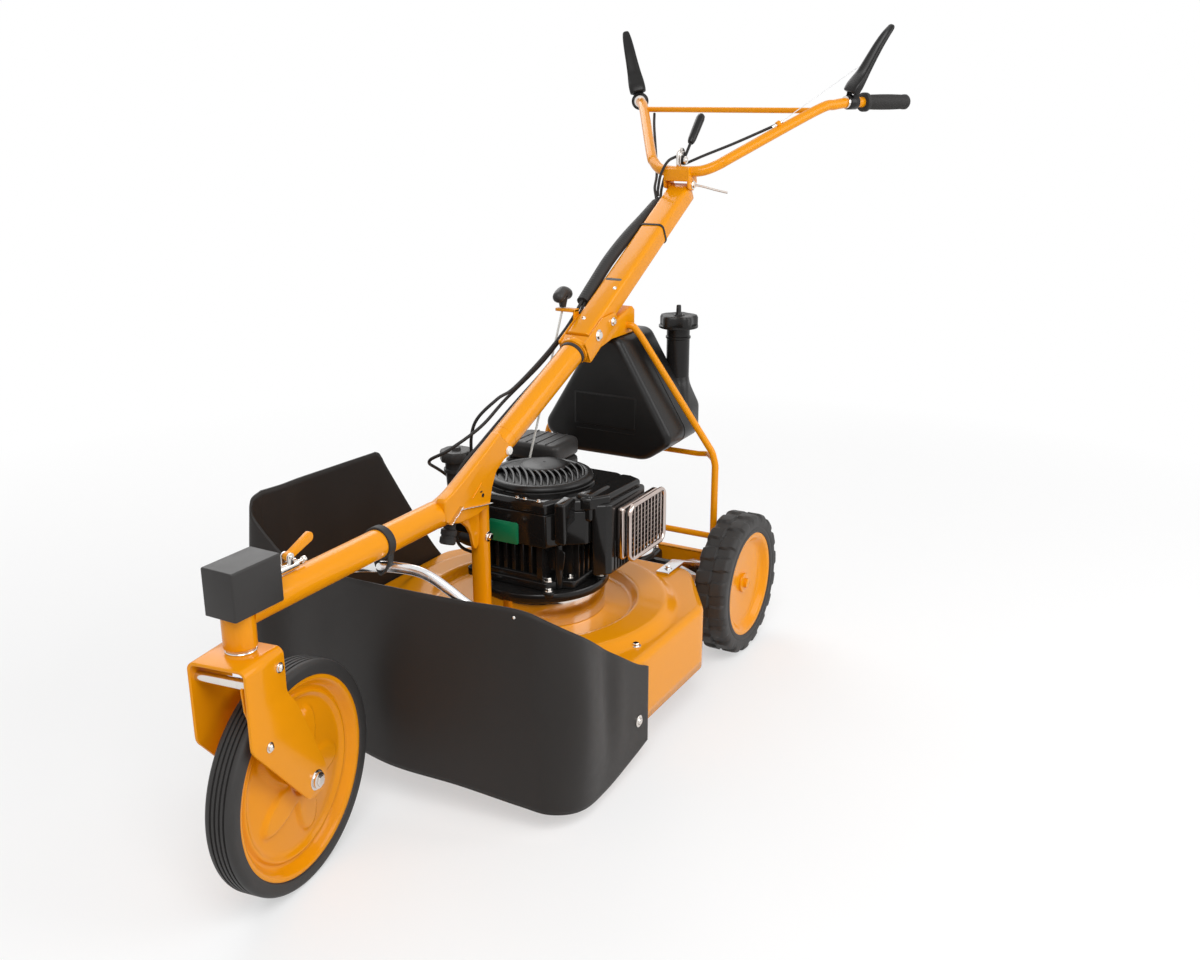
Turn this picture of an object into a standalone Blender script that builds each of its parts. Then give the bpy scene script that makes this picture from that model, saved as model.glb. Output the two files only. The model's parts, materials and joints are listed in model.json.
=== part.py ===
"""Walk-behind brush cutter with a castering front wheel, a round cutting deck, a vertical-shaft
engine, two driven rear wheels and a handlebar on a single tilting column.

Units are metres. +Z is up, -Y is the direction of travel and +X is the operator's left.
While it is built, Y is measured from the engine strut and X from the middle of the frame.
The finished machine is then shifted so that the origin is on the ground, mid-way along it.
"""

import math

import bmesh
import bpy
import numpy as np
from mathutils import Matrix, Vector

# Clearances: SEAT between fixed pieces that touch, RUN round a turning shaft, FREE beside moving ones.
SEAT = 0.0003
RUN = 0.0003
FREE = 0.0015

# Height of the boom and half the length of the axle tube, which many pieces follow
BOOM_HEIGHT = 0.452
AXLE_TUBE_HALF_LENGTH = 0.206

# Front caster
STEER_X = 0.005
STEER_Y = -0.555
CASTER_TURN = 0.1445
TRAIL = 0.078
FRONT_TYRE_RADIUS = 0.169
FRONT_TYRE_WIDTH = 0.046
FRONT_WHEEL_OFFSET = 0.005
FRONT_TYRE_DEPTH = 0.024
FRONT_HUB_RADIUS = 0.017
FRONT_HUB_LENGTH = 0.062
FRONT_AXLE_RADIUS = 0.006
YOKE_DROP = 0.052
YOKE_TOP = BOOM_HEIGHT - YOKE_DROP
YOKE_PLATE = 0.005
YOKE_INNER_HALF_WIDTH = 0.041
YOKE_FRONT = -0.054
YOKE_REAR = 0.029
FORK_NOSE_RADIUS = 0.026
ROLLER_RADIUS = 0.005
STEM_RADIUS = 0.014
STEM_RING_RADIUS = 0.0205
STEM_RING_HEIGHT = 0.006
LOCK_DISC_RADIUS = 0.0215
LOCK_DISC_HEIGHT = 0.010
LOCK_NOTCH_DEPTH = 0.006
LOCK_NOTCH_WIDTH = 0.0125
LOCK_NOTCHES = 4

# Head and frame
HEAD_TUBE_RADIUS = 0.0225
HEAD_TUBE_RISE = 0.0255
HEAD_TUBE_TOP = BOOM_HEIGHT + HEAD_TUBE_RISE
BOOM_RADIUS = 0.0225
BOOM_WALL = 0.0025
BOOM_END_Y = -0.125
COVER_HALF_WIDTH = 0.0275
COVER_FRONT = -0.030
COVER_LENGTH = 0.089
COVER_LIFT = 0.003
COVER_HEIGHT = 0.067
COVER_BOTTOM = BOOM_HEIGHT + COVER_LIFT
COVER_TOP = COVER_BOTTOM + COVER_HEIGHT
COVER_WALL = 0.002
KNEE_BEND_Y = -0.0885
KNEE_BEND_REACH = 0.030
GUSSET_SIDE = 0.0235
GUSSET_THICKNESS = 0.019
WEB_SIDE = 0.008
WEB_THICKNESS = 0.006
STRUT_RADIUS = 0.016
STRUT_Y = 0.0075
FRAME_BEVEL = 0.007
LOWER_COLUMN_RADIUS = 0.023
LOWER_COLUMN_START = (0.0, 0.098, 0.535)
LOWER_COLUMN_END = (0.0, 0.327, 0.637)
STRAP_Y = -0.258
STRAP_WIDTH = 0.026
STRAP_THICKNESS = 0.004
BOW_DROP = 0.050
BOW_HEIGHT = BOOM_HEIGHT - BOW_DROP
BOW_RADIUS = 0.008
APRON_THICKNESS = 0.004
APRON_BULGE = 0.012
APRON_FOLDS = (
    (0.145, 0.028, -0.009), (0.245, 0.035, 0.006), (0.800, 0.040, -0.008), (0.930, 0.032, -0.007)
)

# Caster lock on the boom
LOCK_PIN_RADIUS = 0.0028
LOCK_GUIDE_RADIUS = 0.0075
LOCK_GUIDE_LENGTH = 0.050
LOCK_GUIDE_START = -0.492
LOCK_PIN_TRAVEL = 0.0055
LOCK_PIN_PARK = 0.0005
LOCK_LEVER_LENGTH = 0.052
LOCK_LEVER_HEIGHT = 0.020
LOCK_LEVER_THICKNESS = 0.008
LOCK_LEVER_ANGLE = math.radians(35)
LOCK_PIVOT_RADIUS = 0.003

# Rear wheels and drive
REAR_AXLE_Y = 0.5525
REAR_TYRE_RADIUS = 0.144
REAR_TYRE_WIDTH = 0.068
WHEEL_OVERHANG = 0.080
REAR_TYRE_OUTER_X = AXLE_TUBE_HALF_LENGTH + WHEEL_OVERHANG
REAR_TYRE_DEPTH = 0.0385
REAR_LUG_HEIGHT = 0.005
REAR_LUGS = 18
REAR_HUB_RADIUS = 0.020
REAR_AXLE_RADIUS = 0.009
AXLE_TUBE_RADIUS = 0.0165
GEARBOX_HALF_WIDTH = 0.045
GEARBOX_SHAFT_RADIUS = 0.007
GEARBOX_SHAFT_Y = 0.515
GEARBOX_REAR_Y = 0.600
GEARBOX_TOP = 0.1665
SHAFT_DEPTH = 0.045
GUARD_LOW = 0.095
GUARD_HIGH = 0.172
AXLE_BRACKET_WIDTH = 0.028

# Cutting deck
DECK_CENTRE_Y = 0.000
DECK_NOSE = 0.160
DECK_RADIUS = 0.295
DECK_SIDE_END_Y = 0.296
DECK_REAR_Y = 0.455
TAIL_GAP = 0.023
DECK_REAR_HALF_WIDTH = REAR_TYRE_OUTER_X - REAR_TYRE_WIDTH - TAIL_GAP
GUARD_MARGIN = 0.005
GUARD_HALF_WIDTH = DECK_REAR_HALF_WIDTH - GUARD_MARGIN
AXLE_BRACKET_INSET = 0.035
AXLE_BRACKET_X = DECK_REAR_HALF_WIDTH - AXLE_BRACKET_INSET
DECK_TOP = 0.196
DECK_BOTTOM = 0.073
DECK_SHEET = 0.003
DECK_CORNER = 0.045
DECK_EDGE = 0.010
VOLUTE_CENTRE_Y = 0.150
VOLUTE_INNER = 0.185
VOLUTE_OUTER = 0.272
VOLUTE_RISE = 0.016
INLET_HALF_WIDTH = 0.190
INLET_TOP = 0.165
BLADE_RADIUS = 0.262
BLADE_WIDTH = 0.055
BLADE_SHEET = 0.004
BLADE_HEIGHT = 0.105
BLADE_BOLT_RADIUS = 0.006

# Engine
CRANK_X = 0.020
CRANK_Y = 0.170
CRANK_RADIUS = 0.0125
SEAT_RING_RADIUS = 0.118
SEAT_RING_TOP = 0.243
FLANGE_RADIUS = 0.125
FLANGE_TOP = 0.262
CRANKCASE_TOP = 0.345
CRANKCASE_HALF_WIDTH = 0.098
CRANKCASE_FRONT_Y = 0.085
CRANKCASE_REAR_Y = 0.290
CASE_FINS = 11
COWL_TOP = 0.428
COWL_LEFT_X = 0.145
COWL_RIGHT_X = -0.115
COWL_FRONT_Y = 0.072
COWL_REAR_Y = 0.300
COWL_WALL = 0.004
GRILLE_RADIUS = 0.096
GRILLE_TOP = 0.450
GRILLE_DOME_RADIUS = 0.040
GRILLE_SLOTS = 11
FLYWHEEL_RADIUS = 0.078
FLYWHEEL_BOTTOM = 0.362
FLYWHEEL_TOP = 0.412
FLYWHEEL_FINS = 8
PULLEY_HEIGHT = 0.177
PULLEY_THICKNESS = 0.016
PULLEY_RADIUS = 0.032
GEARBOX_PULLEY_RADIUS = 0.048
BELT_WIDTH = 0.010
BELT_THICKNESS = 0.008
BELT_GAP = 0.0006
SHROUD_OUTER_X = 0.176
MUFFLER_OUTER_X = 0.205
MUFFLER_FRONT_Y = 0.172
MUFFLER_REAR_Y = 0.318
MUFFLER_BOTTOM = 0.303
MUFFLER_TOP = 0.412
GUARD_THICKNESS = 0.014
GUARD_BARS = 7
FILTER_X = -0.085
FILTER_SIZE = (0.120, 0.095)
FILTER_BOTTOM = 0.352
FILTER_TOP = 0.455
OIL_NECK = (-0.148, 0.150)
OIL_NECK_RADIUS = 0.021
OIL_NECK_TOP = 0.452
OIL_CAP_RADIUS = 0.031
OIL_CAP_HEIGHT = 0.026
NECK_WALL = 0.005
CAP_SIDES = 16

# Fuel tank
TANK_FRONT_Y = 0.452
TANK_DEPTH = 0.150
TANK_BASE = 0.402
TANK_SHOULDER = 0.446
TANK_TOP = 0.645
TANK_HALF_WIDTH = 0.150
TANK_TOP_HALF_WIDTH = 0.028
TANK_CORNER = 0.026
TANK_EDGE = 0.014
NECK_X = 0.082
NECK_Y = TANK_FRONT_Y + TANK_DEPTH + 0.010
NECK_RADIUS = 0.0235
NECK_TOP = 0.645
TANK_CAP_RADIUS = 0.041
TANK_CAP_HEIGHT = 0.026

# Rod frame behind the engine
ROD_RADIUS = 0.007
ROD_INSET = 0.008
ROD_HALF_WIDTH = AXLE_TUBE_HALF_LENGTH - ROD_INSET
ROD_SHOULDER_Z = 0.405
BRACKET_FRONT_Y = 0.392
BRACKET_REAR_Y = 0.530
BRACKET_HALF_WIDTH = 0.024
CROSS_LOW_Z = 0.232
CROSS_HIGH_Z = 0.392

# Column, clamp and handlebar
COLUMN_WIDTH = 0.050
COLUMN_DEPTH = 0.042
COLUMN_WALL = 0.003
COLUMN_CORNER = 0.006
COLUMN_PIVOT = (0.0, LOWER_COLUMN_END[1] + 0.045, LOWER_COLUMN_END[2] + 0.027)
COLUMN_REACH = 0.418
COLUMN_RISE = 0.235
COLUMN_TOP = (0.0, COLUMN_PIVOT[1] + COLUMN_REACH, COLUMN_PIVOT[2] + COLUMN_RISE)
COLUMN_HEEL = 0.022
CLAMP_CHEEK = 0.004
CLAMP_LENGTH = 0.098
COLUMN_BOLT_RADIUS = 0.006
BAR_PIVOT = (0.0, COLUMN_TOP[1] - 0.008, COLUMN_TOP[2] + 0.015)
BAR_BOLT_RADIUS = 0.005
BAR_LUG_RADIUS = 0.0105
BAR_BRACKET_CHEEK = 0.004
BAR_RADIUS = 0.011
BAR_WALL = 0.002
CROSSBAR_RADIUS = 0.006
CROSSBAR_POINT = (0.2084, BAR_PIVOT[1] + 0.230, BAR_PIVOT[2] + 0.148)
GRIP_RADIUS = 0.0165
GRIP_LENGTH = 0.138
GRIP_SPLAY = math.radians(27)
GRIP_GAP = 0.034
GRIP_COLLAR_RADIUS = 0.0205
GRIP_COLLAR_WIDTH = 0.012
LEVER_POINT = (0.260, BAR_PIVOT[1] + 0.316, BAR_PIVOT[2] + 0.165)
LEVER_TILT = math.radians(13)
LEVER_RISE = 0.026
LEVER_HUB_HALF_LENGTH = 0.009
LEVER_PIN_RADIUS = 0.003
LEVER_LENGTH = 0.150
LEVER_WIDTH = 0.040
LEVER_TIP_WIDTH = 0.022
LEVER_THICKNESS = 0.012
LEVER_LEAN = math.radians(23)
SPEED_LEVER_LENGTH = 0.120
SPEED_PLATE_RADIUS = 0.022
SPEED_AXIS_X = -0.005
SPEED_AXIS_RISE = 0.050
SPEED_PLATE = 0.006
SPEED_HUB_RADIUS = 0.010

# Bowden cables, sleeve and starter rope
CABLE_RADIUS = 0.003
CLIP_SHARE = 0.55
SLEEVE_RADIUS = 0.0125
ROPE_RADIUS = 0.0022
STARTER_GRIP_LENGTH = 0.062
STARTER_GRIP_RADIUS = 0.0115
STARTER_GRIP_TURN = math.radians(9)
ROPE_FOOT = (-0.067, 0.272, 0.429)
ROPE_GUIDE = (-0.060, 0.392, 0.712)


def remove_everything():
    """Empty the scene, so that a second run starts afresh."""
    for item in list(bpy.data.objects):
        bpy.data.objects.remove(item, do_unlink=True)


def finish(name, colour, roughness, metallic):
    """A plain surface finish."""
    material = bpy.data.materials.new(name)
    material.use_nodes = True
    shader = material.node_tree.nodes["Principled BSDF"]
    shader.inputs["Base Color"].default_value = (*colour, 1.0)
    shader.inputs["Roughness"].default_value = roughness
    shader.inputs["Metallic"].default_value = metallic
    return material


FINISHES = {
    "orange_paint": ((0.90, 0.33, 0.015), 0.30, 0.0),
    "black_paint": ((0.012, 0.012, 0.012), 0.28, 0.0),
    "gloss_plastic": ((0.010, 0.010, 0.011), 0.22, 0.0),
    "matte_plastic": ((0.020, 0.019, 0.018), 0.55, 0.0),
    "soft_rubber": ((0.035, 0.032, 0.030), 0.60, 0.0),
    "tyre_rubber": ((0.018, 0.018, 0.018), 0.70, 0.0),
    "zinc": ((0.62, 0.62, 0.62), 0.35, 1.0),
    "bright_steel": ((0.60, 0.57, 0.54), 0.25, 1.0),
    "cast_alloy": ((0.45, 0.45, 0.46), 0.45, 1.0),
    "rope": ((0.75, 0.74, 0.70), 0.80, 0.0),
}


def outward(mesh):
    """Turn every face of a closed mesh outwards."""
    work = bmesh.new()
    work.from_mesh(mesh)
    bmesh.ops.recalc_face_normals(work, faces=work.faces)
    work.to_mesh(mesh)
    work.free()


def piece(name, vertices, faces, surface=None):
    """A new object from points and faces."""
    mesh = bpy.data.meshes.new(name)
    mesh.from_pydata([tuple(map(float, point)) for point in vertices], [], faces)
    mesh.update()
    outward(mesh)
    item = bpy.data.objects.new(name, mesh)
    bpy.context.scene.collection.objects.link(item)
    if surface:
        mesh.materials.append(bpy.data.materials[surface])
    return item


def settle(item):
    """Keep the mesh that an object's modifiers make, and drop the modifiers."""
    bpy.context.view_layer.update()
    graph = bpy.context.evaluated_depsgraph_get()
    mesh = bpy.data.meshes.new_from_object(item.evaluated_get(graph))
    item.modifiers.clear()
    item.data = mesh


def shade(item, angle=40.0):
    """Shade the round faces smooth and keep the sharp edges."""
    if item.type == "MESH":
        item.data.shade_smooth()
        item.data.set_sharp_from_angle(angle=math.radians(angle))


def combine(item, tool, operation):
    """Cut or join one closed solid with another, and use the second one up."""
    modifier = item.modifiers.new(operation, "BOOLEAN")
    modifier.operation = operation
    modifier.object = tool
    settle(item)
    bpy.data.objects.remove(tool, do_unlink=True)
    return item


def cut(item, *tools):
    for tool in tools:
        combine(item, tool, "DIFFERENCE")
    return item


def join(item, *tools):
    for tool in tools:
        combine(item, tool, "UNION")
    return item


def soften(item, width, segments=1, angle=35.0):
    """Round or chamfer the sharp edges."""
    modifier = item.modifiers.new("soften", "BEVEL")
    modifier.width = width
    modifier.segments = segments
    modifier.limit_method = "ANGLE"
    modifier.angle_limit = math.radians(angle)
    settle(item)
    return item


def circle(radius, sides, start=0.0):
    """Points round a circle."""
    angle = start + np.arange(sides) * 2 * np.pi / sides
    return np.stack([radius * np.cos(angle), radius * np.sin(angle)], 1)


def rounded(outline, radius, steps=3):
    """An outline with its corners replaced by arcs; radius may be one value or one per corner."""
    corners = np.array(outline, float)
    count = len(corners)
    radii = np.full(count, radius, float) if np.isscalar(radius) else np.array(radius, float)
    points = []
    for index, corner in enumerate(corners):
        before = corners[index - 1] - corner
        after = corners[(index + 1) % count] - corner
        reach = min(np.linalg.norm(before), np.linalg.norm(after)) * 0.49
        before /= np.linalg.norm(before)
        after /= np.linalg.norm(after)
        half = math.acos(max(-1.0, min(1.0, float(before @ after)))) / 2
        if radii[index] <= 0 or half > math.radians(88):
            points.append(corner)
            continue
        size = min(radii[index], reach * math.tan(half))
        middle = corner + (before + after) / np.linalg.norm(before + after) * size / math.sin(half)
        start = corner + before * size / math.tan(half) - middle
        end = corner + after * size / math.tan(half) - middle
        turn = math.atan2(start[0] * end[1] - start[1] * end[0], float(start @ end))
        for step in range(steps + 1):
            angle = turn * step / steps
            cosine, sine = math.cos(angle), math.sin(angle)
            points.append(
                middle + (start[0] * cosine - start[1] * sine, start[0] * sine + start[1] * cosine)
            )
    return np.array(points)


def rectangle(width, height, centre=(0.0, 0.0)):
    """The four corners of a rectangle."""
    half = np.array([width, height]) / 2
    return np.array([[-1, -1], [1, -1], [1, 1], [-1, 1]]) * half + np.array(centre)


def skin(rings, closed=False):
    """Points and faces through a row of rings, capped at both ends or joined into a loop."""
    rings = np.asarray(rings, float)
    count, sides = rings.shape[:2]
    faces = []
    for row in range(count if closed else count - 1):
        low, high = row * sides, (row + 1) % count * sides
        for side in range(sides):
            following = (side + 1) % sides
            faces.append((low + side, low + following, high + following, high + side))
    if not closed:
        faces.append(tuple(range(sides)))
        faces.append(tuple(range((count - 1) * sides, count * sides)))
    return rings.reshape(-1, 3), faces


def directions(path):
    """Unit tangents of a path."""
    steps = np.diff(path, axis=0)
    steps /= np.linalg.norm(steps, axis=1)[:, None]
    tangents = np.vstack([steps[:1], steps[:-1] + steps[1:], steps[-1:]])
    return tangents / np.linalg.norm(tangents, axis=1)[:, None]


def carry(path, section, side=(1.0, 0.0, 0.0)):
    """Rings of a section carried along a path without twisting."""
    path = np.array(path, float)
    tangents = directions(path)
    across = np.array(side, float)
    rings = []
    for index, point in enumerate(path):
        across = across - tangents[index] * (across @ tangents[index])
        across /= np.linalg.norm(across)
        up = np.cross(tangents[index], across)
        rings.append(point + section[:, :1] * across + section[:, 1:] * up)
    return np.array(rings)


def bar(name, path, section, surface=None, side=(1.0, 0.0, 0.0)):
    """A solid bar along a path."""
    return piece(name, *skin(carry(path, section, side)), surface)


def pipe(name, path, radius, wall, sides, surface=None, side=(1.0, 0.0, 0.0)):
    """An open-ended pipe along a path."""
    outer = carry(path, circle(radius, sides), side)
    inner = carry(path, circle(radius - wall, sides), side)
    return piece(name, *skin(np.concatenate([outer, inner[::-1]]), closed=True), surface)


def prism(name, outline, low, high, axis, surface=None):
    """An outline drawn square to an axis, extruded from low to high along it."""
    outline = np.array(outline, float)
    rings = []
    for level in (low, high):
        rings.append(np.insert(outline, axis, level, axis=1))
    return piece(name, *skin(rings), surface)


def block(name, low, high, surface=None):
    """A box from its two corners."""
    low, high = np.array(low, float), np.array(high, float)
    outline = rectangle(*(high - low)[:2], centre=(low + high)[:2] / 2)
    return prism(name, outline, low[2], high[2], 2, surface)


def turned(name, profile, axis, centre, sides, surface=None, ring=False, start=0.0):
    """A profile of (radius, distance along the axis) turned about an axis through centre.

    A ring is a closed loop of profile points; otherwise the two end rings are capped.
    """
    rings = []
    for radius, along in profile:
        flat = circle(radius, sides, start)
        rings.append(np.insert(flat, axis, along, axis=1) + np.array(centre, float))
    return piece(name, *skin(rings, closed=ring), surface)


def rod(name, start, end, radius, sides, surface=None):
    """A straight round rod between two points."""
    line = Vector(end) - Vector(start)
    side = (0, 1, 0) if abs(line.normalized().x) > 0.9 else (1, 0, 0)
    return bar(name, [start, end], circle(radius, sides), surface, side)


def smooth_path(points, steps):
    """A smooth curve through hand-picked points, by the Catmull-Rom rule."""
    points = np.array(points, float)
    padded = np.vstack([2 * points[0] - points[1], points, 2 * points[-1] - points[-2]])
    result = []
    for index in range(len(points) - 1):
        a, b, c, d = padded[index : index + 4]
        for t in np.arange(steps) / steps:
            bend = (2 * a - 5 * b + 4 * c - d) * t**2 + (3 * b - a - 3 * c + d) * t**3
            result.append(0.5 * (2 * b + (c - a) * t + bend))
    result.append(points[-1])
    return np.array(result)


def cable(name, points, radius, surface, steps=3):
    """A round cable as a bevelled curve on a smooth route through its points."""
    route = smooth_path(points, steps)
    curve = bpy.data.curves.new(name, "CURVE")
    curve.dimensions = "3D"
    curve.bevel_depth = radius
    curve.bevel_resolution = 2
    curve.use_fill_caps = True
    spline = curve.splines.new("POLY")
    spline.points.add(len(route) - 1)
    for knot, point in zip(spline.points, route):
        knot.co = (*point, 1.0)
    curve.materials.append(bpy.data.materials[surface])
    item = bpy.data.objects.new(name, curve)
    bpy.context.scene.collection.objects.link(item)
    return item


def between(start, end, share):
    """A point part of the way along a line."""
    return tuple(np.array(start) + (np.array(end) - np.array(start)) * share)


def mirrored(point):
    return (-point[0], point[1], point[2])


def pivot(name, location, parent=None, turn=0.0):
    """An empty on a joint's axis."""
    empty = bpy.data.objects.new(name, None)
    empty.empty_display_size = 0.05
    bpy.context.scene.collection.objects.link(empty)
    empty.parent = parent
    offset = parent.matrix_world.inverted() if parent else Matrix.Identity(4)
    empty.matrix_local = offset @ Matrix.Translation(location) @ Matrix.Rotation(turn, 4, "Z")
    bpy.context.view_layer.update()
    return empty


def attach(empty, *items):
    """Hang pieces that were drawn in the machine's own frame on an empty, where they are."""
    for item in items:
        item.parent = empty
        item.matrix_parent_inverse = empty.matrix_world.inverted()


def hang(empty, *items):
    """Hang pieces that were drawn in an empty's own frame on it."""
    for item in items:
        item.parent = empty


def front_wheel():
    """Pressed disc rim with a hub, and a ribbed solid tyre, both turned about X."""
    seat = FRONT_TYRE_RADIUS - FRONT_TYRE_DEPTH
    half = FRONT_TYRE_WIDTH / 2
    lip = half - 0.003
    web = 0.004
    centre = (FRONT_WHEEL_OFFSET, TRAIL, FRONT_TYRE_RADIUS)
    hub = FRONT_HUB_LENGTH / 2
    bore = FRONT_AXLE_RADIUS + RUN
    profile = [
        (bore, hub),
        (FRONT_HUB_RADIUS, hub),
        (FRONT_HUB_RADIUS, 0.010 + web),
        (0.055, 0.004 + web),
        (seat * 0.80, 0.009 + web),
        (seat * 0.86, 0.002 + web),
        (seat - 0.004, lip),
        (seat + 0.003, lip),
        (seat, lip - 0.004),
        (seat, 0.004 - lip),
        (seat + 0.003, -lip),
        (seat - 0.004, -lip),
        (seat * 0.86, 0.002),
        (seat * 0.80, 0.009),
        (0.055, 0.004),
        (FRONT_HUB_RADIUS, 0.010),
        (FRONT_HUB_RADIUS, -hub),
        (bore, -hub),
    ]
    rim = turned("front_rim", profile, 0, centre, 28, "orange_paint", ring=True)
    seat += SEAT
    tyre_profile = [
        (seat, lip - 0.005),
        (seat + 0.004, lip - 0.001),
        (seat + 0.004, lip + 0.002),
        (FRONT_TYRE_RADIUS - 0.010, half),
        (FRONT_TYRE_RADIUS - 0.003, half - 0.006),
        (FRONT_TYRE_RADIUS, half - 0.014),
        (FRONT_TYRE_RADIUS, 0.014 - half),
        (FRONT_TYRE_RADIUS - 0.003, 0.006 - half),
        (FRONT_TYRE_RADIUS - 0.010, -half),
        (seat + 0.004, -lip - 0.002),
        (seat + 0.004, 0.001 - lip),
        (seat, 0.005 - lip),
    ]
    tyre = turned("front_tyre", tyre_profile, 0, centre, 28, "tyre_rubber", ring=True)
    return rim, tyre


def caster_fork():
    """Pressed yoke: a top plate and two cranked arms, with the cross roller between them."""
    outer = YOKE_INNER_HALF_WIDTH + YOKE_PLATE
    axle = (TRAIL, FRONT_TYRE_RADIUS)
    heel = (YOKE_REAR, YOKE_TOP - 0.068)
    knee = (YOKE_FRONT, YOKE_TOP - 0.118)
    nose = FORK_NOSE_RADIUS
    arm = [
        (YOKE_FRONT, YOKE_TOP - 0.004),
        knee,
        (axle[0] - nose * 0.62, axle[1] - nose),
        (axle[0] + nose, axle[1] - nose * 0.75),
        (axle[0] + nose, axle[1] + nose * 0.45),
        (YOKE_REAR + 0.020, heel[1] - 0.026),
        heel,
        (YOKE_REAR, YOKE_TOP - 0.004),
    ]
    outline = rounded(arm, [0, 0.020, nose * 0.9, nose * 0.9, nose, 0.03, 0.02, 0], 3)
    plate = block(
        "caster_fork",
        (-outer, YOKE_FRONT, YOKE_TOP - YOKE_PLATE),
        (outer, YOKE_REAR, YOKE_TOP),
        "orange_paint",
    )
    soften(plate, 0.002)
    for side in (-1, 1):
        inner, edge = sorted((side * YOKE_INNER_HALF_WIDTH, side * outer))
        join(plate, prism("arm", outline, inner, edge, 0))
    roller_y = YOKE_FRONT + 0.014
    roller_z = YOKE_TOP - 0.026
    reach = YOKE_INNER_HALF_WIDTH + YOKE_PLATE / 2
    join(
        plate, rod("roller", (-reach, roller_y, roller_z), (reach, roller_y, roller_z), ROLLER_RADIUS, 10)
    )
    hole = STEM_RADIUS + SEAT
    cut(plate, rod("stem_hole", (0, 0, YOKE_TOP - 0.02), (0, 0, YOKE_TOP + 0.01), hole, 20))
    bore = FRONT_AXLE_RADIUS + SEAT
    cut(plate, rod("axle_hole", (-0.08, *axle), (0.08, *axle), bore, 12))
    return plate


def steering_stem():
    """Stem through the head tube with its thrust ring below and notched lock disc above."""
    disc_top = HEAD_TUBE_TOP + SEAT + LOCK_DISC_HEIGHT
    ring_low = YOKE_TOP + SEAT
    profile = [
        (STEM_RADIUS, YOKE_TOP - YOKE_PLATE - 0.004),
        (STEM_RADIUS, ring_low),
        (STEM_RING_RADIUS, ring_low),
        (STEM_RING_RADIUS, ring_low + STEM_RING_HEIGHT),
        (STEM_RADIUS, ring_low + STEM_RING_HEIGHT),
        (STEM_RADIUS, HEAD_TUBE_TOP + SEAT),
        (LOCK_DISC_RADIUS, HEAD_TUBE_TOP + SEAT),
        (LOCK_DISC_RADIUS, disc_top),
        (0.009, disc_top),
        (0.009, disc_top + 0.007),
    ]
    stem = turned("steering_stem", profile, 2, (0, 0, 0), 16, "zinc")
    for notch in range(LOCK_NOTCHES):
        turn = Matrix.Rotation(notch * 2 * math.pi / LOCK_NOTCHES - CASTER_TURN, 3, "Z")
        start = LOCK_DISC_RADIUS - LOCK_NOTCH_DEPTH
        box = rectangle(LOCK_NOTCH_WIDTH, 0.02, (0, start + 0.01))
        corners = [(turn @ Vector((*point, 0))).xy for point in box]
        cut(stem, prism("notch", corners, HEAD_TUBE_TOP + SEAT - 0.001, disc_top + 0.001, 2))
    return stem


def front_axle():
    """Axle bolt through both fork arms, with a head and a nut."""
    outer = YOKE_INNER_HALF_WIDTH + YOKE_PLATE + SEAT
    profile = [
        (0.0115, -outer - 0.008),
        (0.0115, -outer),
        (FRONT_AXLE_RADIUS, -outer),
        (FRONT_AXLE_RADIUS, outer),
        (0.0115, outer),
        (0.0115, outer + 0.008),
    ]
    return turned("front_axle", profile, 0, (0, TRAIL, FRONT_TYRE_RADIUS), 12, "zinc")


def head_tube():
    """Upright tube that carries the steering stem."""
    low = YOKE_TOP + STEM_RING_HEIGHT + 2 * SEAT
    inner = STEM_RADIUS + RUN
    profile = [
        (inner, low),
        (HEAD_TUBE_RADIUS, low),
        (HEAD_TUBE_RADIUS, HEAD_TUBE_TOP),
        (inner, HEAD_TUBE_TOP),
    ]
    return turned("head_tube", profile, 2, (STEER_X, STEER_Y, 0), 20, "orange_paint", ring=True)


def boom_x(y):
    """How far the boom's centre line stands off the middle at a distance along the machine."""
    return STEER_X * (BOOM_END_Y - y) / (BOOM_END_Y - STEER_Y)


def boom_tube():
    """Straight frame tube from the head to the junction, its end hollowed to fit the head."""
    start_y = STEER_Y + HEAD_TUBE_RADIUS * 0.5
    start = (boom_x(start_y), start_y, BOOM_HEIGHT)
    end = (0, BOOM_END_Y - SEAT, BOOM_HEIGHT)
    tube = pipe("boom_tube", [start, end], BOOM_RADIUS, BOOM_WALL, 16, "orange_paint")
    low, high = BOOM_HEIGHT - 0.05, BOOM_HEIGHT + 0.05
    mouth = rod("mouth", (STEER_X, STEER_Y, low), (STEER_X, STEER_Y, high), HEAD_TUBE_RADIUS + SEAT, 20)
    return cut(tube, mouth)


def head_cover():
    """Square moulded cap over the head, open below, notched for the boom and the lock guide."""
    front = STEER_Y + COVER_FRONT
    back = front + COVER_LENGTH
    cover = block(
        "head_cover",
        (STEER_X - COVER_HALF_WIDTH, front, COVER_BOTTOM),
        (STEER_X + COVER_HALF_WIDTH, back, COVER_TOP),
        "matte_plastic",
    )
    soften(cover, 0.0025)
    inside = COVER_HALF_WIDTH - COVER_WALL
    cut(
        cover,
        block(
            "hollow",
            (STEER_X - inside, front + COVER_WALL, COVER_BOTTOM - 0.01),
            (STEER_X + inside, back - COVER_WALL, COVER_TOP - COVER_WALL),
        ),
    )
    notch = BOOM_RADIUS + SEAT
    middle = boom_x(back)
    ends = [(middle, back + reach, BOOM_HEIGHT) for reach in (-0.02, 0.02)]
    cut(cover, rod("boom_notch", *ends, notch, 16))
    slot = LOCK_GUIDE_RADIUS + SEAT
    low = (STEER_X - slot, back - 0.01, BOOM_HEIGHT)
    return cut(cover, block("guide_slot", low, (STEER_X + slot, back + 0.01, lock_height() + 0.018)))


def lock_height():
    """Height of the lock pin's axis, level with the notched disc."""
    return HEAD_TUBE_TOP + SEAT + LOCK_DISC_HEIGHT / 2 + 0.0006


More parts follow.
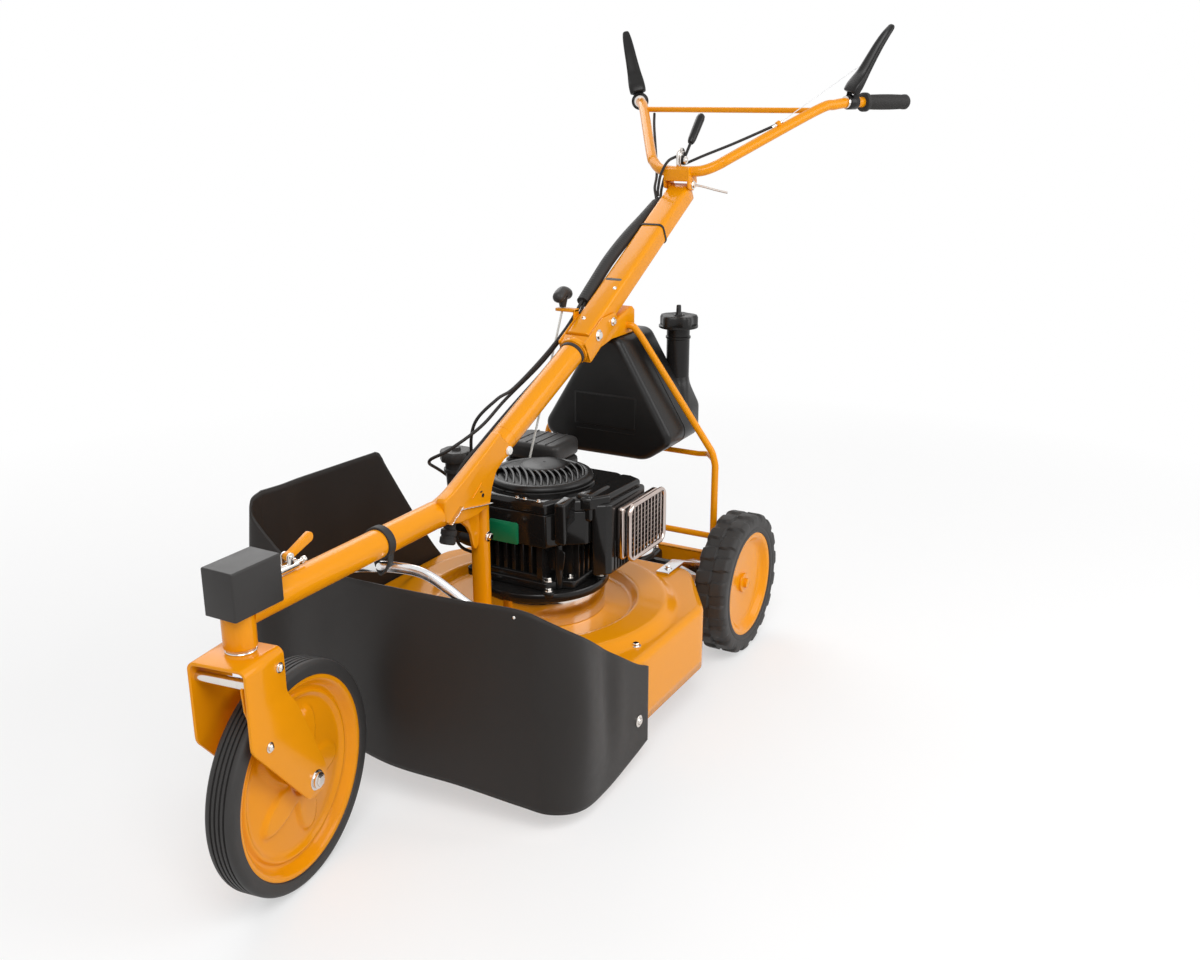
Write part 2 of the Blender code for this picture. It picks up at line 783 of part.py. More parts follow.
def lock_guide():
    """Guide tube of the lock pin on top of the boom, with a pair of ears for the lever."""
    height = lock_height()
    end = LOCK_GUIDE_START + LOCK_GUIDE_LENGTH
    guide = pipe(
        "lock_guide",
        [(STEER_X, LOCK_GUIDE_START, height), (STEER_X, end, height)],
        LOCK_GUIDE_RADIUS,
        LOCK_GUIDE_RADIUS - LOCK_PIN_RADIUS - RUN,
        12,
        "zinc",
    )
    inner = LOCK_LEVER_THICKNESS / 2 + SEAT
    pivot_y, pivot_z = lock_pivot()
    top = pivot_z + 0.006
    for side in (-1, 1):
        low, high = sorted((STEER_X + side * inner, STEER_X + side * (inner + 0.0025)))
        ear = rounded(rectangle(0.012, top - height, (pivot_y, (top + height) / 2)), 0.004, 2)
        join(guide, prism("ear", ear, low, high, 0))
    reach = inner + 0.0015
    ends = [(STEER_X + side * reach, pivot_y, pivot_z) for side in (-1, 1)]
    join(guide, rod("pivot_pin", *ends, LOCK_PIVOT_RADIUS, 10))
    foot = block(
        "foot",
        (STEER_X - 0.004, LOCK_GUIDE_START + 0.004, BOOM_HEIGHT + BOOM_RADIUS + SEAT),
        (STEER_X + 0.004, end - 0.004, height - LOCK_PIN_RADIUS - 0.003),
    )
    return join(guide, foot)


def lock_pivot():
    """The lever's axis, above the rear half of the guide."""
    return LOCK_GUIDE_START + LOCK_GUIDE_LENGTH * 0.70, lock_height() + LOCK_GUIDE_RADIUS + 0.007


def lock_pin():
    """Pin that slides forward into a notch of the steering stem's disc."""
    height = lock_height()
    tip = STEER_Y + LOCK_DISC_RADIUS + LOCK_PIN_PARK
    tail = LOCK_GUIDE_START + LOCK_GUIDE_LENGTH + 0.008
    profile = [
        (LOCK_PIN_RADIUS, tip),
        (LOCK_PIN_RADIUS, tail + LOCK_PIN_TRAVEL),
        (LOCK_PIN_RADIUS + 0.002, tail + LOCK_PIN_TRAVEL),
        (LOCK_PIN_RADIUS + 0.002, tail + LOCK_PIN_TRAVEL + 0.005),
    ]
    return turned("lock_pin", profile, 1, (STEER_X, 0, height), 10, "zinc")


def lock_lever():
    """Flat paddle on the ears of the lock guide, leaning back over the boom."""
    pivot_y, pivot_z = lock_pivot()
    half = LOCK_LEVER_HEIGHT / 2
    hub = 0.0055
    length = LOCK_LEVER_LENGTH
    outline = rounded(
        [
            (-hub, -hub), (hub, -hub), (length, -half * 0.25), (length, half * 1.25), (hub, hub),
            (-hub, hub)
        ],
        [0.005, 0.005, half * 0.7, half * 0.7, 0.02, 0.005],
        3,
    )
    cosine, sine = math.cos(LOCK_LEVER_ANGLE), math.sin(LOCK_LEVER_ANGLE)
    turned_outline = [
        (pivot_y + a * cosine - b * sine, pivot_z + a * sine + b * cosine) for a, b in outline
    ]
    thickness = LOCK_LEVER_THICKNESS / 2
    low, high = STEER_X - thickness, STEER_X + thickness
    lever = prism("lock_lever", turned_outline, low, high, 0, "orange_paint")
    bore = LOCK_PIVOT_RADIUS + RUN
    ends = [(STEER_X + side * 0.02, pivot_y, pivot_z) for side in (-1, 1)]
    return cut(lever, rod("bore", *ends, bore, 12))


def beside_strut(pairs):
    """Points of a side view, given as distances behind the strut and above the boom."""
    return [(STRUT_Y + back, BOOM_HEIGHT + up) for back, up in pairs]


def junction():
    """Knee of the frame: a bent tube, a gusset on its left side, a web under it and the strut."""
    slope = np.array(LOWER_COLUMN_END) - np.array(LOWER_COLUMN_START)
    slope /= np.linalg.norm(slope)
    bend = np.array([0.0, KNEE_BEND_Y, BOOM_HEIGHT])
    path = [
        np.array([0.0, BOOM_END_Y, BOOM_HEIGHT]),
        bend - np.array([0.0, KNEE_BEND_REACH / 2, 0.0]),
        bend + slope * KNEE_BEND_REACH,
        np.array(LOWER_COLUMN_START),
    ]
    knee = bar("frame_junction", path, circle(BOOM_RADIUS, 16), "orange_paint")
    gusset = beside_strut(
        [
            (-0.1285, -0.009), (-0.1085, -0.017), (-0.085, -0.023), (-0.0375, -0.024),
            (-0.001, -0.016), (0.008, 0.013), (0.021, 0.036), (0.047, 0.051), (0.069, 0.055),
            (0.069, 0.070), (0.042, 0.092), (0.037, 0.103), (-0.012, 0.077), (-0.063, 0.053),
            (-0.100, 0.0365), (-0.1285, 0.028),
        ]
    )
    plate = prism("gusset", gusset, GUSSET_SIDE - GUSSET_THICKNESS, GUSSET_SIDE, 0)
    soften(plate, FRAME_BEVEL / 2, 1, 50)
    join(knee, plate)
    web = beside_strut(
        [
            (-0.0825, -0.018), (-0.062, -0.0325), (-0.048, -0.0445), (-0.038, -0.060),
            (-0.033, -0.081), (-0.026, -0.093), (-0.0175, -0.086), (-0.0095, -0.052),
            (-0.0095, -0.007), (-0.0575, 0.003),
        ]
    )
    join(knee, prism("web", web, WEB_SIDE - WEB_THICKNESS, WEB_SIDE, 0))
    top = BOOM_HEIGHT + (STRUT_Y - KNEE_BEND_Y) * slope[2] / slope[1]
    join(knee, rod("strut", (0.0, STRUT_Y, DECK_TOP + SEAT), (0.0, STRUT_Y, top), STRUT_RADIUS, 16))
    bolt_y, bolt_z = STRUT_Y + 0.002, BOOM_HEIGHT - 0.0755
    reach = STRUT_RADIUS + 0.007
    return join(knee, rod("bolt", (-reach, bolt_y, bolt_z), (reach, bolt_y, bolt_z), 0.006, 8))


def lower_column():
    """Sloping round tube from the junction to the column clamp."""
    slope = np.array(LOWER_COLUMN_END) - np.array(LOWER_COLUMN_START)
    slope /= np.linalg.norm(slope)
    start = np.array(LOWER_COLUMN_START) + slope * SEAT
    return pipe(
        "lower_column", [start, LOWER_COLUMN_END], LOWER_COLUMN_RADIUS, BOOM_WALL, 16, "orange_paint"
    )


def column_axes():
    """Direction along the tilting column and the one square to it, both in the middle plane."""
    along = np.array(COLUMN_TOP) - np.array(COLUMN_PIVOT)
    along /= np.linalg.norm(along)
    return along, np.array([0.0, -along[2], along[1]])


def column_clamp():
    """Channel on the lower tube's end, with cheeks that hold the column's pivot bolt."""
    slope = np.array(LOWER_COLUMN_END) - np.array(LOWER_COLUMN_START)
    slope /= np.linalg.norm(slope)
    along, up = column_axes()
    centre = np.array(COLUMN_PIVOT)
    inner = COLUMN_WIDTH / 2 + FREE / 3
    outer = inner + CLAMP_CHEEK
    start = np.array(LOWER_COLUMN_END) + slope * SEAT
    body = bar(
        "column_clamp",
        [start, start + slope * 0.012],
        circle(LOWER_COLUMN_RADIUS + 0.004, 16),
        "orange_paint",
    )
    base = start + slope * 0.004
    reach = COLUMN_DEPTH / 2
    heel = centre - along * (COLUMN_HEEL + 0.004)
    cheek = [
        base - up * (reach + 0.004),
        centre + along * (CLAMP_LENGTH - COLUMN_HEEL) - up * (reach + 0.004),
        centre + along * (CLAMP_LENGTH - COLUMN_HEEL) - up * 0.004,
        centre + along * 0.030 + up * (reach - 0.004),
        base + up * (reach - 0.001),
    ]
    outline = rounded([(point[1], point[2]) for point in cheek], [0.004, 0.010, 0.010, 0.02, 0.004], 2)
    for side in (-1, 1):
        low, high = sorted((side * inner, side * outer))
        join(body, prism("cheek", outline, low, high, 0))
    stop = [
        base - up * (reach + 0.004), heel - up * (reach + 0.004), heel + up * (reach - 0.004),
        base + up * (reach - 0.004)
    ]
    join(body, prism("stop", [(point[1], point[2]) for point in stop], -outer + 0.001, outer - 0.001, 0))
    reach_x = outer + 0.006
    bolt = rod("bolt", (-reach_x, *centre[1:]), (reach_x, *centre[1:]), COLUMN_BOLT_RADIUS, 12)
    return join(body, bolt)


def upper_column():
    """Rectangular tilting tube, its heel rounded about the pivot bolt."""
    along, up = column_axes()
    centre = np.array(COLUMN_PIVOT)
    start = centre - along * COLUMN_HEEL
    section = rounded(rectangle(COLUMN_WIDTH, COLUMN_DEPTH), COLUMN_CORNER, 1)
    inner = rounded(
        rectangle(COLUMN_WIDTH - 2 * COLUMN_WALL, COLUMN_DEPTH - 2 * COLUMN_WALL), COLUMN_CORNER / 2, 1
    )
    path = [start, COLUMN_TOP]
    rings = np.concatenate([carry(path, section), carry(path, inner)[::-1]])
    tube = piece("upper_column", *skin(rings, closed=True), "orange_paint")
    bore = COLUMN_BOLT_RADIUS + RUN
    cut(tube, rod("bore", (-0.05, *centre[1:]), (0.05, *centre[1:]), bore, 14))
    lug = BAR_PIVOT
    cheek_outer = COLUMN_WIDTH / 2
    for side in (-1, 1):
        low, high = sorted((side * (cheek_outer - 0.006), side * cheek_outer))
        join(tube, rod("lug", (low, *lug[1:]), (high, *lug[1:]), BAR_LUG_RADIUS, 16))
    hole = BAR_BOLT_RADIUS + RUN
    return cut(tube, rod("lug_hole", (-0.05, *lug[1:]), (0.05, *lug[1:]), hole, 12))


def grip_direction():
    """Direction of the operator's left grip, level and splayed outwards."""
    return np.array([math.sin(GRIP_SPLAY), math.cos(GRIP_SPLAY), 0.0])


def grip_start():
    """Where the handlebar enters the operator's left grip."""
    return np.array(LEVER_POINT) + grip_direction() * GRIP_GAP


def by_bar(x, back, up):
    """A point at a distance behind and above the handlebar's pivot."""
    return x, BAR_PIVOT[1] + back, BAR_PIVOT[2] + up


def bar_points():
    """Centre line of the operator's left half of the handlebar, from the bracket outwards."""
    out = grip_start()
    direction = grip_direction()
    return [
        by_bar(0.0, -0.006, 0.027),
        by_bar(0.036, -0.001, 0.028),
        by_bar(0.056, 0.009, 0.032),
        by_bar(0.077, 0.028, 0.043),
        by_bar(0.098, 0.055, 0.059),
        by_bar(0.2084, 0.2355, 0.148),
        by_bar(0.236, 0.278, 0.160),
        tuple(out - direction * GRIP_GAP),
        tuple(out - direction * 0.010),
        tuple(out + direction * GRIP_LENGTH * 0.4),
        tuple(out + direction * (GRIP_LENGTH - 0.025)),
    ]


def handlebar():
    """Bent tube with its cross rod, on a bracket that clamps about the column's lugs."""
    half = np.array(bar_points())
    path = np.vstack([half[::-1] * (-1, 1, 1), half[1:]])
    tube = pipe("handlebar", path, BAR_RADIUS, BAR_WALL, 10, "orange_paint", side=(0, 0, 1))
    middle = len(half) - 1
    join(
        tube,
        bar("core", path[middle - 1 : middle + 2], circle(BAR_RADIUS - BAR_WALL / 2, 10), side=(0, 0, 1)),
    )
    left = CROSSBAR_POINT
    join(tube, rod("cross_rod", mirrored(left), left, CROSSBAR_RADIUS, 10))
    inner = COLUMN_WIDTH / 2 + SEAT
    outer = inner + BAR_BRACKET_CHEEK
    y, z = BAR_PIVOT[1:]
    cheek = [
        (y - 0.022, z - 0.006), (y + 0.004, z - 0.012), (y + 0.020, z + 0.004), (y + 0.014, z + 0.036),
        (y - 0.024, z + 0.038)
    ]
    outline = rounded(cheek, 0.006, 2)
    for side in (-1, 1):
        low, high = sorted((side * inner, side * outer))
        join(tube, prism("cheek", outline, low, high, 0))
    join(
        tube,
        block("bridge", (-outer + 0.001, y - 0.020, z + 0.024), (outer - 0.001, y + 0.008, z + 0.034)),
    )
    bolt_end = outer + 0.006
    join(tube, rod("bolt", (-bolt_end, y, z), (bolt_end, y, z), BAR_BOLT_RADIUS, 10))
    join(
        tube,
        rod("clamp_rod", (bolt_end - 0.003, y, z), (bolt_end + 0.072, y + 0.010, z - 0.014), 0.0022, 8),
    )
    join(tube, lever_mount(1), lever_mount(-1))
    ends = [(SPEED_AXIS_X, *speed_axis()), (SPEED_AXIS_X + SPEED_PLATE, *speed_axis())]
    return join(tube, rod("quadrant", *ends, SPEED_PLATE_RADIUS, 16))


def speed_axis():
    """The speed lever's axis, above the handlebar bracket."""
    return BAR_PIVOT[1] + 0.004, BAR_PIVOT[2] + SPEED_AXIS_RISE


def grip(name, side):
    """Sleeve grip with a collar at its inner end, turned about the handlebar's end."""
    start, along = grip_start(), grip_direction()
    start = start * (side, 1, 1)
    along = along * (side, 1, 1)
    profile = [
        (0.0, GRIP_COLLAR_RADIUS),
        (GRIP_COLLAR_WIDTH, GRIP_COLLAR_RADIUS),
        (GRIP_COLLAR_WIDTH + 0.002, GRIP_RADIUS * 0.9),
        (0.030, GRIP_RADIUS),
        (GRIP_LENGTH - 0.006, GRIP_RADIUS),
        (GRIP_LENGTH, GRIP_RADIUS - 0.005),
    ]
    sides = 12
    bore = (BAR_RADIUS + SEAT) / math.cos(math.pi / sides)
    depth = GRIP_LENGTH - 0.022
    hollow = [(depth, bore), (0.0, bore)]
    across = np.array([0.0, 0.0, 1.0])
    other = np.cross(along, across)
    rings = []
    for distance, radius in profile + [(GRIP_LENGTH, 0.003), (depth, 0.003)] + hollow:
        flat = circle(radius, sides)
        rings.append(start + along * distance + flat[:, :1] * across + flat[:, 1:] * other)
    return piece(name, *skin(rings, closed=True), "soft_rubber")


def lever_frame(side):
    """Pivot, axis, grip direction and up direction of a hand lever."""
    splay = grip_direction()
    outwards = np.array([splay[1], -splay[0], 0.0])
    up = outwards * math.sin(LEVER_TILT) + np.array([0.0, 0.0, math.cos(LEVER_TILT)])
    centre = (np.array(LEVER_POINT) + up * LEVER_RISE) * (side, 1, 1)
    along, up = splay * (side, 1, 1), up * (side, 1, 1)
    return centre, np.cross(along, up), along, up


def lever_mount(side):
    """Clip round the handlebar with two cheeks and the lever's pin."""
    centre, axis, along, up = lever_frame(side)
    middle = centre - up * LEVER_RISE
    ends = [middle - along * 0.013, middle + along * 0.013]
    clip = pipe("clip", ends, BAR_RADIUS + 0.0045, 0.0055, 12, side=(0, 0, 1))
    inner = LEVER_HUB_HALF_LENGTH + SEAT
    for way in (-1, 1):
        root = centre + axis * way * inner
        tip = centre + axis * way * (inner + 0.003)
        join(clip, bar("cheek", [root, tip], circle(0.0095, 12), side=(0, 0, 1)))
        post = [(root + tip) / 2 - up * (LEVER_RISE - 0.006), (root + tip) / 2]
        join(clip, bar("post", post, rectangle(0.016, 0.0026), side=along))
    pin = [centre - axis * (inner + 0.001), centre + axis * (inner + 0.001)]
    return join(clip, bar("pin", pin, circle(LEVER_PIN_RADIUS, 10), side=(0, 0, 1)))


def hand_lever(name, side):
    """Broad moulded lever on its pin above the handlebar, with a narrowing, bowed blade."""
    centre, axis, along, up = lever_frame(side)
    lean = math.sin(LEVER_LEAN) * along + math.cos(LEVER_LEAN) * up
    thick = np.cross(axis, lean)
    stations = [
        (0.0135, LEVER_WIDTH, LEVER_THICKNESS * 1.1, 0.000),
        (0.040, LEVER_WIDTH * 0.95, LEVER_THICKNESS, 0.001),
        (0.070, LEVER_WIDTH * 0.88, LEVER_THICKNESS, 0.002),
        (0.100, LEVER_WIDTH * 0.78, LEVER_THICKNESS * 0.95, 0.004),
        (0.125, LEVER_WIDTH * 0.67, LEVER_THICKNESS * 0.90, 0.008),
        (LEVER_LENGTH - 0.008, LEVER_TIP_WIDTH, LEVER_THICKNESS * 0.80, 0.013),
        (LEVER_LENGTH, LEVER_TIP_WIDTH * 0.5, LEVER_THICKNESS * 0.45, 0.014),
    ]
    rings = []
    for distance, width, thickness, bow in stations:
        section = rounded(rectangle(width, thickness), thickness * 0.3, 1)
        middle = centre + lean * distance + along * bow
        rings.append(middle + section[:, :1] * axis + section[:, 1:] * thick)
    lever = piece(name, *skin(rings), "matte_plastic")
    hub = LEVER_HUB_HALF_LENGTH
    join(lever, bar("hub", [centre - axis * hub, centre + axis * hub], circle(0.008, 14), side=(0, 0, 1)))
    neck_path = [centre + lean * 0.004, centre + lean * 0.018]
    join(lever, bar("neck", neck_path, rectangle(hub * 2 - 0.002, 0.009), side=axis))
    bore = bar(
        "bore",
        [centre - axis * 0.03, centre + axis * 0.03],
        circle(LEVER_PIN_RADIUS + RUN, 12),
        side=(0, 0, 1),
    )
    return cut(lever, bore)


def deck_outline(inset=0.0):
    """Plan of the deck: a half ellipse in front, straight sides and a tapered tail."""
    angle = np.pi + np.arange(17) * np.pi / 16
    width, depth = DECK_RADIUS - inset, DECK_NOSE - inset
    nose = np.stack([width * np.cos(angle), DECK_CENTRE_Y + depth * np.sin(angle)], 1)
    tail_half = DECK_REAR_HALF_WIDTH - inset * 0.6
    tail = [
        (width, DECK_SIDE_END_Y - inset * 0.3),
        (tail_half, DECK_REAR_Y - inset),
        (-tail_half, DECK_REAR_Y - inset),
        (-width, DECK_SIDE_END_Y - inset * 0.3),
    ]
    outline = np.vstack([nose, tail])
    return rounded(outline, [0.0] * len(nose) + [DECK_CORNER] * 4, 2)


def deck_housing():
    """Pressed deck, open below, with a front inlet and a raised spiral on its roof."""
    deck = prism("deck_housing", deck_outline(), DECK_BOTTOM - 2 * DECK_EDGE, DECK_TOP, 2, "orange_paint")
    soften(deck, DECK_EDGE, 1, 50)
    reach = DECK_RADIUS + 0.2
    cut(deck, block("below", (-reach, -reach, DECK_BOTTOM - 0.05), (reach, 2 * reach, DECK_BOTTOM)))
    start, end = math.radians(-70), math.radians(205)
    angle = start + (end - start) * np.arange(17) / 16
    swell = 1 + 0.10 * np.sin((angle - start) / (end - start) * np.pi)
    middle = (VOLUTE_INNER + VOLUTE_OUTER) / 2 * swell - 0.012
    path = np.stack(
        [middle * np.cos(angle), VOLUTE_CENTRE_Y + middle * np.sin(angle), np.full(17, DECK_TOP)], 1
    )
    width = VOLUTE_OUTER - VOLUTE_INNER
    rise = VOLUTE_RISE
    section = np.array(
        [
            (-width / 2, -0.002),
            (-width / 2, rise * 0.5),
            (-width * 0.32, rise),
            (width * 0.2, rise),
            (width / 2, -0.002),
        ]
    )
    first = (math.cos(start), math.sin(start), 0)
    rings = carry(path, section, first)
    if rings[0, 2, 2] < DECK_TOP:
        rings = carry(path, section * (1, -1), first)
    join(deck, piece("volute", *skin(rings)))
    cavity = prism(
        "cavity", deck_outline(DECK_SHEET), DECK_BOTTOM - 3 * DECK_EDGE, DECK_TOP - DECK_SHEET, 2
    )
    soften(cavity, DECK_EDGE - DECK_SHEET * 0.6, 1, 50)
    cut(deck, cavity)
    inlet = block(
        "inlet",
        (-INLET_HALF_WIDTH, DECK_CENTRE_Y - DECK_NOSE - 0.01, DECK_BOTTOM - 0.01),
        (INLET_HALF_WIDTH, DECK_CENTRE_Y - 0.03, INLET_TOP),
    )
    belt_reach = GEARBOX_PULLEY_RADIUS + 0.020
    belt_gate = block(
        "belt_gate",
        (CRANK_X - belt_reach, DECK_REAR_Y - 0.02, PULLEY_HEIGHT - 0.016),
        (CRANK_X + belt_reach, DECK_REAR_Y + 0.01, PULLEY_HEIGHT + 0.010),
    )
    crank_hole = rod(
        "crank_hole", (CRANK_X, CRANK_Y, DECK_TOP - 0.02), (CRANK_X, CRANK_Y, DECK_TOP + 0.03), 0.030, 20
    )
    return cut(deck, inlet, belt_gate, crank_hole)


def blade():
    """Flat cutter bar with a centre hole and lifted trailing edges at its ends."""
    length, width = BLADE_RADIUS * 2 - 0.012, BLADE_WIDTH
    low, high = BLADE_HEIGHT, BLADE_HEIGHT + BLADE_SHEET
    outline = rounded(rectangle(length, width, (CRANK_X, CRANK_Y)), 0.006, 2)
    cutter = prism("blade", outline, low, high, 2, "bright_steel")
    for side in (-1, 1):
        outer = side * (length / 2 - 0.004)
        inner = side * (length / 2 - 0.085)
        edge = -side * (width / 2 - 0.001)
        wing = [
            (edge, low + 0.0008), (edge + side * 0.010, low + 0.0008),
            (edge + side * 0.004, high + 0.010), (edge, high + 0.012)
        ]
        ends = sorted((CRANK_X + inner, CRANK_X + outer))
        join(cutter, prism("wing", [(CRANK_Y + a, b) for a, b in wing], ends[0], ends[1], 0))
    hole = BLADE_BOLT_RADIUS + SEAT
    return cut(
        cutter, rod("hole", (CRANK_X, CRANK_Y, low - 0.02), (CRANK_X, CRANK_Y, high + 0.02), hole, 12)
    )


def pulley_profile(radius, low, thickness):
    """A flanged pulley's rim, from its lower face up."""
    flange = 0.0025
    return [
        (radius + 0.006, low),
        (radius + 0.006, low + flange),
        (radius, low + flange),
        (radius, low + thickness - flange),
        (radius + 0.006, low + thickness - flange),
        (radius + 0.006, low + thickness),
    ]


def crankshaft():
    """Vertical crankshaft with the blade bolt, drive pulley and finned flywheel on it."""
    blade_top = BLADE_HEIGHT + BLADE_SHEET + SEAT
    pulley_low = PULLEY_HEIGHT - PULLEY_THICKNESS / 2
    profile = [
        (0.014, BLADE_HEIGHT - SEAT - 0.009),
        (0.014, BLADE_HEIGHT - SEAT),
        (BLADE_BOLT_RADIUS, BLADE_HEIGHT - SEAT),
        (BLADE_BOLT_RADIUS, blade_top),
        (0.024, blade_top),
        (0.024, blade_top + 0.008),
        (CRANK_RADIUS + 0.004, blade_top + 0.014),
        (CRANK_RADIUS + 0.004, pulley_low),
        *pulley_profile(PULLEY_RADIUS, pulley_low, PULLEY_THICKNESS),
        (CRANK_RADIUS, PULLEY_HEIGHT + PULLEY_THICKNESS / 2),
        (CRANK_RADIUS, FLYWHEEL_BOTTOM),
        (FLYWHEEL_RADIUS * 0.70, FLYWHEEL_BOTTOM),
        (FLYWHEEL_RADIUS * 0.70, FLYWHEEL_BOTTOM + 0.012),
        (0.020, FLYWHEEL_BOTTOM + 0.012),
        (0.020, FLYWHEEL_TOP),
        (0.010, FLYWHEEL_TOP),
        (0.010, FLYWHEEL_TOP + 0.008),
    ]
    shaft = turned("crankshaft", profile, 2, (CRANK_X, CRANK_Y, 0), 14, "cast_alloy")
    outline = []
    step = 2 * math.pi / FLYWHEEL_FINS
    for fin in range(FLYWHEEL_FINS):
        for share, radius in ((0.0, 0.40), (0.12, 1.0), (0.26, 1.0), (0.30, 0.40)):
            angle = (fin + share) * step
            reach = FLYWHEEL_RADIUS * radius
            outline.append((CRANK_X + reach * math.cos(angle), CRANK_Y + reach * math.sin(angle)))
    fan = prism("fan", outline, FLYWHEEL_BOTTOM + 0.004, FLYWHEEL_TOP - 0.006, 2)
    return join(shaft, fan)


def drive_pulley():
    """Pulley on the gearbox's upright input shaft."""
    low = PULLEY_HEIGHT - PULLEY_THICKNESS / 2
    profile = [
        (GEARBOX_SHAFT_RADIUS, GEARBOX_TOP - 0.030),
        (GEARBOX_SHAFT_RADIUS, low),
        *pulley_profile(GEARBOX_PULLEY_RADIUS, low, PULLEY_THICKNESS),
        (GEARBOX_SHAFT_RADIUS, low + PULLEY_THICKNESS),
        (GEARBOX_SHAFT_RADIUS, low + PULLEY_THICKNESS + 0.006),
    ]
    return turned("drive_pulley", profile, 2, (CRANK_X, GEARBOX_SHAFT_Y, 0), 18, "zinc")


def belt_outline(offset):
    """The loop round both pulleys: two arcs joined by their outer tangents."""
    front, rear = PULLEY_RADIUS + offset, GEARBOX_PULLEY_RADIUS + offset
    lean = math.asin((rear - front) / (GEARBOX_SHAFT_Y - CRANK_Y))
    points = []
    for radius, centre_y, first, sweep in (
        (front, CRANK_Y, math.pi + lean, math.pi - 2 * lean),
        (rear, GEARBOX_SHAFT_Y, -lean, math.pi + 2 * lean),
    ):
        for step in range(13):
            angle = first + sweep * step / 12
            points.append((CRANK_X + radius * math.cos(angle), centre_y + radius * math.sin(angle)))
    return np.array(points)


def drive_belt():
    """Endless belt from the engine's pulley to the gearbox's."""
    low, high = PULLEY_HEIGHT - BELT_WIDTH / 2, PULLEY_HEIGHT + BELT_WIDTH / 2
    inner = belt_outline(BELT_GAP)
    outer = belt_outline(BELT_GAP + BELT_THICKNESS)
    rings = [
        np.insert(loop, 2, level, axis=1)
        for loop, level in ((inner, low), (outer, low), (outer, high), (inner, high))
    ]
    return piece("drive_belt", *skin(rings, closed=True), "soft_rubber")


def engine_base():
    """Engine seat on the deck: a bright ring under a black mounting flange."""
    bore = CRANK_RADIUS + RUN
    profile = [
        (bore, DECK_TOP + SEAT),
        (SEAT_RING_RADIUS, DECK_TOP + SEAT),
        (SEAT_RING_RADIUS, SEAT_RING_TOP),
        (FLANGE_RADIUS, SEAT_RING_TOP + 0.004),
        (FLANGE_RADIUS, FLANGE_TOP),
        (bore, FLANGE_TOP),
    ]
    return turned("engine_base", profile, 2, (CRANK_X, CRANK_Y, 0), 24, "black_paint", ring=True)


def crankcase():
    """Engine block, ribbed on its front face and bored for the crankshaft."""
    half = CRANKCASE_HALF_WIDTH
    front, rear = CRANKCASE_FRONT_Y, CRANKCASE_REAR_Y
    pitch = 2 * half / CASE_FINS
    outline = []
    for fin in range(CASE_FINS):
        left = -half + fin * pitch
        for share, depth in ((0.0, 0.0), (0.42, 0.0), (0.55, 0.007), (0.87, 0.007)):
            outline.append((CRANK_X + left + pitch * share, front + depth))
    outline += [(CRANK_X + half, front), (CRANK_X + half, rear), (CRANK_X - half, rear)]
    case = prism("crankcase", outline, FLANGE_TOP + SEAT, CRANKCASE_TOP, 2, "black_paint")
    bore = CRANK_RADIUS + RUN
    return cut(
        case,
        rod(
            "bore",
            (CRANK_X, CRANK_Y, FLANGE_TOP - 0.02),
            (CRANK_X, CRANK_Y, CRANKCASE_TOP + 0.02),
            bore,
            20,
        ),
    )


def blower_housing():
    """Moulded cowl over the flywheel, open below, with a round opening under the grille."""
    left, right = COWL_LEFT_X, COWL_RIGHT_X
    front, rear = COWL_FRONT_Y, COWL_REAR_Y
    corners = [
        (right, front), (left - 0.030, front), (left, front + 0.045), (left, rear - 0.020),
        (left - 0.03, rear), (right + 0.02, rear), (right, rear - 0.03)
    ]
    outline = rounded(corners, [0.012, 0.014, 0.03, 0.015, 0.02, 0.015, 0.015], 1)
    low = CRANKCASE_TOP + SEAT
    cowl = prism("blower_housing", outline, low, COWL_TOP, 2, "gloss_plastic")
    soften(cowl, 0.007, 1, 50)
    wall = COWL_WALL
    inner = [
        (right + wall, front + wall), (left - 0.032, front + wall), (left - wall, front + 0.046),
        (left - wall, rear - 0.022), (left - 0.031, rear - wall), (right + 0.02, rear - wall),
        (right + wall, rear - 0.032)
    ]
    cut(cowl, prism("hollow", rounded(inner, 0.010, 1), low - 0.01, COWL_TOP - wall, 2))
    collar = rod(
        "collar", (CRANK_X, CRANK_Y, COWL_TOP - wall), (CRANK_X, CRANK_Y, COWL_TOP + 0.006),
        GRILLE_RADIUS + 0.005, 24
    )
    join(cowl, collar)
    mouth = GRILLE_RADIUS - 0.008
    return cut(
        cowl,
        rod("mouth", (CRANK_X, CRANK_Y, COWL_TOP - 0.03), (CRANK_X, CRANK_Y, COWL_TOP + 0.03), mouth, 24),
    )


def starter_grille():
    """Domed round cover with a fan of slots in front of its smooth middle."""
    low = COWL_TOP + 0.006 + SEAT
    radius = GRILLE_RADIUS
    profile = [
        (0.003, GRILLE_TOP - 0.004),
        (radius * 0.55, GRILLE_TOP - 0.007),
        (radius * 0.85, GRILLE_TOP - 0.012),
        (radius * 0.88, low),
        (radius, low),
        (radius, GRILLE_TOP - 0.014),
        (radius * 0.88, GRILLE_TOP - 0.007),
        (radius * 0.55, GRILLE_TOP - 0.001),
        (0.003, GRILLE_TOP),
    ]
    cover = turned("starter_grille", profile, 2, (CRANK_X, CRANK_Y, 0), 24, "gloss_plastic")
    for slot in range(GRILLE_SLOTS):
        along = (slot - (GRILLE_SLOTS - 1) / 2) * radius * 1.45 / GRILLE_SLOTS
        reach = math.sqrt((radius * 0.80) ** 2 - along**2)
        near = max(0.012, math.sqrt(max(0.0, GRILLE_DOME_RADIUS**2 - along**2)))
        if reach - near < 0.010:
            continue
        width = radius * 0.07
        cut(
            cover,
            block(
                "slot",
                (CRANK_X + along - width / 2, CRANK_Y - reach, GRILLE_TOP - 0.03),
                (CRANK_X + along + width / 2, CRANK_Y - near, GRILLE_TOP + 0.01),
            ),
        )
    return cover


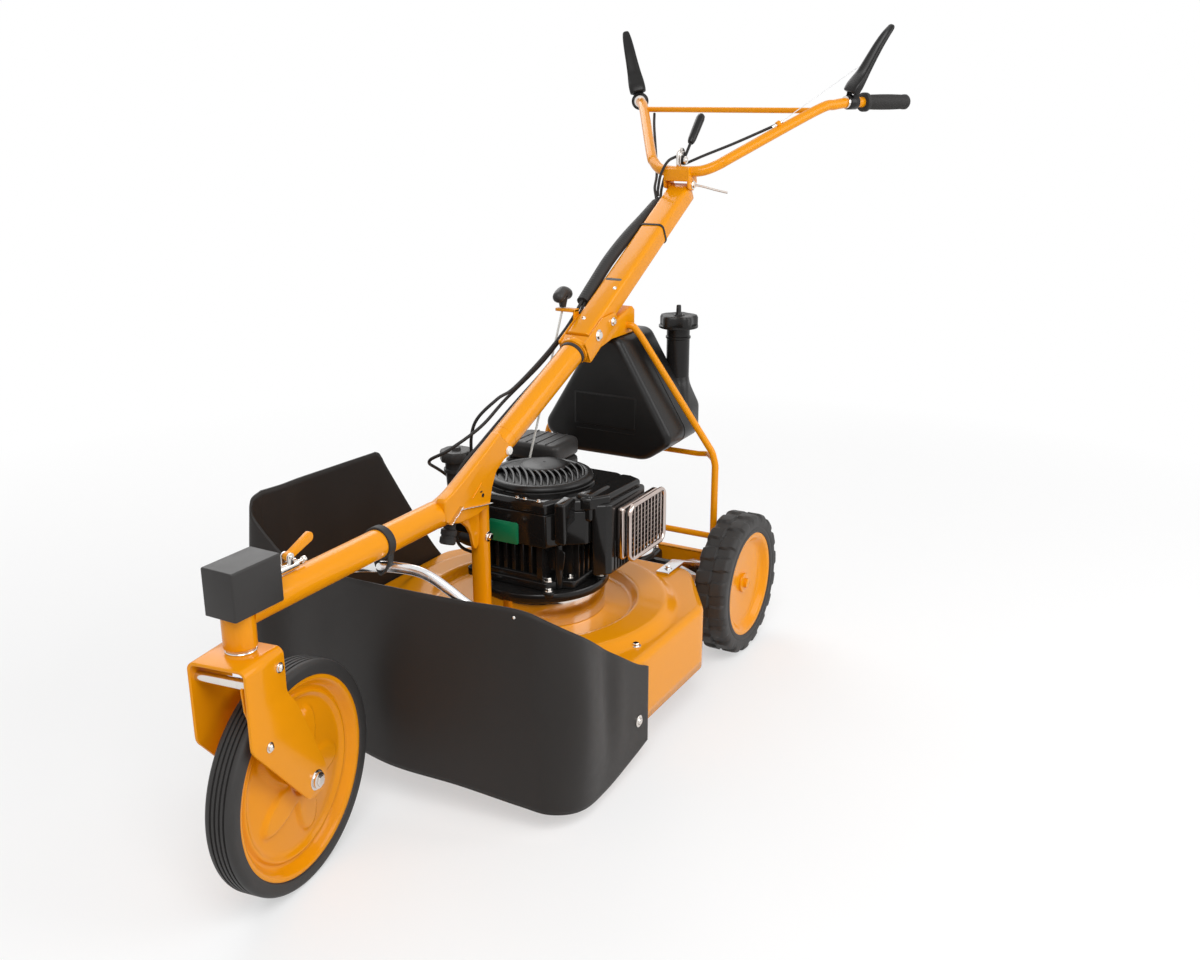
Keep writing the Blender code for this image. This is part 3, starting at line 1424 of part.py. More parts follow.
def cylinder_shroud():
    """Moulded cover over the cylinder head, beside the cowl."""
    inner = COWL_LEFT_X + SEAT
    outline = [(inner, 0.128), (SHROUD_OUTER_X, 0.150), (SHROUD_OUTER_X, 0.290), (inner, 0.270)]
    low = CRANKCASE_TOP - 0.060
    shroud = prism("cylinder_shroud", outline, low, COWL_TOP + 0.004, 2, "gloss_plastic")
    soften(shroud, 0.008, 1, 50)
    tongue = block(
        "tongue",
        (CRANK_X + CRANKCASE_HALF_WIDTH + SEAT, 0.175, low + 0.010),
        (inner + 0.004, 0.255, CRANKCASE_TOP - 0.004),
    )
    return join(shroud, tongue)


def muffler():
    """Flat silencer box on the outer side of the cylinder."""
    box = block(
        "muffler",
        (SHROUD_OUTER_X + SEAT, MUFFLER_FRONT_Y, MUFFLER_BOTTOM + 0.006),
        (MUFFLER_OUTER_X - GUARD_THICKNESS - SEAT, MUFFLER_REAR_Y - 0.006, MUFFLER_TOP - 0.006),
        "bright_steel",
    )
    return soften(box, 0.005, 1)


def muffler_guard():
    """Rounded guard plate with a row of cooling slots."""
    inner, outer = MUFFLER_OUTER_X - GUARD_THICKNESS, MUFFLER_OUTER_X
    centre = ((MUFFLER_FRONT_Y + MUFFLER_REAR_Y) / 2, (MUFFLER_BOTTOM + MUFFLER_TOP) / 2)
    size = (MUFFLER_REAR_Y - MUFFLER_FRONT_Y, MUFFLER_TOP - MUFFLER_BOTTOM)
    outline = rounded(rectangle(*size, centre), 0.018, 3)
    guard = prism("muffler_guard", outline, inner, outer, 0, "bright_steel")
    recess = rounded(rectangle(size[0] - 0.020, size[1] - 0.020, centre), 0.012, 2)
    cut(guard, prism("recess", recess, outer - 0.006, outer + 0.01, 0))
    pitch = (size[1] - 0.028) / GUARD_BARS
    for slot in range(GUARD_BARS):
        middle = centre[1] + (slot - (GUARD_BARS - 1) / 2) * pitch
        opening = rectangle(size[0] - 0.032, pitch * 0.5, (centre[0], middle))
        cut(guard, prism("slot", opening, inner - 0.01, outer + 0.01, 0))
    return guard


def air_filter():
    """Air filter housing behind the cowl."""
    low_y = COWL_REAR_Y + SEAT
    half = FILTER_SIZE[0] / 2
    box = block(
        "air_filter",
        (FILTER_X - half, low_y, FILTER_BOTTOM),
        (FILTER_X + half, low_y + FILTER_SIZE[1], FILTER_TOP),
        "matte_plastic",
    )
    return soften(box, 0.010, 2)


def oil_filler():
    """Upright filler pipe on the right of the crankcase."""
    x, y = OIL_NECK
    low = CRANKCASE_TOP - 0.050
    profile = [
        (OIL_NECK_RADIUS * 0.8, low), (OIL_NECK_RADIUS * 0.8, low + 0.06),
        (OIL_NECK_RADIUS, OIL_NECK_TOP - 0.02), (OIL_NECK_RADIUS, OIL_NECK_TOP)
    ]
    neck = turned("oil_filler", profile, 2, (x, y, 0), 16, "matte_plastic")
    side = CRANK_X - CRANKCASE_HALF_WIDTH - SEAT
    join(
        neck,
        block("elbow", (x + 0.002, y - 0.014, low + 0.004), (side, y + 0.014, CRANKCASE_TOP - 0.012)),
    )
    bottom, top = OIL_NECK_TOP - 0.03, OIL_NECK_TOP + 0.01
    return cut(neck, rod("bore", (x, y, bottom), (x, y, top), neck_bore(OIL_NECK_RADIUS), CAP_SIDES))


def neck_bore(neck_radius):
    """Bore of a filler neck, measured to its corners, so that its flats clear the cap's plug."""
    return (neck_radius - NECK_WALL) / math.cos(math.pi / CAP_SIDES)


def lobed(radius, depth, lobes, sides):
    """A round outline with shallow finger hollows."""
    angle = np.arange(sides) * 2 * np.pi / sides
    reach = radius - depth * (0.5 + 0.5 * np.cos(lobes * angle))
    return np.stack([reach * np.cos(angle), reach * np.sin(angle)], 1)


def cap(name, centre, neck_radius, radius, height, lobes, surface):
    """Screw cap: a lobed knob with a plug that fits the neck's bore."""
    x, y, z = centre
    knob = prism(name, lobed(radius, radius * 0.10, lobes, 24) + (x, y), z + SEAT, z + height, 2, surface)
    soften(knob, height * 0.16, 1, 50)
    plug = neck_radius - NECK_WALL - RUN
    return join(knob, rod("plug", (x, y, z - 0.014), (x, y, z + 0.004), plug, CAP_SIDES))


def oil_cap():
    return cap(
        "oil_cap", (*OIL_NECK, OIL_NECK_TOP), OIL_NECK_RADIUS, OIL_CAP_RADIUS, OIL_CAP_HEIGHT, 8,
        "matte_plastic"
    )


def tank_cap():
    knob = cap(
        "tank_cap", (NECK_X, NECK_Y, NECK_TOP), NECK_RADIUS, TANK_CAP_RADIUS, TANK_CAP_HEIGHT, 4,
        "matte_plastic"
    )
    top = NECK_TOP + TANK_CAP_HEIGHT
    return join(knob, rod("vent", (NECK_X, NECK_Y, top - 0.004), (NECK_X, NECK_Y, top + 0.020), 0.005, 8))


def tank_outline(inset=0.0):
    """The tank's triangular front view, with cut lower corners."""
    half = TANK_HALF_WIDTH - inset
    flat = TANK_TOP_HALF_WIDTH - inset * 0.4
    top, low = TANK_TOP - inset, TANK_BASE + inset
    shoulder = TANK_SHOULDER + inset * 0.4
    corners = [
        (-flat, top), (flat, top), (half, shoulder), (half * 0.58, low), (-half * 0.58, low),
        (-half, shoulder)
    ]
    return rounded(corners, [TANK_CORNER, TANK_CORNER, TANK_CORNER, 0.05, 0.05, TANK_CORNER], 2)


def fuel_tank():
    """Hollow moulded tank with a tall filler neck at its left rear."""
    rear = TANK_FRONT_Y + TANK_DEPTH
    tank = prism("fuel_tank", tank_outline(), TANK_FRONT_Y, rear, 1, "matte_plastic")
    soften(tank, TANK_EDGE, 2, 50)
    foot = rounded(rectangle(0.080, 0.090, (NECK_X + 0.006, NECK_Y - 0.018)), 0.022, 3)
    lower = np.insert(foot, 2, TANK_BASE + 0.030, axis=1)
    upper = np.insert(foot, 2, TANK_BASE + 0.085, axis=1)
    neck_ring = circle(NECK_RADIUS, len(foot), math.radians(-157)) + (NECK_X, NECK_Y)
    shoulder = np.insert(neck_ring, 2, TANK_BASE + 0.135, axis=1)
    join(tank, piece("foot", *skin([lower, upper, shoulder])))
    join(
        tank, rod("neck", (NECK_X, NECK_Y, TANK_BASE + 0.05), (NECK_X, NECK_Y, NECK_TOP), NECK_RADIUS, 16)
    )
    wall = 0.004
    cut(tank, prism("hollow", tank_outline(wall), TANK_FRONT_Y + wall, rear - wall, 1))
    bottom, top = TANK_BASE + 0.045, NECK_TOP + 0.01
    cut(
        tank,
        rod("bore", (NECK_X, NECK_Y, bottom), (NECK_X, NECK_Y, top), neck_bore(NECK_RADIUS), CAP_SIDES),
    )
    window = block(
        "window",
        (NECK_X - 0.012, rear - 0.020, TANK_BASE + 0.05),
        (NECK_X + 0.012, NECK_Y - 0.005, TANK_BASE + 0.075),
    )
    return cut(tank, window)


def clamp_edge(y):
    """Height of the column clamp's lower edge at a distance along the machine."""
    along, up = column_axes()
    slope = along[2] / along[1]
    drop = (COLUMN_DEPTH / 2 + 0.004) / along[1]
    return COLUMN_PIVOT[2] + (y - COLUMN_PIVOT[1]) * slope - drop


def tank_bracket():
    """Welded bracket under the column clamp that carries the tank and the rod frame."""
    first, last = BRACKET_FRONT_Y, BRACKET_FRONT_Y + 0.044
    seat = TANK_TOP + SEAT
    outline = [
        (first, clamp_edge(first) - SEAT),
        (last, clamp_edge(last) - SEAT),
        (last + 0.034, seat + 0.040),
        (BRACKET_REAR_Y - 0.010, seat + 0.052),
        (BRACKET_REAR_Y, seat + 0.044),
        (BRACKET_REAR_Y, seat),
        (TANK_FRONT_Y - 0.016, seat),
        (first, clamp_edge(first) - 0.010),
    ]
    return prism("tank_bracket", outline, -BRACKET_HALF_WIDTH, BRACKET_HALF_WIDTH, 0, "orange_paint")


def rod_frame():
    """Bent rods from the tank bracket down to the axle, tied by two cross rods."""
    foot = REAR_TYRE_RADIUS + AXLE_TUBE_RADIUS + SEAT
    start = BRACKET_HALF_WIDTH + SEAT
    x = ROD_HALF_WIDTH
    heel_y, heel_z = BRACKET_REAR_Y - 0.030, TANK_TOP + 0.017
    half = [
        (start, heel_y, heel_z),
        (start + 0.010, heel_y, heel_z),
        (start + 0.018, heel_y + 0.004, heel_z - 0.010),
        (start + 0.026, heel_y + 0.012, heel_z - 0.026),
        (x - 0.012, REAR_AXLE_Y - 0.0035, ROD_SHOULDER_Z + 0.012),
        (x, REAR_AXLE_Y, ROD_SHOULDER_Z - 0.012),
        (x, REAR_AXLE_Y, foot),
    ]
    section = circle(ROD_RADIUS, 8)
    frame = bar("rod_frame", half, section, "orange_paint", side=(0, 1, 0))
    join(
        frame,
        rod(
            "low_cross", (-x, REAR_AXLE_Y, CROSS_LOW_Z), (x, REAR_AXLE_Y, CROSS_LOW_Z), ROD_RADIUS * 0.9,
            8
        ),
    )
    join(frame, bar("other", [mirrored(point) for point in half], section, side=(0, 1, 0)))
    bow_y = REAR_AXLE_Y + 0.048
    high = [
        (x, REAR_AXLE_Y, CROSS_HIGH_Z),
        (x - 0.035, bow_y - 0.004, CROSS_HIGH_Z),
        (x - 0.060, bow_y, CROSS_HIGH_Z - 0.004),
        (0.060 - x, bow_y, CROSS_HIGH_Z - 0.004),
        (0.035 - x, bow_y - 0.004, CROSS_HIGH_Z),
        (-x, REAR_AXLE_Y, CROSS_HIGH_Z),
    ]
    return join(frame, bar("high_cross", high, circle(ROD_RADIUS * 0.8, 8), side=(0, 0, 1)))


def gearbox():
    """Reduction gearbox with the axle tube through it, open at both ends for the wheel shafts."""
    height = REAR_TYRE_RADIUS
    reach = AXLE_TUBE_HALF_LENGTH
    tube = rod(
        "gearbox", (-reach, REAR_AXLE_Y, height), (reach, REAR_AXLE_Y, height), AXLE_TUBE_RADIUS, 16,
        "black_paint"
    )
    case = block(
        "case",
        (CRANK_X - GEARBOX_HALF_WIDTH, GEARBOX_SHAFT_Y - 0.024, height - 0.044),
        (CRANK_X + GEARBOX_HALF_WIDTH, GEARBOX_REAR_Y, GEARBOX_TOP),
    )
    soften(case, 0.008, 1)
    join(tube, case)
    bore = REAR_AXLE_RADIUS + RUN
    for side in (-1, 1):
        cut(
            tube,
            rod(
                "axle_bore",
                (side * (reach - SHAFT_DEPTH - 0.002), REAR_AXLE_Y, height),
                (side * (reach + 0.01), REAR_AXLE_Y, height),
                bore,
                16,
            ),
        )
    shaft_bore = GEARBOX_SHAFT_RADIUS + RUN
    return cut(
        tube,
        rod(
            "shaft_bore",
            (CRANK_X, GEARBOX_SHAFT_Y, GEARBOX_TOP - 0.0305),
            (CRANK_X, GEARBOX_SHAFT_Y, GEARBOX_TOP + 0.01),
            shaft_bore,
            14,
        ),
    )


def axle_bracket(name, side):
    """Folded strap from the deck's tail down to the axle tube."""
    y, z = REAR_AXLE_Y, REAR_TYRE_RADIUS
    seat = DECK_TOP + SEAT
    back = DECK_REAR_Y - 0.060
    outline = [
        (back, seat),
        (DECK_REAR_Y, seat),
        (y - 0.026, z + 0.010),
        (y - 0.024, z - 0.018),
        (y + 0.024, z - 0.018),
        (y + 0.024, z + 0.022),
        (y - 0.006, z + 0.028),
        (DECK_REAR_Y + 0.012, seat + 0.005),
        (back, seat + 0.005),
    ]
    middle = side * AXLE_BRACKET_X
    half = AXLE_BRACKET_WIDTH / 2
    bracket = prism(name, outline, middle - half, middle + half, 0, "zinc")
    bore = AXLE_TUBE_RADIUS + SEAT
    return cut(bracket, rod("bore", (middle - 0.05, y, z), (middle + 0.05, y, z), bore, 16))


def rear_guard():
    """Sheet guard across the machine behind the axle."""
    low = GEARBOX_REAR_Y + SEAT
    guard = block(
        "rear_guard",
        (-GUARD_HALF_WIDTH, low, GUARD_LOW),
        (GUARD_HALF_WIDTH, low + 0.003, GUARD_HIGH),
        "orange_paint",
    )
    lip = block(
        "lip", (-GUARD_HALF_WIDTH, low, GUARD_HIGH - 0.003), (GUARD_HALF_WIDTH, low + 0.016, GUARD_HIGH)
    )
    return join(guard, lip)


def rear_wheel(name, side):
    """Dished wheel with its stub shaft, turned about X and mirrored for the other side."""
    seat = REAR_TYRE_RADIUS - REAR_TYRE_DEPTH
    outer = REAR_TYRE_OUTER_X - 0.003
    inner = REAR_TYRE_OUTER_X - REAR_TYRE_WIDTH + 0.004
    hub_inner = inner - 0.012
    profile = [
        (0.004, outer - 0.012),
        (REAR_HUB_RADIUS * 0.6, outer - 0.012),
        (REAR_HUB_RADIUS, outer - 0.017),
        (seat * 0.80, outer - 0.013),
        (seat * 0.90, outer - 0.002),
        (seat, outer),
        (seat - 0.002, outer - 0.006),
        (seat - 0.002, inner + 0.006),
        (seat, inner),
        (seat * 0.92, inner),
        (seat * 0.90, outer - 0.018),
        (REAR_HUB_RADIUS, outer - 0.022),
        (REAR_HUB_RADIUS, hub_inner),
        (REAR_AXLE_RADIUS, hub_inner),
        (REAR_AXLE_RADIUS, AXLE_TUBE_HALF_LENGTH - SHAFT_DEPTH),
    ]
    centre = (0, REAR_AXLE_Y, REAR_TYRE_RADIUS)
    mirrored_profile = [(radius, side * along) for radius, along in profile]
    rim = turned("rear_rim_" + name, mirrored_profile, 0, centre, 22, "orange_paint")
    return rim, rear_tyre(name, side)


def rear_tyre(name, side):
    """Tyre with two offset rows of cross lugs."""
    seat = REAR_TYRE_RADIUS - REAR_TYRE_DEPTH + SEAT
    crown = REAR_TYRE_RADIUS
    low = REAR_TYRE_OUTER_X - REAR_TYRE_WIDTH
    high = REAR_TYRE_OUTER_X
    middle = (low + high) / 2
    stations = [
        (seat, high - 0.004, 0.0),
        (seat + 0.012, high, 0.0),
        (crown - 0.013, high - 0.001, 0.3),
        (crown, high - 0.012, 1.0),
        (crown, middle + 0.001, 1.0),
        (crown, middle - 0.001, -1.0),
        (crown, low + 0.012, -1.0),
        (crown - 0.013, low + 0.001, -0.3),
        (seat + 0.012, low, 0.0),
        (seat, low + 0.005, 0.0),
    ]
    sides = REAR_LUGS * 3
    index = np.arange(sides)
    angle = index * 2 * np.pi / sides
    groove = (index % 3 == 0).astype(float)
    rings = []
    for radius, along, row in stations:
        drop = groove if row > 0 else np.roll(groove, 1)
        reach = radius - REAR_LUG_HEIGHT * abs(row) * drop
        flat = np.stack([reach * np.cos(angle), reach * np.sin(angle)], 1)
        rings.append(np.insert(flat, 0, side * along, axis=1) + (0, REAR_AXLE_Y, REAR_TYRE_RADIUS))
    return piece("rear_tyre_" + name, *skin(rings, closed=True), "tyre_rubber")


def apron_stations():
    """Route of the apron round the deck: plan position, lower edge and upper edge."""
    side = DECK_RADIUS + 2 * SEAT + APRON_THICKNESS / 2
    return [
        (side, 0.060, 0.038, 0.178),
        (side, 0.010, 0.030, BOW_HEIGHT - 0.197),
        (side + 0.002, -0.090, 0.022, BOW_HEIGHT - 0.130),
        (side, -0.165, 0.026, BOW_HEIGHT - 0.077),
        (side - 0.028, -0.212, 0.036, BOW_HEIGHT - 0.040),
        (side - 0.075, -0.228, 0.046, BOW_HEIGHT - 0.024),
        (0.120, -0.246, 0.062, BOW_HEIGHT - 0.022),
        (0.000, -0.262, 0.072, BOW_HEIGHT - 0.018),
        (-0.120, -0.246, 0.080, BOW_HEIGHT - 0.028),
        (-0.205, -0.232, 0.080, BOW_HEIGHT - 0.040),
        (0.020 - side, -0.236, 0.080, BOW_HEIGHT + 0.028),
        (-side, -0.210, 0.080, BOW_HEIGHT + 0.060),
        (-side, -0.080, 0.080, BOW_HEIGHT + 0.058),
        (-side, 0.100, 0.080, BOW_HEIGHT + 0.054),
        (-side, 0.215, 0.085, BOW_HEIGHT - 0.092),
        (-side, 0.345, 0.100, 0.148),
    ]


def fold_depth(share):
    """How strongly a fold shows: nothing at the lower edge, most at two thirds of the height."""
    return math.sin(math.pi * min(1.0, share * 0.75)) ** 2


def apron():
    """Flexible sheet that hangs round the front of the deck, bulging and folding between its fixings."""
    route = smooth_path(apron_stations(), 3)
    run = np.concatenate([[0.0], np.cumsum(np.linalg.norm(np.diff(route[:, :2], axis=0), axis=1))])
    folds = sum(depth * np.exp(-(((run - place) / width) ** 2)) for place, width, depth in APRON_FOLDS)
    tangents = directions(np.insert(route[:, :2], 2, 0.0, axis=1))
    outward_way = np.stack([-tangents[:, 1], tangents[:, 0], np.zeros(len(route))], 1)
    if outward_way[0, 0] < 0:
        outward_way = -outward_way
    rows = 6
    sheets = []
    for face in (0.5, -0.5):
        levels = []
        for row in range(rows):
            share = row / (rows - 1)
            height = route[:, 2] * (1 - share) + route[:, 3] * share
            front = np.clip((-route[:, 1] - 0.02) / 0.15, 0, 1)
            bulge = APRON_BULGE * math.sin(math.pi * share) * front + folds * fold_depth(share)
            points = np.stack([route[:, 0], route[:, 1], height], 1)
            points += outward_way * (face * APRON_THICKNESS + bulge)[:, None]
            levels.append(points)
        sheets.append(np.array(levels))
    outer, inner = sheets
    rings = np.concatenate([outer, inner[::-1]])
    return piece("apron", *skin(rings.transpose(1, 0, 2)), "soft_rubber")


def bow_points():
    """Route of the bow inside the apron's upper edge and up under the boom."""
    return [
        (0.270, -0.182, BOW_HEIGHT - 0.052),
        (0.236, -0.206, BOW_HEIGHT - 0.037),
        (0.190, -0.222, BOW_HEIGHT - 0.034),
        (0.110, -0.235, BOW_HEIGHT - 0.022),
        (0.050, -0.246, BOW_HEIGHT - 0.009),
        (0.013, STRAP_Y, BOW_HEIGHT),
        (-0.013, STRAP_Y, BOW_HEIGHT),
        (-0.060, -0.241, BOW_HEIGHT - 0.010),
        (-0.120, -0.2365, BOW_HEIGHT - 0.026),
        (-0.190, -0.224, BOW_HEIGHT - 0.050),
        (-0.225, -0.218, BOW_HEIGHT - 0.062),
    ]


def apron_bow():
    """Flattened galvanised tube that holds the apron's upper edge."""
    section = circle(BOW_RADIUS, 10) * (0.8, 1.0)
    return bar("apron_bow", smooth_path(bow_points(), 1), section, "zinc", side=(0, 1, 0))


def boom_strap():
    """Rubber band round the boom, with a loop below it that holds the bow."""
    inner = BOOM_RADIUS + SEAT
    outer = inner + STRAP_THICKNESS
    low, high = STRAP_Y - STRAP_WIDTH / 2, STRAP_Y + STRAP_WIDTH / 2
    profile = [(inner, low), (outer, low), (outer, high), (inner, high)]
    middle = boom_x(STRAP_Y)
    band = turned("boom_strap", profile, 1, (middle, 0, BOOM_HEIGHT), 16, "soft_rubber", ring=True)
    loop_low = BOW_HEIGHT - BOW_RADIUS - 0.004
    loop = block("loop", (-0.010, low, loop_low), (0.010, high, BOOM_HEIGHT - inner - 0.001))
    soften(loop, 0.002, 1)
    join(band, loop)
    bore = BOW_RADIUS + 1.5 * FREE
    return cut(band, rod("bore", (-0.02, STRAP_Y, BOW_HEIGHT), (0.02, STRAP_Y, BOW_HEIGHT), bore, 12))


def sleeve_points():
    """Route of the sleeve beside the tilting column, from its lower end up."""
    x = -(COLUMN_WIDTH / 2 + SLEEVE_RADIUS + SEAT)
    along, up = column_axes()
    base = np.array(COLUMN_PIVOT)
    length = math.hypot(COLUMN_REACH, COLUMN_RISE)
    stations = (
        (0.156, 0.014), (0.271, 0.018), (0.417, 0.022), (0.584, 0.018), (0.751, 0.008), (0.897, 0.000)
    )
    return [tuple(base + along * length * a + up * b + np.array([x, 0, 0])) for a, b in stations]


def cable_sleeve():
    """Protective hose that bundles the cables along the column."""
    path = smooth_path(sleeve_points(), 2)
    return pipe("cable_sleeve", path, SLEEVE_RADIUS, 0.002, 8, "soft_rubber")


def cable_run(before, place, after):
    """A cable's whole route: before the sleeve, at its place in the bundle, and after it."""
    along, up = column_axes()
    angle = place * 2 * math.pi / 3 + math.pi / 2
    spread = (CABLE_RADIUS + SEAT) / math.sin(math.pi / 3) * 1.06
    offset = up * math.sin(angle) * spread + np.array([math.cos(angle) * spread, 0, 0])
    through = [tuple(np.array(point) + offset) for point in sleeve_points()]
    return before + through + after


def throttle_cable():
    """From the engine's governor up through the sleeve to the lever on the handlebar bracket."""
    wall = COWL_RIGHT_X - CABLE_RADIUS - SEAT
    before = [
        (wall, 0.230, 0.393),
        (wall - 0.001, 0.190, 0.405),
        (-0.112, 0.148, 0.470),
        (-0.090, 0.130, 0.535),
        (-0.055, 0.150, 0.578),
        (-0.044, 0.190, 0.592),
        (-0.041, 0.290, 0.632),
        (-0.039, 0.375, 0.676),
    ]
    plate = SPEED_AXIS_X - CABLE_RADIUS - SEAT
    y, z = speed_axis()
    after = [
        by_bar(-0.037, -0.032, -0.009),
        by_bar(-0.031, -0.032, 0.021),
        by_bar(-0.018, -0.026, 0.048),
        (plate, y - 0.006, z + 0.008),
    ]
    return cable("throttle_cable", cable_run(before, 0, after), CABLE_RADIUS, "soft_rubber", 2)


def drive_cable():
    """From the gearbox round the engine and up through the sleeve to the right lever's side."""
    side = CRANK_X - GEARBOX_HALF_WIDTH - CABLE_RADIUS - 2 * SEAT
    before = [
        (side, 0.507, 0.122),
        (side, 0.505, 0.136),
        (side - 0.007, 0.499, 0.152),
        (-0.052, 0.485, 0.180),
        (-0.085, 0.452, 0.226),
        (-0.130, 0.400, 0.258),
        (-0.182, 0.280, 0.330),
        (-0.190, 0.160, 0.420),
        (-0.150, 0.070, 0.470),
        (-0.090, 0.050, 0.505),
        (-0.056, 0.100, 0.540),
        (-0.052, 0.175, 0.574),
        (-0.048, 0.290, 0.617),
        (-0.045, 0.375, 0.662),
    ]
    x, y, z = mirrored(CROSSBAR_POINT)
    under = z - CROSSBAR_RADIUS - CABLE_RADIUS - SEAT
    after = [
        by_bar(-0.062, 0.003, -0.009),
        by_bar(-0.080, 0.048, 0.016),
        by_bar(-0.118, 0.118, 0.061),
        by_bar(-0.160, 0.193, 0.111),
        (x + 0.030, y, under),
    ]
    return cable("drive_cable", cable_run(before, 1, after), CABLE_RADIUS, "soft_rubber", 2)


def clip_point():
    """End of the brake cable on the operator's left tube of the handlebar."""
    low, high = np.array(bar_points()[4]), np.array(bar_points()[5])
    along = (high - low) / np.linalg.norm(high - low)
    up = np.array([0.0, 0.0, 1.0]) - along * along[2]
    up /= np.linalg.norm(up)
    return tuple(low + (high - low) * CLIP_SHARE + up * (BAR_RADIUS + CABLE_RADIUS + 2 * SEAT))


def brake_cable():
    """From the engine brake up through the sleeve to the left lever's side."""
    wall = CRANK_X - CRANKCASE_HALF_WIDTH - CABLE_RADIUS - SEAT
    before = [
        (wall, 0.124, 0.290),
        (wall, 0.100, 0.298),
        (-0.086, 0.060, 0.330),
        (-0.086, 0.048, 0.400),
        (-0.068, 0.046, 0.470),
        (-0.046, 0.090, 0.518),
        (-0.041, 0.175, 0.560),
        (-0.041, 0.290, 0.606),
        (-0.0405, 0.378, 0.650),
    ]
    after = [
        by_bar(-0.047, 0.008, -0.006),
        by_bar(-0.042, 0.030, 0.022),
        by_bar(0.010, 0.060, 0.051),
        by_bar(0.080, 0.100, 0.083),
        clip_point(),
    ]
    return cable("brake_cable", cable_run(before, 2, after), CABLE_RADIUS, "soft_rubber", 2)


def starter_rope():
    """Taut rope from the starter up to its guide on the column clamp."""
    return bar("starter_rope", [ROPE_FOOT, rope_end()], circle(ROPE_RADIUS, 8), "rope")


def rope_end():
    """Top of the rope, inside the handle parked on the guide."""
    return tuple(np.array(ROPE_GUIDE) - np.array([0, 0, 0.006]))


def rope_guide():
    """Arm with an eye on the clamp's right cheek, where the starter handle parks."""
    x, y, z = ROPE_GUIDE
    inner = -(COLUMN_WIDTH / 2 + CLAMP_CHEEK)
    arm = block("arm", (x - 0.012, y - 0.009, z - 0.012), (inner, y + 0.009, z - 0.006))
    upright = block("upright", (inner - 0.004, y - 0.009, z - 0.045), (inner, y + 0.009, z - 0.007))
    join(arm, upright)
    eye = ROPE_RADIUS + SEAT
    along = Vector(rope_end()) - Vector(ROPE_FOOT)
    along.normalize()
    top = Vector(rope_end())
    return cut(arm, rod("eye", top - along * 0.05, top + along * 0.02, eye * 1.2, 12))


def starter_handle():
    """Moulded pull handle with a finger bar and a rope boss."""
    x, y, z = ROPE_GUIDE
    start = z - 0.006 + FREE
    profile = [(0.006, start), (0.008, start + 0.010), (0.010, start + 0.020)]
    boss = turned("starter_handle", profile, 2, (x, y, 0), 12, "matte_plastic")
    half = STARTER_GRIP_LENGTH / 2
    section = circle(STARTER_GRIP_RADIUS, 12)
    height = start + 0.020 + STARTER_GRIP_RADIUS * 0.7
    lean = 0.010
    reach = np.array([-math.sin(STARTER_GRIP_TURN), math.cos(STARTER_GRIP_TURN), 0.0]) * half
    middle = np.array([x, y, height])
    drop = np.array([0.0, 0.0, lean])
    finger_bar = bar(
        "finger_bar", [middle - reach - drop, middle + drop * 0.2, middle + reach - drop], section
    )
    return join(boss, finger_bar)


def speed_lever():
    """Throttle lever on the quadrant above the handlebar bracket."""
    y, z = speed_axis()
    inner = SPEED_AXIS_X + SPEED_PLATE + SEAT
    hub = rod("speed_lever", (inner, y, z), (inner + 0.006, y, z), SPEED_HUB_RADIUS, 14, "matte_plastic")
    lean = math.radians(41)
    reach = SPEED_LEVER_LENGTH
    middle = inner + 0.003
    start = (middle, y + 0.004 * math.sin(lean), z + 0.004 * math.cos(lean))
    end = (middle + 0.004, y + reach * math.sin(lean), z + reach * math.cos(lean))
    knee = between(start, end, 0.45)
    stalk = bar("stalk", [start, knee], circle(0.003, 8))
    handle = turned_along(
        between(start, end, 0.40), end, [(0.0, 0.0065), (0.15, 0.0085), (0.85, 0.0095), (1.0, 0.0065)], 10
    )
    return join(hub, stalk, handle)


def turned_along(start, end, profile, sides):
    """A round handle between two points, with a radius at each share of its length."""
    start, end = np.array(start), np.array(end)
    along = (end - start) / np.linalg.norm(end - start)
    across = np.cross(along, (1.0, 0.0, 0.0))
    across /= np.linalg.norm(across)
    other = np.cross(along, across)
    rings = []
    for share, radius in profile:
        flat = circle(radius, sides)
        rings.append(start + (end - start) * share + flat[:, :1] * across + flat[:, 1:] * other)
    return piece("handle", *skin(rings))


def build_caster(machine):
    """Everything that swivels about the head tube, drawn straight and then turned."""
    swivel = pivot("caster_swivel", (STEER_X, STEER_Y, 0), machine, CASTER_TURN)
    fork = caster_fork()
    hang(swivel, fork, steering_stem(), front_axle())
    axle = pivot("front_wheel_axle", (0, 0, 0), None)
    axle.parent = swivel
    axle.matrix_local = Matrix.Translation((0, TRAIL, FRONT_TYRE_RADIUS))
    bpy.context.view_layer.update()
    for item in front_wheel():
        item.parent = axle
        item.matrix_parent_inverse = Matrix.Translation((0, -TRAIL, -FRONT_TYRE_RADIUS))


def build_frame(machine):
    """Welded frame, deck and what is fixed to them."""
    clamp = join(column_clamp(), rope_guide())
    attach(
        machine,
        head_tube(),
        boom_tube(),
        head_cover(),
        lock_guide(),
        junction(),
        lower_column(),
        clamp,
        boom_strap(),
        apron_bow(),
        apron(),
        deck_housing(),
        tank_bracket(),
        rod_frame(),
        gearbox(),
        axle_bracket("axle_bracket_left", 1),
        axle_bracket("axle_bracket_right", -1),
        rear_guard(),
        drive_belt(),
        fuel_tank(),
    )


def build_engine(machine):
    """Engine pieces that stand still."""
    attach(
        machine,
        engine_base(),
        crankcase(),
        blower_housing(),
        starter_grille(),
        cylinder_shroud(),
        muffler(),
        muffler_guard(),
        air_filter(),
        oil_filler(),
        starter_rope(),
        throttle_cable(),
        drive_cable(),
        brake_cable(),
    )


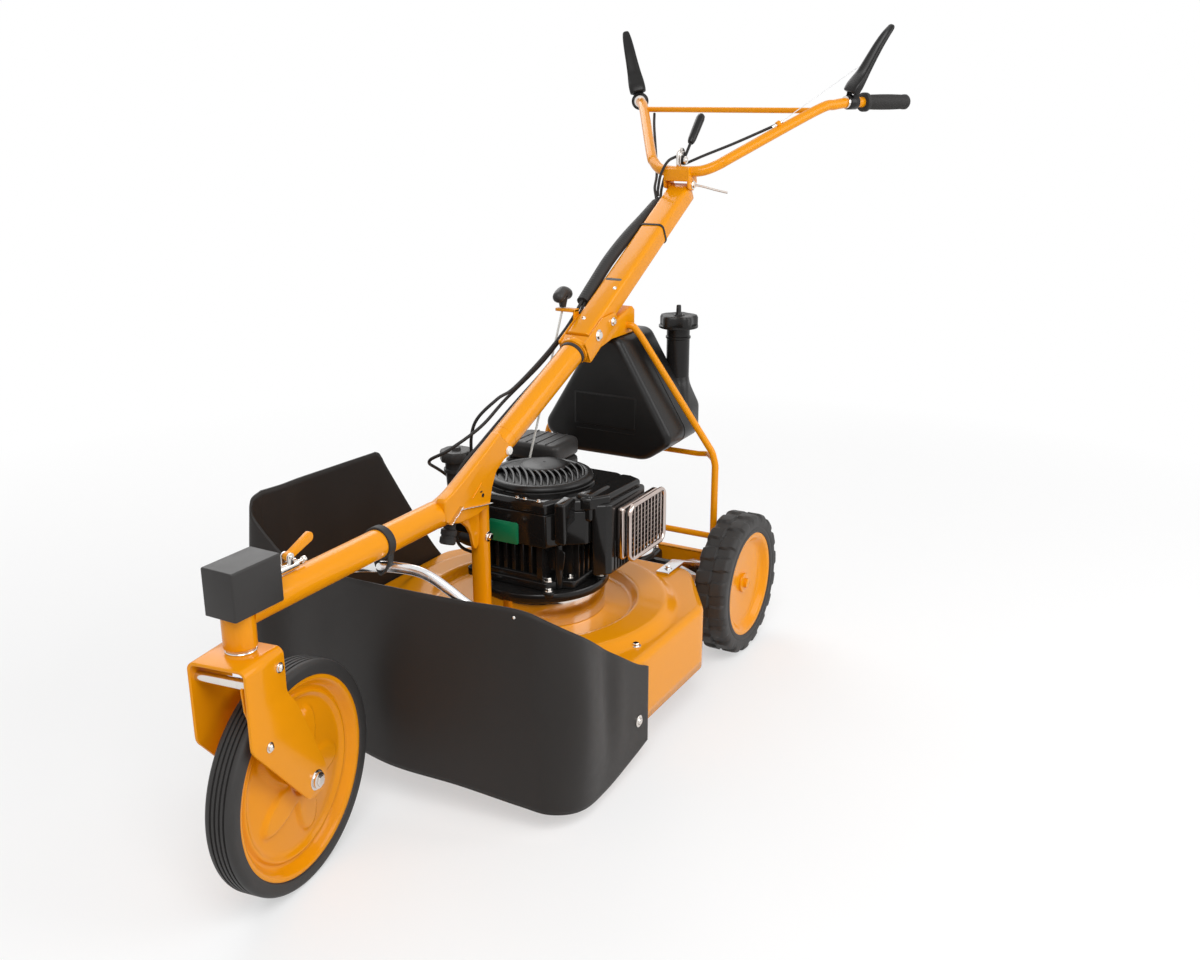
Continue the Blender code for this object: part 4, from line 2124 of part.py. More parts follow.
def build_turning(machine):
    """Wheels, crankshaft, pulley, caps, lock and starter handle, each on its own axis."""
    attach(pivot("lock_lever_axis", (STEER_X, *lock_pivot()), machine), lock_lever())
    attach(pivot("lock_pin_axis", (STEER_X, lock_pivot()[0], lock_height()), machine), lock_pin())
    for name, side in (("left", 1), ("right", -1)):
        attach(
            pivot("rear_axis_" + name, (0, REAR_AXLE_Y, REAR_TYRE_RADIUS), machine),
            *rear_wheel(name, side)
        )
    attach(pivot("crank_axis", (CRANK_X, CRANK_Y, BLADE_HEIGHT), machine), crankshaft(), blade())
    attach(pivot("pulley_axis", (CRANK_X, GEARBOX_SHAFT_Y, PULLEY_HEIGHT), machine), drive_pulley())
    attach(pivot("tank_cap_axis", (NECK_X, NECK_Y, NECK_TOP), machine), tank_cap())
    attach(pivot("oil_cap_axis", (*OIL_NECK, OIL_NECK_TOP), machine), oil_cap())
    attach(pivot("starter_axis", ROPE_GUIDE, machine), starter_handle())


def build_column(machine):
    """Tilting column, the handlebar on its top and the levers on the handlebar."""
    column = pivot("column_tilt", COLUMN_PIVOT, machine)
    attach(column, upper_column(), cable_sleeve())
    bar_axis = pivot("handlebar_tilt", BAR_PIVOT, column)
    attach(bar_axis, handlebar(), grip("grip_left", 1), grip("grip_right", -1))
    for name, side in (("left", 1), ("right", -1)):
        point = lever_frame(side)[0]
        attach(pivot("lever_axis_" + name, tuple(point), bar_axis), hand_lever("lever_" + name, side))
    attach(pivot("speed_axis", (0, *speed_axis()), bar_axis), speed_lever())


def stand_on_origin(machine):
    """Shift the whole machine so that the middle of its footprint is the origin."""
    bpy.context.view_layer.update()
    graph = bpy.context.evaluated_depsgraph_get()
    low, high = np.full(3, np.inf), np.full(3, -np.inf)
    for item in bpy.data.objects:
        if item.type not in {"MESH", "CURVE"}:
            continue
        shape = item.evaluated_get(graph)
        mesh = shape.to_mesh()
        points = np.array([item.matrix_world @ vertex.co for vertex in mesh.vertices])
        low, high = np.minimum(low, points.min(0)), np.maximum(high, points.max(0))
        shape.to_mesh_clear()
    machine.location = (-(low[0] + high[0]) / 2, -(low[1] + high[1]) / 2, -low[2])
    bpy.context.view_layer.update()


def main():
    remove_everything()
    for name, values in FINISHES.items():
        finish(name, *values)
    machine = pivot("machine", (0, 0, 0))
    build_frame(machine)
    build_engine(machine)
    build_turning(machine)
    build_caster(machine)
    build_column(machine)
    for item in bpy.data.objects:
        shade(item)
    stand_on_origin(machine)


main()
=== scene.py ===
import json
import math

import bmesh
import bpy
import numpy as np
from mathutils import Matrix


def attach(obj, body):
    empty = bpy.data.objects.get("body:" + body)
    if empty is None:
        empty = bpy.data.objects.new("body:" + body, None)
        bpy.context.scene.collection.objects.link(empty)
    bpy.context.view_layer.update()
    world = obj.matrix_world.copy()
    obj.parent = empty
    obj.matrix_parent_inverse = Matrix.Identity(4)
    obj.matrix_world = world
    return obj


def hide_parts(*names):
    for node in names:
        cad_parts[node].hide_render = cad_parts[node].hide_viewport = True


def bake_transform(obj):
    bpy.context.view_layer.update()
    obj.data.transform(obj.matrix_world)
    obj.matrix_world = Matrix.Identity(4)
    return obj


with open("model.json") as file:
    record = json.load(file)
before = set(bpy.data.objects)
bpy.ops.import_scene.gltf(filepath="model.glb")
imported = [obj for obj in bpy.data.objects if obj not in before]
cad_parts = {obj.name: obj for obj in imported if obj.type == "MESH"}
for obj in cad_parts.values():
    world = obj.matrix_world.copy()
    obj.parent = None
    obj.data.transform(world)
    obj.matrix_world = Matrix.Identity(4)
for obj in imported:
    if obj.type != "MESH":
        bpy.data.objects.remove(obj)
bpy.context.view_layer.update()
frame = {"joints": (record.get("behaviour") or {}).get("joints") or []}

bl_info = {
    "name": "Walk-behind brush cutter",
    "version": (1, 0, 0),
    "blender": (4, 5, 0),
    "location": "3D View > Sidebar > Brush cutter",
    "description": "Dresses the packed frame of a walk-behind brush cutter with its visible surfaces",
    "category": "Object",
}

JOINTS = {joint["name"]: joint for joint in frame["joints"]}
SHIFT = np.array([0.0, JOINTS["crank_spin"]["pos_m"][1] - 0.170, 0.0])
# what follows is drawn in millimetres, with heights from the floor; placed() turns it to metres
MILLIMETRES = 1000
# the caster stands turned by this angle, in radians, about its steering axis
CASTER_TURN = 0.1445
STEER = np.array([5.0, -555.0, 0.0])
# the front hub stands this far behind the steering axis, and this high
TRAIL, FRONT_HUB = 78, 169
REAR_HUB = (552.5, 144)
# heights of the boom's centre line and of the deck's roof
BOOM = 452
DECK_ROOF = 196.3
# places of the crank's axis, the gearbox pulley's and the round grille's
CRANK = np.array([20.0, 170.0, 0.0])
PULLEY = np.array([20.0, 515.0, 0.0])
GRILLE = np.array([12.0, 187.0, 0.0])
COLUMN_PIVOT = np.array([0.0, 372.0, 664.0])
ACROSS = np.array([1.0, 0.0, 0.0])


def grid_faces(rows, columns, wrap_rows, wrap_columns):
    """Quads of a grid: each joins a point with its next in the row and the two below them."""
    row = np.arange(rows if wrap_rows else rows - 1)
    column = np.arange(columns if wrap_columns else columns - 1)
    r, c = (part.ravel() for part in np.meshgrid(row, column, indexing="ij"))
    r2, c2 = (r + 1) % rows, (c + 1) % columns
    return np.stack([r * columns + c, r * columns + c2, r2 * columns + c2, r2 * columns + c], 1)


def placed(points):
    """Drawn points, in millimetres, as metres where the frame has them."""
    return np.array(points) / MILLIMETRES + SHIFT


def linked(data):
    """A new object in the scene, named as its data."""
    item = bpy.data.objects.new(data.name, data)
    bpy.context.scene.collection.objects.link(item)
    return item


def unit_vector(vector):
    """A vector divided by its own length."""
    return vector / np.linalg.norm(vector)


def unit_rows(rows):
    """Each row divided by its own length."""
    return rows / np.maximum(np.linalg.norm(rows, axis=1), 1e-9)[:, None]


def distances(route):
    """Distance along a route up to each of its points."""
    return np.concatenate([[0], np.cumsum(np.linalg.norm(np.diff(route, axis=0), axis=1))])


def stations(places, section, across, up, scales=1.0):
    """A section (n, 2) laid out at each place along two directions, times that place's scale."""
    flat = section * np.broadcast_to(scales, len(places))[:, None, None]
    return places[:, None] + flat[..., :1] * across + flat[..., 1:] * up


def surface(grid, wrap_rows=False, wrap_columns=True, caps=True):
    """A mesh through a grid of points (rows, columns, 3), with its open ends capped by one face each."""
    grid = np.asarray(grid, float)
    rows, columns = grid.shape[:2]
    faces = grid_faces(rows, columns, wrap_rows, wrap_columns).tolist()
    if caps and not wrap_rows:
        faces.append(list(range(columns)))
        faces.append(list(range((rows - 1) * columns, rows * columns)))
    mesh = bpy.data.meshes.new("part")
    mesh.from_pydata(placed(grid.reshape(-1, 3)).tolist(), [], faces)
    work = bmesh.new()
    work.from_mesh(mesh)
    bmesh.ops.remove_doubles(work, verts=work.verts, dist=1e-6)
    bmesh.ops.dissolve_degenerate(work, edges=work.edges, dist=1e-7)
    bmesh.ops.recalc_face_normals(work, faces=work.faces)
    work.to_mesh(mesh)
    work.free()
    return linked(mesh)


def together(*parts):
    """Several surfaces in one mesh."""
    work = bmesh.new()
    for part in parts:
        work.from_mesh(part.data)
        bpy.data.objects.remove(part)
    mesh = bpy.data.meshes.new("part")
    work.to_mesh(mesh)
    work.free()
    return linked(mesh)


def circle(radius, sides, start=0.0):
    """Points at equal angles round a circle."""
    angle = start + np.arange(sides) * 2 * np.pi / sides
    return np.stack([radius * np.cos(angle), radius * np.sin(angle)], 1)


def rectangle(width, height, centre=(0.0, 0.0)):
    """The four corners of a rectangle round its centre."""
    return np.array([[-1, -1], [1, -1], [1, 1], [-1, 1]]) * (width / 2, height / 2) + np.array(centre)


def rounded(corners, radius, steps=5, closed=True):
    """An outline (2-D or 3-D) whose corners are arcs tangent to both sides."""
    corners = np.array(corners, float)
    count = len(corners)
    radii = np.broadcast_to(np.array(radius, float), (count,))
    points = []
    for index, corner in enumerate(corners):
        if not closed and index in (0, count - 1):
            points.append(corner[None])
            continue
        before, after = corners[index - 1] - corner, corners[(index + 1) % count] - corner
        near, far = np.linalg.norm(before), np.linalg.norm(after)
        before, after = before / near, after / far
        half = math.acos(float(np.clip(before @ after, -1, 1))) / 2
        if radii[index] <= 0 or half > 1.53:
            points.append(corner[None])
            continue
        size = min(radii[index], min(near, far) * 0.49 * math.tan(half))
        middle = corner + (before + after) / np.linalg.norm(before + after) * size / math.sin(half)
        start = corner + before * size / math.tan(half) - middle
        end = corner + after * size / math.tan(half) - middle
        sweep = math.pi - 2 * half
        share = np.linspace(0, 1, steps + 1)[:, None]
        arc = (np.sin((1 - share) * sweep) * start + np.sin(share * sweep) * end) / math.sin(sweep)
        points.append(middle + arc)
    return np.concatenate(points)


def spline(points, steps):
    """A smooth curve through a route: each point is a cubic blend of the four route points round it."""
    points = np.array(points, float)
    padded = np.vstack([2 * points[0] - points[1], points, 2 * points[-1] - points[-2]])
    a, b, c, d = (padded[k : len(points) - 1 + k][:, None] for k in range(4))
    t = (np.arange(steps) / steps)[None, :, None]
    curve = 0.5 * (
        2 * b + (c - a) * t + (2 * a - 5 * b + 4 * c - d) * t**2 + (3 * b - a - 3 * c + d) * t**3
    )
    return np.vstack([curve.reshape(-1, points.shape[1]), points[-1:]])


def swept(path, section, reference=(0, 0, 1), scale=1.0):
    """A section (n, 2) carried along a path; its first axis is square to the path and a fixed direction."""
    path = np.asarray(path, float)
    tangent = unit_rows(np.gradient(path, axis=0))
    side = unit_rows(np.cross(np.array(reference, float), tangent))
    return surface(stations(path, section, side[:, None], np.cross(tangent, side)[:, None], scale))


def tube(path, radius, sides=24, reference=(0, 0, 1)):
    """A round tube along a path; the radius is one number or one for each point."""
    return swept(path, circle(1.0, sides), reference, radius)


def cross_frame(direction):
    """Two unit directions square to a given one and to each other."""
    reference = (0, 0, 1) if abs(direction[2]) < 0.9 else (0, 1, 0)
    side = unit_vector(np.cross(reference, direction))
    return side, np.cross(direction, side)


def lathe(start, end, profile, sides=24, lobes=0, depth=0.0):
    """A profile of (distance along the line, radius) turned about the line from start to end.

    Lobes are shallow hollows: each radius shrinks by depth times a cosine of the angle.
    """
    start, end = np.array(start, float), np.array(end, float)
    unit = unit_vector(end - start)
    side, rise = cross_frame(unit)
    along, radius = np.array(profile, float).T
    angle = np.arange(sides) * 2 * np.pi / sides
    reach = radius[:, None] * (1 - depth * (0.5 + 0.5 * np.cos(lobes * angle)))
    ring = np.cos(angle)[:, None] * side + np.sin(angle)[:, None] * rise
    return surface(start + along[:, None, None] * unit + reach[..., None] * ring)


def rod(start, end, radius, sides=20, edge=0.0):
    """A straight round rod whose two rims are quarter circles."""
    length = math.dist(start, end)
    edge = min(edge, length * 0.4, radius * 0.8)
    turn = np.linspace(0, np.pi / 2, 4 if edge else 1)
    rim = np.stack([edge * (1 - np.sin(turn)), radius - edge * (1 - np.cos(turn))], 1)[::-1]
    rim = rim[np.argsort(rim[:, 0])]
    back = np.stack([length - rim[::-1, 0], rim[::-1, 1]], 1)
    return lathe(start, end, np.vstack([rim, back]), sides)


def turned(profile, axis, centre=(0, 0, 0), sides=48, ring=False, lobes=None):
    """A profile of (radius, distance along the axis) turned about an axis.

    lobes(radius, angle) gives how far each point moves along the axis.
    """
    profile = np.array(profile, float)
    angle = np.arange(sides) * 2 * np.pi / sides
    radius = profile[:, :1] + 0 * angle
    along = profile[:, 1:] + (lobes(radius, angle[None]) if lobes else 0 * angle)
    columns = [radius * np.cos(angle), radius * np.sin(angle)]
    columns.insert(axis, along)
    return surface(np.stack(columns, 2) + np.array(centre, float), wrap_rows=ring)


def inset(outline, distance):
    """An outline moved inwards along its own normals, which point out for a left-hand turn."""
    before, after = np.roll(outline, 1, 0), np.roll(outline, -1, 0)
    first, second = unit_rows(outline - before), unit_rows(after - outline)
    tangent = unit_rows(first + second)
    area = np.sum(outline[:, 0] * after[:, 1] - after[:, 0] * outline[:, 1])
    normal = np.stack([tangent[:, 1], -tangent[:, 0]], 1) * np.sign(area)
    miter = np.clip(np.sum(first * second, 1), -0.5, 1)
    return outline - normal * distance / np.sqrt((1 + miter) / 2)[:, None]


def slab(outline, low, high, axis, edge=2, steps=4, far_edge=None):
    """An outline square to an axis, carried from low to high, with both rims rounded as quarter circles."""
    outline = np.array(outline, float)
    far_edge = edge if far_edge is None else far_edge
    turn = np.linspace(0, np.pi / 2, steps + 1)
    rings = [(edge * (1 - math.sin(a)), low + edge * (1 - math.cos(a))) for a in turn]
    rings += [(far_edge * (1 - math.sin(a)), high - far_edge * (1 - math.cos(a))) for a in turn[::-1]]
    grid = [np.insert(inset(outline, depth), axis, level, axis=1) for depth, level in rings]
    return surface(np.array(grid))


def both_sides(outline, near, far, edge, steps, middle=0.0):
    """A slab on each side of a plane along the machine."""
    reach = np.array([near, far])
    spans = (middle - reach[::-1], middle + reach)
    return [slab(outline, *span, 0, edge, steps) for span in spans]


def box(low, high, edge=2, corner=None, axis=2):
    """A box with rounded corners and rims."""
    low, high = np.array(low, float), np.array(high, float)
    plane = [k for k in range(3) if k != axis]
    size, middle = (high - low)[plane], (high + low)[plane] / 2
    outline = rounded(rectangle(*size, middle), edge if corner is None else corner, 4)
    return slab(outline, low[axis], high[axis], axis, edge)


def bolt(point, direction, radius=6, height=5, washer=1.5):
    """A hexagon head with a chamfered top on a round washer."""
    point, direction = np.array(point, float), unit_vector(np.array(direction, float))
    plate = rod(point, point + direction * 1.5, radius * washer, 20, 0.4)
    levels = np.array([(1.5, radius), (1.5 + height * 0.8, radius), (1.5 + height, radius * 0.86)])
    head = stations(
        point + levels[:, :1] * direction, circle(1.0, 6), *cross_frame(direction), levels[:, 1]
    )
    return together(plate, surface(head))


def read(items, attribute):
    """A vector that each item of a mesh has, as rows."""
    values = np.empty(len(items) * 3)
    items.foreach_get(attribute, values)
    return values.reshape(-1, 3)


def caster_place(piece):
    """Turns a piece drawn in the caster's own frame to where the caster stands."""
    c, s = math.cos(CASTER_TURN), math.sin(CASTER_TURN)
    points = (read(piece.data.vertices, "co") - SHIFT) @ [[c, s, 0], [-s, c, 0], [0, 0, 1]] + placed(STEER)
    piece.data.vertices.foreach_set("co", points.ravel())
    piece.data.update()
    return piece


def keep(name, piece, body, finish, stands_for="", angle=38.0):
    """Joins pieces where there are several, names and shades them, and sets finish and body."""
    if not isinstance(piece, bpy.types.Object):
        piece = together(*piece)
    if body in ("caster", "front_wheel"):
        caster_place(piece)
    piece.name = piece.data.name = name
    piece.data.shade_smooth()
    piece.data.set_sharp_from_angle(angle=math.radians(angle))
    piece.data.materials.clear()
    piece.data.materials.append(bpy.data.materials[finish + "_finish"])
    if body:
        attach(piece, body)
    if stands_for:
        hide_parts(stands_for)


def smooth_step(value):
    """Zero below 0, one above 1, and the cubic 3t^2 - 2t^3 between."""
    t = np.clip(value, 0.0, 1.0)
    return t * t * (3 - 2 * t)


def loft(rings, steps=6):
    """A skin through rings of equal count, with rings added between them by spline()'s cubic blend."""
    rings = np.asarray(rings, float)
    count, sides = rings.shape[:2]
    grid = spline(rings.reshape(count, -1), steps).reshape(-1, sides, 3)
    return surface(grid)


def sheet_uv(piece, grid):
    """A UV map in metres along the rows and columns of the grid that made the piece."""
    across = np.linalg.norm(np.diff(grid, axis=1), axis=2).mean(0)
    along = np.linalg.norm(np.diff(grid, axis=0), axis=2).mean(1)
    u = np.concatenate([[0], np.cumsum(across)])
    v = np.concatenate([[0], np.cumsum(along)])
    coordinates = np.stack(np.meshgrid(u, v), 2).reshape(-1, 2)
    layer = piece.data.uv_layers.new(name="sheet")
    index = np.empty(len(piece.data.loops), int)
    piece.data.loops.foreach_get("vertex_index", index)
    layer.data.foreach_set("uv", coordinates[index].ravel() / MILLIMETRES)


def group(name, inputs, outputs):
    """A new shader node group; a socket named Colour holds a colour and every other one a number."""
    tree = bpy.data.node_groups.new(name, "ShaderNodeTree")

    def socket(label, way):
        kind = "NodeSocketColor" if label == "Colour" else "NodeSocketFloat"
        return tree.interface.new_socket(label, in_out=way, socket_type=kind)

    for label, value in inputs.items():
        socket(label, "INPUT").default_value = value
    for label in outputs:
        socket(label, "OUTPUT")
    return tree, tree.nodes.new("NodeGroupInput").outputs, tree.nodes.new("NodeGroupOutput").inputs


def node(tree, kind, *inputs, **values):
    """A node; what is given by name or in order is set, or linked where it is a socket."""
    made = tree.nodes.new("ShaderNode" + kind)
    for name, value in (*values.items(), *enumerate(inputs)):
        if hasattr(made, str(name)):
            setattr(made, name, value)
            continue
        target = made.inputs[name if isinstance(name, int) else name.replace("_", " ")]
        if isinstance(value, bpy.types.NodeSocket):
            tree.links.new(value, target)
        else:
            target.default_value = value
    return made


def sums(tree, operation, *inputs):
    """The result of a Math node."""
    return node(tree, "Math", *inputs, operation=operation).outputs[0]


def varied(tree, colour, amount, texture):
    """A colour made lighter and darker by a texture, and the texture's values centred on zero."""
    centred = sums(tree, "SUBTRACT", texture, 0.5)
    factor = sums(tree, "MULTIPLY_ADD", centred, amount, 1.0)
    return node(tree, "VectorMath", colour, operation="SCALE", Scale=factor).outputs[0], centred


def moulded_group():
    """Slow tint patches, finer roughness patches and a grain, each a noise of the object's own place."""
    inputs = {
        "Colour": (0.5, 0.5, 0.5, 1.0), "Tint": 0.1, "Patch Scale": 8.0, "Roughness": 0.4,
        "Roughness Shift": 0.1, "Grain Scale": 900.0
    }
    tree, start, end = group("moulded_surface", inputs, ("Colour", "Roughness", "Height"))
    place = node(tree, "TexCoord").outputs["Object"]
    patches = node(tree, "TexNoise", Vector=place, Scale=start["Patch Scale"], Detail=3.0)
    colour, _ = varied(tree, start["Colour"], start["Tint"], patches.outputs[0])
    finer = node(tree, "TexNoise", Vector=place, Scale=70.0, Detail=5.0)
    spread = sums(tree, "SUBTRACT", finer.outputs[0], 0.5)
    rough = sums(tree, "MULTIPLY_ADD", spread, start["Roughness Shift"], start["Roughness"])
    grain = node(tree, "TexNoise", Vector=place, Scale=start["Grain Scale"], Detail=2.0)
    for label, source in (("Colour", colour), ("Roughness", rough), ("Height", grain.outputs[0])):
        tree.links.new(source, end[label])


def spangle_group():
    """Zinc crystals: cells of different grey, each with its own shine."""
    inputs = {"Colour": (0.6, 0.6, 0.6, 1.0), "Contrast": 0.2, "Scale": 160.0, "Roughness": 0.35}
    tree, start, end = group("zinc_spangle", inputs, ("Colour", "Roughness"))
    place = node(tree, "TexCoord").outputs["Object"]
    cells = node(tree, "TexVoronoi", Vector=place, Scale=start["Scale"])
    shade = node(tree, "SeparateColor", Color=cells.outputs["Color"])
    colour, centred = varied(tree, start["Colour"], start["Contrast"], shade.outputs[0])
    rough = sums(tree, "MULTIPLY_ADD", centred, start["Contrast"], start["Roughness"])
    tree.links.new(colour, end["Colour"])
    tree.links.new(rough, end["Roughness"])


def weave_group():
    """Coated cloth: two sets of fine threads at right angles, as sines of the sheet's own UV map."""
    tree, start, end = group("coated_weave", {"Pitch": 0.0016}, ("Height",))
    place = node(tree, "UVMap", uv_map="sheet").outputs["UV"]
    parts = node(tree, "SeparateXYZ", Vector=place)
    turns = sums(tree, "DIVIDE", 2 * math.pi, start["Pitch"])
    waves = [sums(tree, "SINE", sums(tree, "MULTIPLY", parts.outputs[axis], turns)) for axis in (0, 1)]
    tree.links.new(sums(tree, "MULTIPLY", *waves), end["Height"])


def new_material(name, detail, values, metallic=0.0, coat=0.0, sheen=0.0, specular=0.5):
    """A Principled material fed by a node group, with its constant values on the shader itself."""
    material = bpy.data.materials.new(name + "_finish")
    material.use_nodes = True
    tree = material.node_tree
    shader = tree.nodes["Principled BSDF"]
    constants = {
        "Metallic": metallic, "Coat Weight": coat, "Coat Roughness": 0.05, "Sheen Weight": sheen,
        "Specular IOR Level": specular
    }
    for label, value in constants.items():
        shader.inputs[label].default_value = value
    source = placed_group(tree, detail, values)
    tree.links.new(source["Colour"], shader.inputs["Base Color"])
    tree.links.new(source["Roughness"], shader.inputs["Roughness"])
    return tree, shader, source


def placed_group(tree, name, values):
    """The outputs of a group placed in a material with its own values."""
    made = node(tree, "Group", node_tree=bpy.data.node_groups[name])
    for label, value in values.items():
        made.inputs[label].default_value = value
    return made.outputs


def relief(tree, shader, height, distance, strength=0.5):
    """A height, times a distance in metres, that leans the shader's normals."""
    bump = node(tree, "Bump", Height=height, Strength=strength, Distance=distance)
    tree.links.new(bump.outputs[0], shader.inputs["Normal"])


def moulded_values(colour, tint, patch, roughness, shift, grain):
    """Values of the moulded_surface group."""
    return {
        "Colour": (*colour, 1.0), "Tint": tint, "Patch Scale": patch, "Roughness": roughness,
        "Roughness Shift": shift, "Grain Scale": grain
    }


def moulded(name, colour, roughness, grain=900.0, depth=0.0002, tint=0.12, patch=7.0, shift=0.1, **shine):
    """A moulded or painted finish made with the moulded_surface group."""
    values = moulded_values(colour, tint, patch, roughness, shift, grain)
    tree, shader, source = new_material(name, "moulded_surface", values, **shine)
    relief(tree, shader, source["Height"], depth)


def plated(name, colour, roughness, contrast, scale):
    """A plated metal made with the zinc_spangle group."""
    values = {"Colour": (*colour, 1.0), "Contrast": contrast, "Scale": scale, "Roughness": roughness}
    new_material(name, "zinc_spangle", values, metallic=1.0)


def apron_material(colour):
    """Rubberised cloth: a fine weave under a matt skin with slow grey patches."""
    values = moulded_values(colour, 0.35, 4.0, 0.46, 0.10, 500.0)
    tree, shader, source = new_material("apron_cloth", "moulded_surface", values, sheen=0.02, specular=0.2)
    weave = placed_group(tree, "coated_weave", {"Pitch": 0.0018})
    relief(tree, shader, sums(tree, "ADD", weave["Height"], source["Height"]), 0.00015, 0.35)


def make_finishes(colours):
    """Every finish of the machine, under the name that the pieces use."""
    moulded_group()
    spangle_group()
    weave_group()
    orange, black, cloth = (tuple(value) for value in (colours.paint, colours.plastic, colours.apron))
    deep = tuple(value * 0.28 for value in black)
    # after the colour: roughness, grain scale and depth, tint, patch scale and roughness shift
    moulded("orange_paint", orange, 0.20, 160.0, 0.00001, 0.03, 3.0, 0.03, coat=0.14, specular=0.15)
    moulded("black_paint", deep, 0.24, 500.0, 0.0001, coat=0.12, specular=0.22)
    moulded("gloss_plastic", deep, 0.13, 400.0, 0.00004, coat=0.14, specular=0.22)
    moulded("dark_plastic", deep, 0.32, 900.0, 0.0001, specular=0.25)
    moulded("matte_plastic", black, 0.40, 1300.0, 0.0002, 0.15, specular=0.25)
    moulded("soft_rubber", tuple(value * 0.7 for value in black), 0.6, 700.0, 0.0002, specular=0.3)
    moulded("tyre_rubber", black, 0.55, 500.0, 0.0003, 0.3, 20.0, specular=0.3)
    moulded("green_plate", (0.0, 0.20, 0.085), 0.35, 300.0, 0.0001)
    moulded("white_plastic", (0.8, 0.79, 0.76), 0.4, 500.0, 0.0001)
    moulded("rope_fibre", (0.70, 0.69, 0.65), 0.8, 1800.0, 0.0008, 0.3, 300.0)
    # after the colour: roughness, contrast of the crystals and their scale
    plated("zinc_plate", (0.76, 0.76, 0.77), 0.20, 0.07, 70.0)
    plated("polished_steel", (0.72, 0.68, 0.64), 0.14, 0.06, 60.0)
    plated("warm_chrome", (0.56, 0.47, 0.43), 0.14, 0.10, 60.0)
    moulded("cast_alloy", (0.45, 0.45, 0.46), 0.45, 350.0, 0.0004, metallic=1.0)
    apron_material(cloth)


def ring_arc(centre, radius, start, end, steps):
    """Points of a circular arc between two angles in degrees."""
    angle = np.radians(np.linspace(start, end, steps + 1))
    return np.stack([centre[0] + radius * np.cos(angle), centre[1] + radius * np.sin(angle)], 1)


def front_tyre():
    """Solid tyre: a crown with four grooves between two quarter-circle shoulders."""
    half, crown, seat = 23, 169, 145.3
    upper = ring_arc((crown - 9, half - 9), 9, 90, 0, 6)
    grooves = []
    for middle in (10.5, 3.5, -3.5, -10.5):
        grooves += [
            (crown, middle + 1.6), (crown - 2.8, middle + 1), (crown - 2.8, middle - 1),
            (crown, middle - 1.6)
        ]
    flank = [(seat, 16), (seat + 2, 19.6), (seat + 3.5, 22.2), (seat + 7, half)]
    profile = flank + upper.tolist() + grooves + (upper[::-1] * (1, -1)).tolist() + [
        (r, -x) for r, x in flank[::-1]
    ]
    return turned(profile, 0, (5, TRAIL, FRONT_HUB), 128, ring=True)


def star(radius, angle):
    """Five pressed lobes: the face stands proud inside a boundary that goes in and out five times."""
    edge = 72 + 30 * np.cos(5 * angle + 0.5)
    rise = smooth_step((edge - radius) / 6) * smooth_step((radius - 21) / 6)
    return rise * 5.6


def front_rim():
    """Pressed disc rim: a hub, a starred dish, a ring near the edge and a rolled flange on both sides."""
    dish = [(r, 12.8 - (r - 22) * 0.090) for r in np.arange(22, 114, 4)]
    face = [(17.2, 15), (18.5, 13.4)] + dish
    face += [
        (116.5, 6.2), (119, 9.2), (121.5, 9.8), (124, 8.6), (126.2, 5.4), (129, 5), (132.5, 7.8), (137, 14),
        (140, 18.2), (143, 19.8)
    ]
    lip = [(146.5, 20), (148.3, 19.2), (147, 18.2), (144.9, 17.8)]
    back = [(r, x - 2.6) for r, x in face[::-1] if x < 18]
    profile = [(6.3, 31), (16, 31), (17.2, 29.8)] + face + lip + [(r, -x) for r, x in lip[::-1]]
    profile += [(140, -18.5), (138, -15), (138.2, 11)]
    profile += [point for point in back if point[0] < 137]
    profile += [(17.2, 10), (17.2, -29.8), (16, -31), (6.3, -31)]
    return turned(profile, 0, (5, TRAIL, FRONT_HUB), 160, ring=True, lobes=star)


FORK_ARM = rounded(
    [(-54, 420), (-54, 282), (61.9, 143), (104, 149.5), (104, 180.7), (49, 306), (29, 332), (29, 420)],
    [0, 20, 23.4, 23.4, 26, 30, 20, 0], 8
)


def arm_width(height):
    """Front and rear edges of the fork arm's outline at each height."""
    points = FORK_ARM
    low = int(np.argmin(points[:, 1]))
    front, rear = points[: low + 1], points[low:]
    return np.interp(height, front[::-1, 1], front[::-1, 0]), np.interp(height, rear[:, 1], rear[:, 0])


def yoke():
    """Folded yoke: one sheet up an arm, over the top and down the other, as wide as the arm's outline."""
    outer, thick, fold, top = 46, 5, 12, 400
    low = FORK_ARM[:, 1].min()
    descent = np.concatenate([
        low + 26.2 * (1 - np.cos(np.linspace(0.12, np.pi / 2, 9))),
        np.linspace(low + 30, top - fold - 2, 34)
    ])
    arm = np.stack([np.full(len(descent), outer), descent], 1)
    arc = ring_arc((outer - fold, top - fold), fold, 0, 90, 8)
    half = np.vstack([arm, arc])
    middle = np.stack([np.linspace(outer - fold - 3, 0, 8), np.full(8, top)], 1)
    right = np.vstack([half, middle])
    spine = np.vstack([right, right[::-1][1:] * (-1, 1)])
    tangent = unit_rows(np.gradient(spine, axis=0))
    normal = np.stack([tangent[:, 1], -tangent[:, 0]], 1)
    front, rear = arm_width(np.minimum(spine[:, 1], 390))
    edge = 1.6
    depths = [
        edge, 0.4, 0, 0, 0.4, edge, thick - edge, thick - 0.4, thick, thick, thick - 0.4, thick - edge
    ]
    insets = [0, 0.5, edge, -edge, -0.5, 0, 0, -0.5, -edge, edge, 0.5, 0]
    ends = [0, 0, 0, 1, 1, 1, 1, 1, 1, 0, 0, 0]
    columns = []
    for depth, shift, end in zip(depths, insets, ends):
        width = (rear if end else front) + shift
        place = spine - normal * depth
        columns.append(np.stack([place[:, 0], width, place[:, 1]], 1))
    return surface(np.stack(columns, 1))


